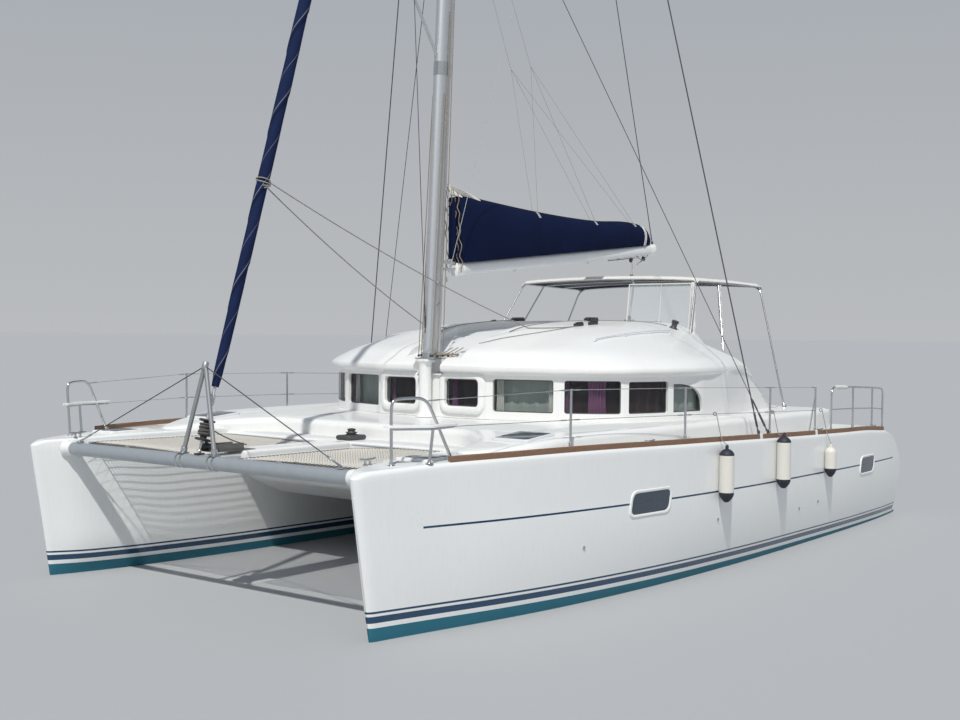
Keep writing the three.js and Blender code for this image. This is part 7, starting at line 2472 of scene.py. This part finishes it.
def make_door():
    """Aluminium stiles and rails round a tinted pane, with a long handle"""
    x0, x1, y0, y1, z0, z1 = -1.904, -1.874, -0.74, 0.19, 0.94, 2.226
    wide = 0.06
    rails = [
        slab((x0, y0, z0), (x1, y0 + wide, z1), 0.005), slab((x0, y1 - wide, z0), (x1, y1, z1), 0.005),
        slab((x0 + 0.001, y0 + 0.02, z0), (x1 - 0.001, y1 - 0.02, z0 + 0.09), 0.005),
        slab((x0 + 0.001, y0 + 0.02, z1 - 0.07), (x1 - 0.001, y1 - 0.02, z1), 0.005),
    ]
    handle = bent([(x1 - 0.004, y0 + 0.03, 1.40), (x1 + 0.030, y0 + 0.03, 1.40),
                   (x1 + 0.030, y0 + 0.03, 1.70), (x1 - 0.004, y0 + 0.03, 1.70)], 0.02)
    rails.append(tube(handle, 0.008, 10))
    piece("saloon_door_form", joined(*rails), PAINTED_SPAR, "saloon_door", SLOT_OF["saloon_door"],
          ("saloon_door",))
    pane = slab((-1.892, y0 + 0.05, z0 + 0.08), (-1.886, y1 - 0.05, z1 - 0.06), 0.002)
    piece("door_pane", pane, TINTED_GLASS, "saloon_door", "saloon_glass")


CUSHIONS = [
    # name, low corner, high corner: each rests on its seat
    ("settee_cushion_1", (1.13, -1.46, 1.33), (1.60, -0.02, 1.43)),
    ("settee_cushion_2", (1.13, 0.02, 1.33), (1.60, 1.44, 1.43)),
    ("settee_cushion_3", (0.33, 0.98, 1.33), (1.09, 1.46, 1.43)),
    ("cockpit_cushion_1", (-4.72, -1.84, 1.33), (-4.32, -0.65, 1.40)),
    ("cockpit_cushion_2", (-4.72, -0.61, 1.33), (-4.32, 0.60, 1.40)),
    ("cockpit_cushion_3", (-4.72, 0.64, 1.33), (-4.32, 1.84, 1.40)),
    ("cockpit_cushion_4", (-4.26, -1.84, 1.33), (-3.34, -1.37, 1.40)),
]


def cushion(name, low, high, material):
    """A box-edged cushion: a soft block remeshed evenly and blown up a little as cloth between two
    still planes; it gives back tubes round its edge for piping"""
    low, high = np.array(low), np.array(high)
    made = object_from(name, slab(low + (0, 0, 0.0005), high, 0.022, 4))
    modifier = made.modifiers.new("even", "REMESH")
    modifier.mode = "VOXEL"
    modifier.voxel_size = 0.012
    baked(made)
    mesh = made.data
    points = np.empty(len(mesh.vertices) * 3, np.float32)
    mesh.vertices.foreach_get("co", points)
    points = points.reshape(-1, 3)
    middle, half = (low + high) / 2, (high - low) / 2
    local = (points - middle) / half
    swell = (1 - np.abs(local[:, 0]) ** 4) * (1 - np.abs(local[:, 1]) ** 4)
    top = local[:, 2] > 0
    points[top, 2] += 0.012 * swell[top]
    for axis in (0, 1):
        other = 1 - axis
        bulge = (1 - np.abs(local[:, other]) ** 6) * (1 - local[:, 2] ** 2).clip(0, 1)
        points[:, axis] += np.sign(local[:, axis]) * 0.008 * bulge * (np.abs(local[:, axis]) > 0.8)
    mesh.vertices.foreach_set("co", points.ravel())
    mesh.update()
    cloth = made.modifiers.new("cloth", "CLOTH")
    cloth.settings.use_pressure = True
    cloth.settings.uniform_pressure_force = 2.0
    cloth.settings.effector_weights.gravity = 0.0
    cloth.settings.quality = 5
    cloth.settings.tension_stiffness = 60
    cloth.settings.compression_stiffness = 60
    cloth.settings.bending_stiffness = 2.0
    before = points.copy()
    for moment in range(1, 13):
        bpy.context.scene.frame_set(moment)
    baked(made)
    bpy.context.scene.frame_set(1)
    after = np.empty(len(made.data.vertices) * 3, np.float32)
    made.data.vertices.foreach_get("co", after)
    after = after.reshape(-1, 3)
    if len(after) == len(before) and np.isfinite(after).all():
        step = after - before
        size = np.linalg.norm(step, axis=1, keepdims=True)
        step *= np.minimum(1, 0.010 / np.maximum(size, 1e-9))
        after = before + step
        after[:, 2] = np.maximum(after[:, 2], low[2] + 0.0004)
        made.data.vertices.foreach_set("co", after.ravel())
        made.data.update()
    modifier = made.modifiers.new("smooth", "SMOOTH")
    modifier.factor = 0.5
    modifier.iterations = 4
    baked(made)
    made.data.shade_smooth()
    settle(made, material, "root", "upholstery")
    rim = []
    for z in (low[2] + 0.012, high[2] - 0.008):
        path = bent([(high[0], low[1], z), (high[0], high[1], z), (low[0], high[1], z),
                     (low[0], low[1], z), (high[0], low[1], z)], 0.03)
        rim.append(tube(path[:-1], 0.004, 6, True))
    return joined(*rim)


def make_saloon():
    refined("saloon_settee", MOULDING, 0.012)
    table_top = slab((0.25, -0.65, 1.56), (0.95, 0.70, 1.60), 0.014)
    leg = turned([(0.13, 0.0), (0.13, 0.008), (0.06, 0.03), (0.05, 0.05), (0.05, 0.60), (0.12, 0.64),
                  (0.12, 0.6597)], (0.60, 0.025, 0.9003), (0, 0, 1), 28)
    stand_in_for("saloon_table", joined(table_top, leg), TEAK)
    refined("galley_counter", COUNTER, 0.010)
    sink = turned([(0.0, 0.0), (0.17, 0.0), (0.175, 0.006), (0.165, 0.010), (0.155, 0.004), (0.0, 0.004)],
                  (-0.9, -1.58, 1.79), (0, 0, 1), 32)
    tap = tube(bent([(-0.9, -1.80, 1.79), (-0.9, -1.80, 2.03), (-0.9, -1.64, 2.03), (-0.9, -1.64, 1.96)],
                    0.05), 0.011, 12)
    piece("galley_sink", joined(sink, tap), STAINLESS, "root", "stainless")


def make_cockpit():
    refined("cockpit_seats", MOULDING, 0.016)
    top = slab((-4.05, -1.15, 1.60), (-3.15, -0.35, 1.64), 0.014)
    leg = turned([(0.12, 0.0), (0.12, 0.01), (0.055, 0.03), (0.045, 0.05), (0.045, 0.64), (0.11, 0.69),
                  (0.11, 0.6997)], (-3.60, -0.75, 0.9003), (0, 0, 1), 28)
    stand_in_for("cockpit_table", joined(top, leg), TEAK)
    refined("helm_console", MOULDING, 0.018, segments=3)
    dials = []
    for y, z in ((1.18, 1.90), (1.52, 1.90)):
        dials.append(turned([(0.0, 0.0), (0.045, 0.0), (0.045, 0.008), (0.038, 0.012), (0.036, 0.009),
                             (0.0, 0.009)], (-2.231, y, z), (-1, 0, 0), 24))
    compass = turned([(0.060, 0.0), (0.060, 0.02), (0.052, 0.045), (0.030, 0.066), (0.0, 0.074)],
                     (-2.09, 1.35, 1.959), (0, 0, 1), 24)
    throttle = [turned([(0.035, 0.0), (0.035, 0.012), (0.02, 0.016), (0.0, 0.016)], (-2.10, 1.655, 1.75),
                       (0, 1, 0), 20),
                tube([(-2.10, 1.674, 1.75), (-2.11, 1.68, 1.86)], 0.008, 10)]
    piece("helm_instruments", joined(*dials, compass, *throttle), BLACK_PLASTIC, "root", "black_plastic")
    hub = np.array((-2.42, 1.35, 1.82))
    circle = [hub + (0, 0.33 * math.cos(a), 0.33 * math.sin(a)) for a in whole_turn(72)]
    rim = [tube(circle, 0.014, 14, True)]
    spokes = []
    for k in range(5):
        a = 2 * PI * k / 5
        out = np.array((0, math.cos(a), math.sin(a)))
        path = [hub + out * r + (0.010 * (1 - r / 0.33), 0, 0) for r in np.linspace(0.03, 0.33, 6)]
        spokes.append(tube(path, np.linspace(0.011, 0.008, 6), 12))
    centre = turned([(0.0145, -0.012), (0.046, -0.012), (0.046, 0.010), (0.038, 0.022), (0.0, 0.026)],
                    hub + (-0.006, 0, 0), (-1, 0, 0), 32)
    piece("steering_wheel_form", joined(*rim, *spokes, centre), STAINLESS, "wheel",
          SLOT_OF["steering_wheel"], ("steering_wheel",))


def landing(made, x, y, start=4.0):
    """Where a plumb line at (x, y) meets a finished form, and the surface's normal there"""
    hit, place, normal, _ = made.ray_cast(Vector((x, y, start)), Vector((0, 0, -1)))
    if not hit:
        raise ValueError((made.name, x, y))
    return np.array(place), np.array(normal)


def laid(made, path, lift):
    """A path of (x, y) pairs laid on a finished form"""
    return np.array([landing(made, x, y)[0] + (0, 0, lift) for x, y in np.asarray(path, float)])


def clutch(place, along, up):
    """A rope clutch: a low body and its lever"""
    along, up = unit(np.asarray(along, float)), unit(np.asarray(up, float))
    across = unit(np.cross(up, along))
    along = np.cross(across, up)
    frame_of = np.eye(4)
    frame_of[:3, 0], frame_of[:3, 1], frame_of[:3, 2], frame_of[:3, 3] = along, across, up, place
    body = slab((-0.085, -0.016, 0.0), (0.085, 0.016, 0.042), 0.008)
    lever = slab((-0.075, -0.012, 0.043), (0.055, 0.012, 0.054), 0.005)
    return moved(joined(body, lever), frame_of)


def make_roof_fittings(roof):
    clutches, ropes, winches = [], [], []
    for sign in (1, -1):
        for k in range(3):
            place, normal = landing(roof, -0.72, sign * (0.56 + 0.05 * k))
            clutches.append(clutch(place - normal * 0.002, (1, 0, 0), normal))
        place, normal = landing(roof, -1.36, sign * 1.50)
        winches.append(winch(place - normal * 0.004, 0.72, normal))
        path = np.array([(1.05, 0.56), (0.6, 0.56), (0.0, 0.57), (-0.6, 0.58), (-0.9, 0.63),
                         (-1.32, 1.43)]) * (1, sign)
        path = eased(path, 2)
        ropes.append(tube(laid(roof, path, 0.010), 0.0055, 8))
        for x in (0.34, 0.06) if sign > 0 else ():
            place, normal = landing(roof, x, sign * (1.15 - 0.12 * x))
            clutches.append(clutch(place - normal * 0.002, (1, -0.12 * sign, 0), normal))
        path = np.array([(1.60, 0.235), (1.54, 0.45), (1.25, 0.67), (0.92, 0.93), (0.63, 1.09),
                         (0.40, 1.11)]) * (1, sign)
        ropes.append(tube(laid(roof, even(eased(path, 2), 40), 0.008), 0.005, 6))
        path = np.array([(0.80, 0.66), (0.69, 0.92), (0.56, 1.07), (0.40, 1.13)]) * (1, sign)
        ropes.append(tube(laid(roof, even(eased(path, 2), 20), 0.008), 0.0065, 6))
    piece("roof_clutches", joined(*clutches), BLACK_PLASTIC, "root", "black_plastic")
    piece("roof_winches", joined(*winches), WIRE_METAL, "root", "stainless")
    piece("roof_lines", joined(*ropes), GREY_ROPE, "root", "rope")
    rails = []
    for sign in (1, -1):
        feet = laid(roof, np.array([(0.84, 1.67), (0.25, 1.73), (-0.35, 1.73), (-0.92, 1.70)]) * (1, sign),
                    -0.002)
        rails.append(hand_rail(feet, 0.035, 0.0095))
    piece("roof_handrails", joined(*rails), PAINTED_SPAR, "root", "stainless")


def make_deck_fittings():
    cleats = []
    for x, y in ((5.33, 2.17), (1.95, 3.09), (-2.42, 3.13), (-4.62, 3.02)):
        cleats.append(cleat((x, y, float(deck_height(x)) + 0.0005), (1, 0, 0), 0.11))
    piece("mooring_cleats", both(joined(*cleats)), STAINLESS, "root", "stainless")


def coil(centre, radius, turns, thick):
    """Rope coiled flat, a spiral with a small sway"""
    t = np.linspace(0, 2 * PI * turns, 30 * turns)
    size = radius * (1 - 0.45 * t / t[-1])
    points = np.stack([size * np.cos(t), size * np.sin(t), thick * (1 + 0.5 * np.sin(3.1 * t))], -1)
    return tube(points + np.asarray(centre, float), thick, 8)


# Setting
BACKDROP_STRENGTH = 0.58
BACKDROP_LOW, BACKDROP_HIGH = colour(0.84, 0.865, 0.89), colour(0.42, 0.50, 0.62)
BACKDROP_RISE = 0.7            # the height, as a sine, where the upper colour is reached
FLOOR_HALF = 900
FLOOR_TINTS = colour(0.408, 0.420, 0.433), colour(0.420, 0.432, 0.445)
KEY_TOWARDS, KEY_POWER, KEY_ANGLE = (0.63, 0.37, 1.0), 3.2, 1.2
FILL_TOWARDS, FILL_POWER, FILL_ANGLE = (0.5, 1.0, 0.4), 0.10, 60


def make_world():
    """A plain pale backdrop: pale below, a little cooler above"""
    world = bpy.data.worlds.new("studio")
    bpy.context.scene.world = world
    world.use_nodes = True
    tree = world.node_tree
    background = tree.nodes["Background"]
    background.inputs["Strength"].default_value = BACKDROP_STRENGTH
    place = add(tree, "ShaderNodeTexCoord").outputs["Generated"]
    height = add(tree, "ShaderNodeSeparateXYZ", [("Vector", place)]).outputs[2]
    rise = add(tree, "ShaderNodeMapRange",
               [("Value", height), ("From Min", 0.0), ("From Max", BACKDROP_RISE)]).outputs[0]
    tree.links.new(mix(tree, rise, BACKDROP_LOW, BACKDROP_HIGH), background.inputs["Color"])
    bpy.context.scene.view_settings.view_transform = "Standard"


def make_floor():
    """A wide pale floor at the waterline"""
    mesh = bpy.data.meshes.new("floor")
    corners = [(x * FLOOR_HALF, y * FLOOR_HALF, 0) for x, y in ((-1, -1), (1, -1), (1, 1), (-1, 1))]
    mesh.from_pydata(corners, [], [(0, 1, 2, 3)])
    made = bpy.data.objects.new("floor", mesh)
    bpy.context.scene.collection.objects.link(made)
    material, tree, shader = finish("floor", Roughness=0.75)
    weather = use(tree, WEATHER, [("Patch Size", 6.0)])
    tint = mix(tree, weather["Cloud"], *FLOOR_TINTS)
    tree.links.new(tint, shader.inputs["Base Color"])
    mesh.materials.append(material)


def sun(name, towards, power, angle, tint):
    """Even light from one direction; a wider angle makes softer shadows"""
    data = bpy.data.lights.new(name, "SUN")
    data.energy = power
    data.angle = math.radians(angle)
    data.color = tint
    made = bpy.data.objects.new(name, data)
    bpy.context.scene.collection.objects.link(made)
    made.rotation_euler = Vector(towards).to_track_quat("Z", "Y").to_euler()


def make_lights():
    """A high sun ahead and to port, and a weak wide fill from the camera's side"""
    sun("key", KEY_TOWARDS, KEY_POWER, KEY_ANGLE, (1.0, 0.975, 0.93))
    sun("fill", FILL_TOWARDS, FILL_POWER, FILL_ANGLE, (0.92, 0.96, 1.0))


camera()
make_hulls()
make_port_lights()
make_underwater()
make_roof()
make_windows()
make_curtains()
make_raised_deck()
make_deck_panels()
make_bridgedeck()
make_foredeck()
make_nets()
make_rails()
make_toe_rails()
make_fenders()
make_lids()
make_mast()
make_wires()
make_headsail()
make_headsail_sheets()
make_boom()
make_sail_bag()
make_lazy_jacks()
make_flag_halyard()
make_topping_lift()
make_mainsheet()
make_bimini_frame()
make_bimini()
make_screen()
make_bulkhead()
make_door()
make_saloon()
make_cockpit()
for name, low, high in CUSHIONS:
    cushion(name, low, high, CUSHION)
make_roof_fittings(bpy.data.objects["coachroof_form"])
make_deck_fittings()
make_world()
make_floor()
make_lights()
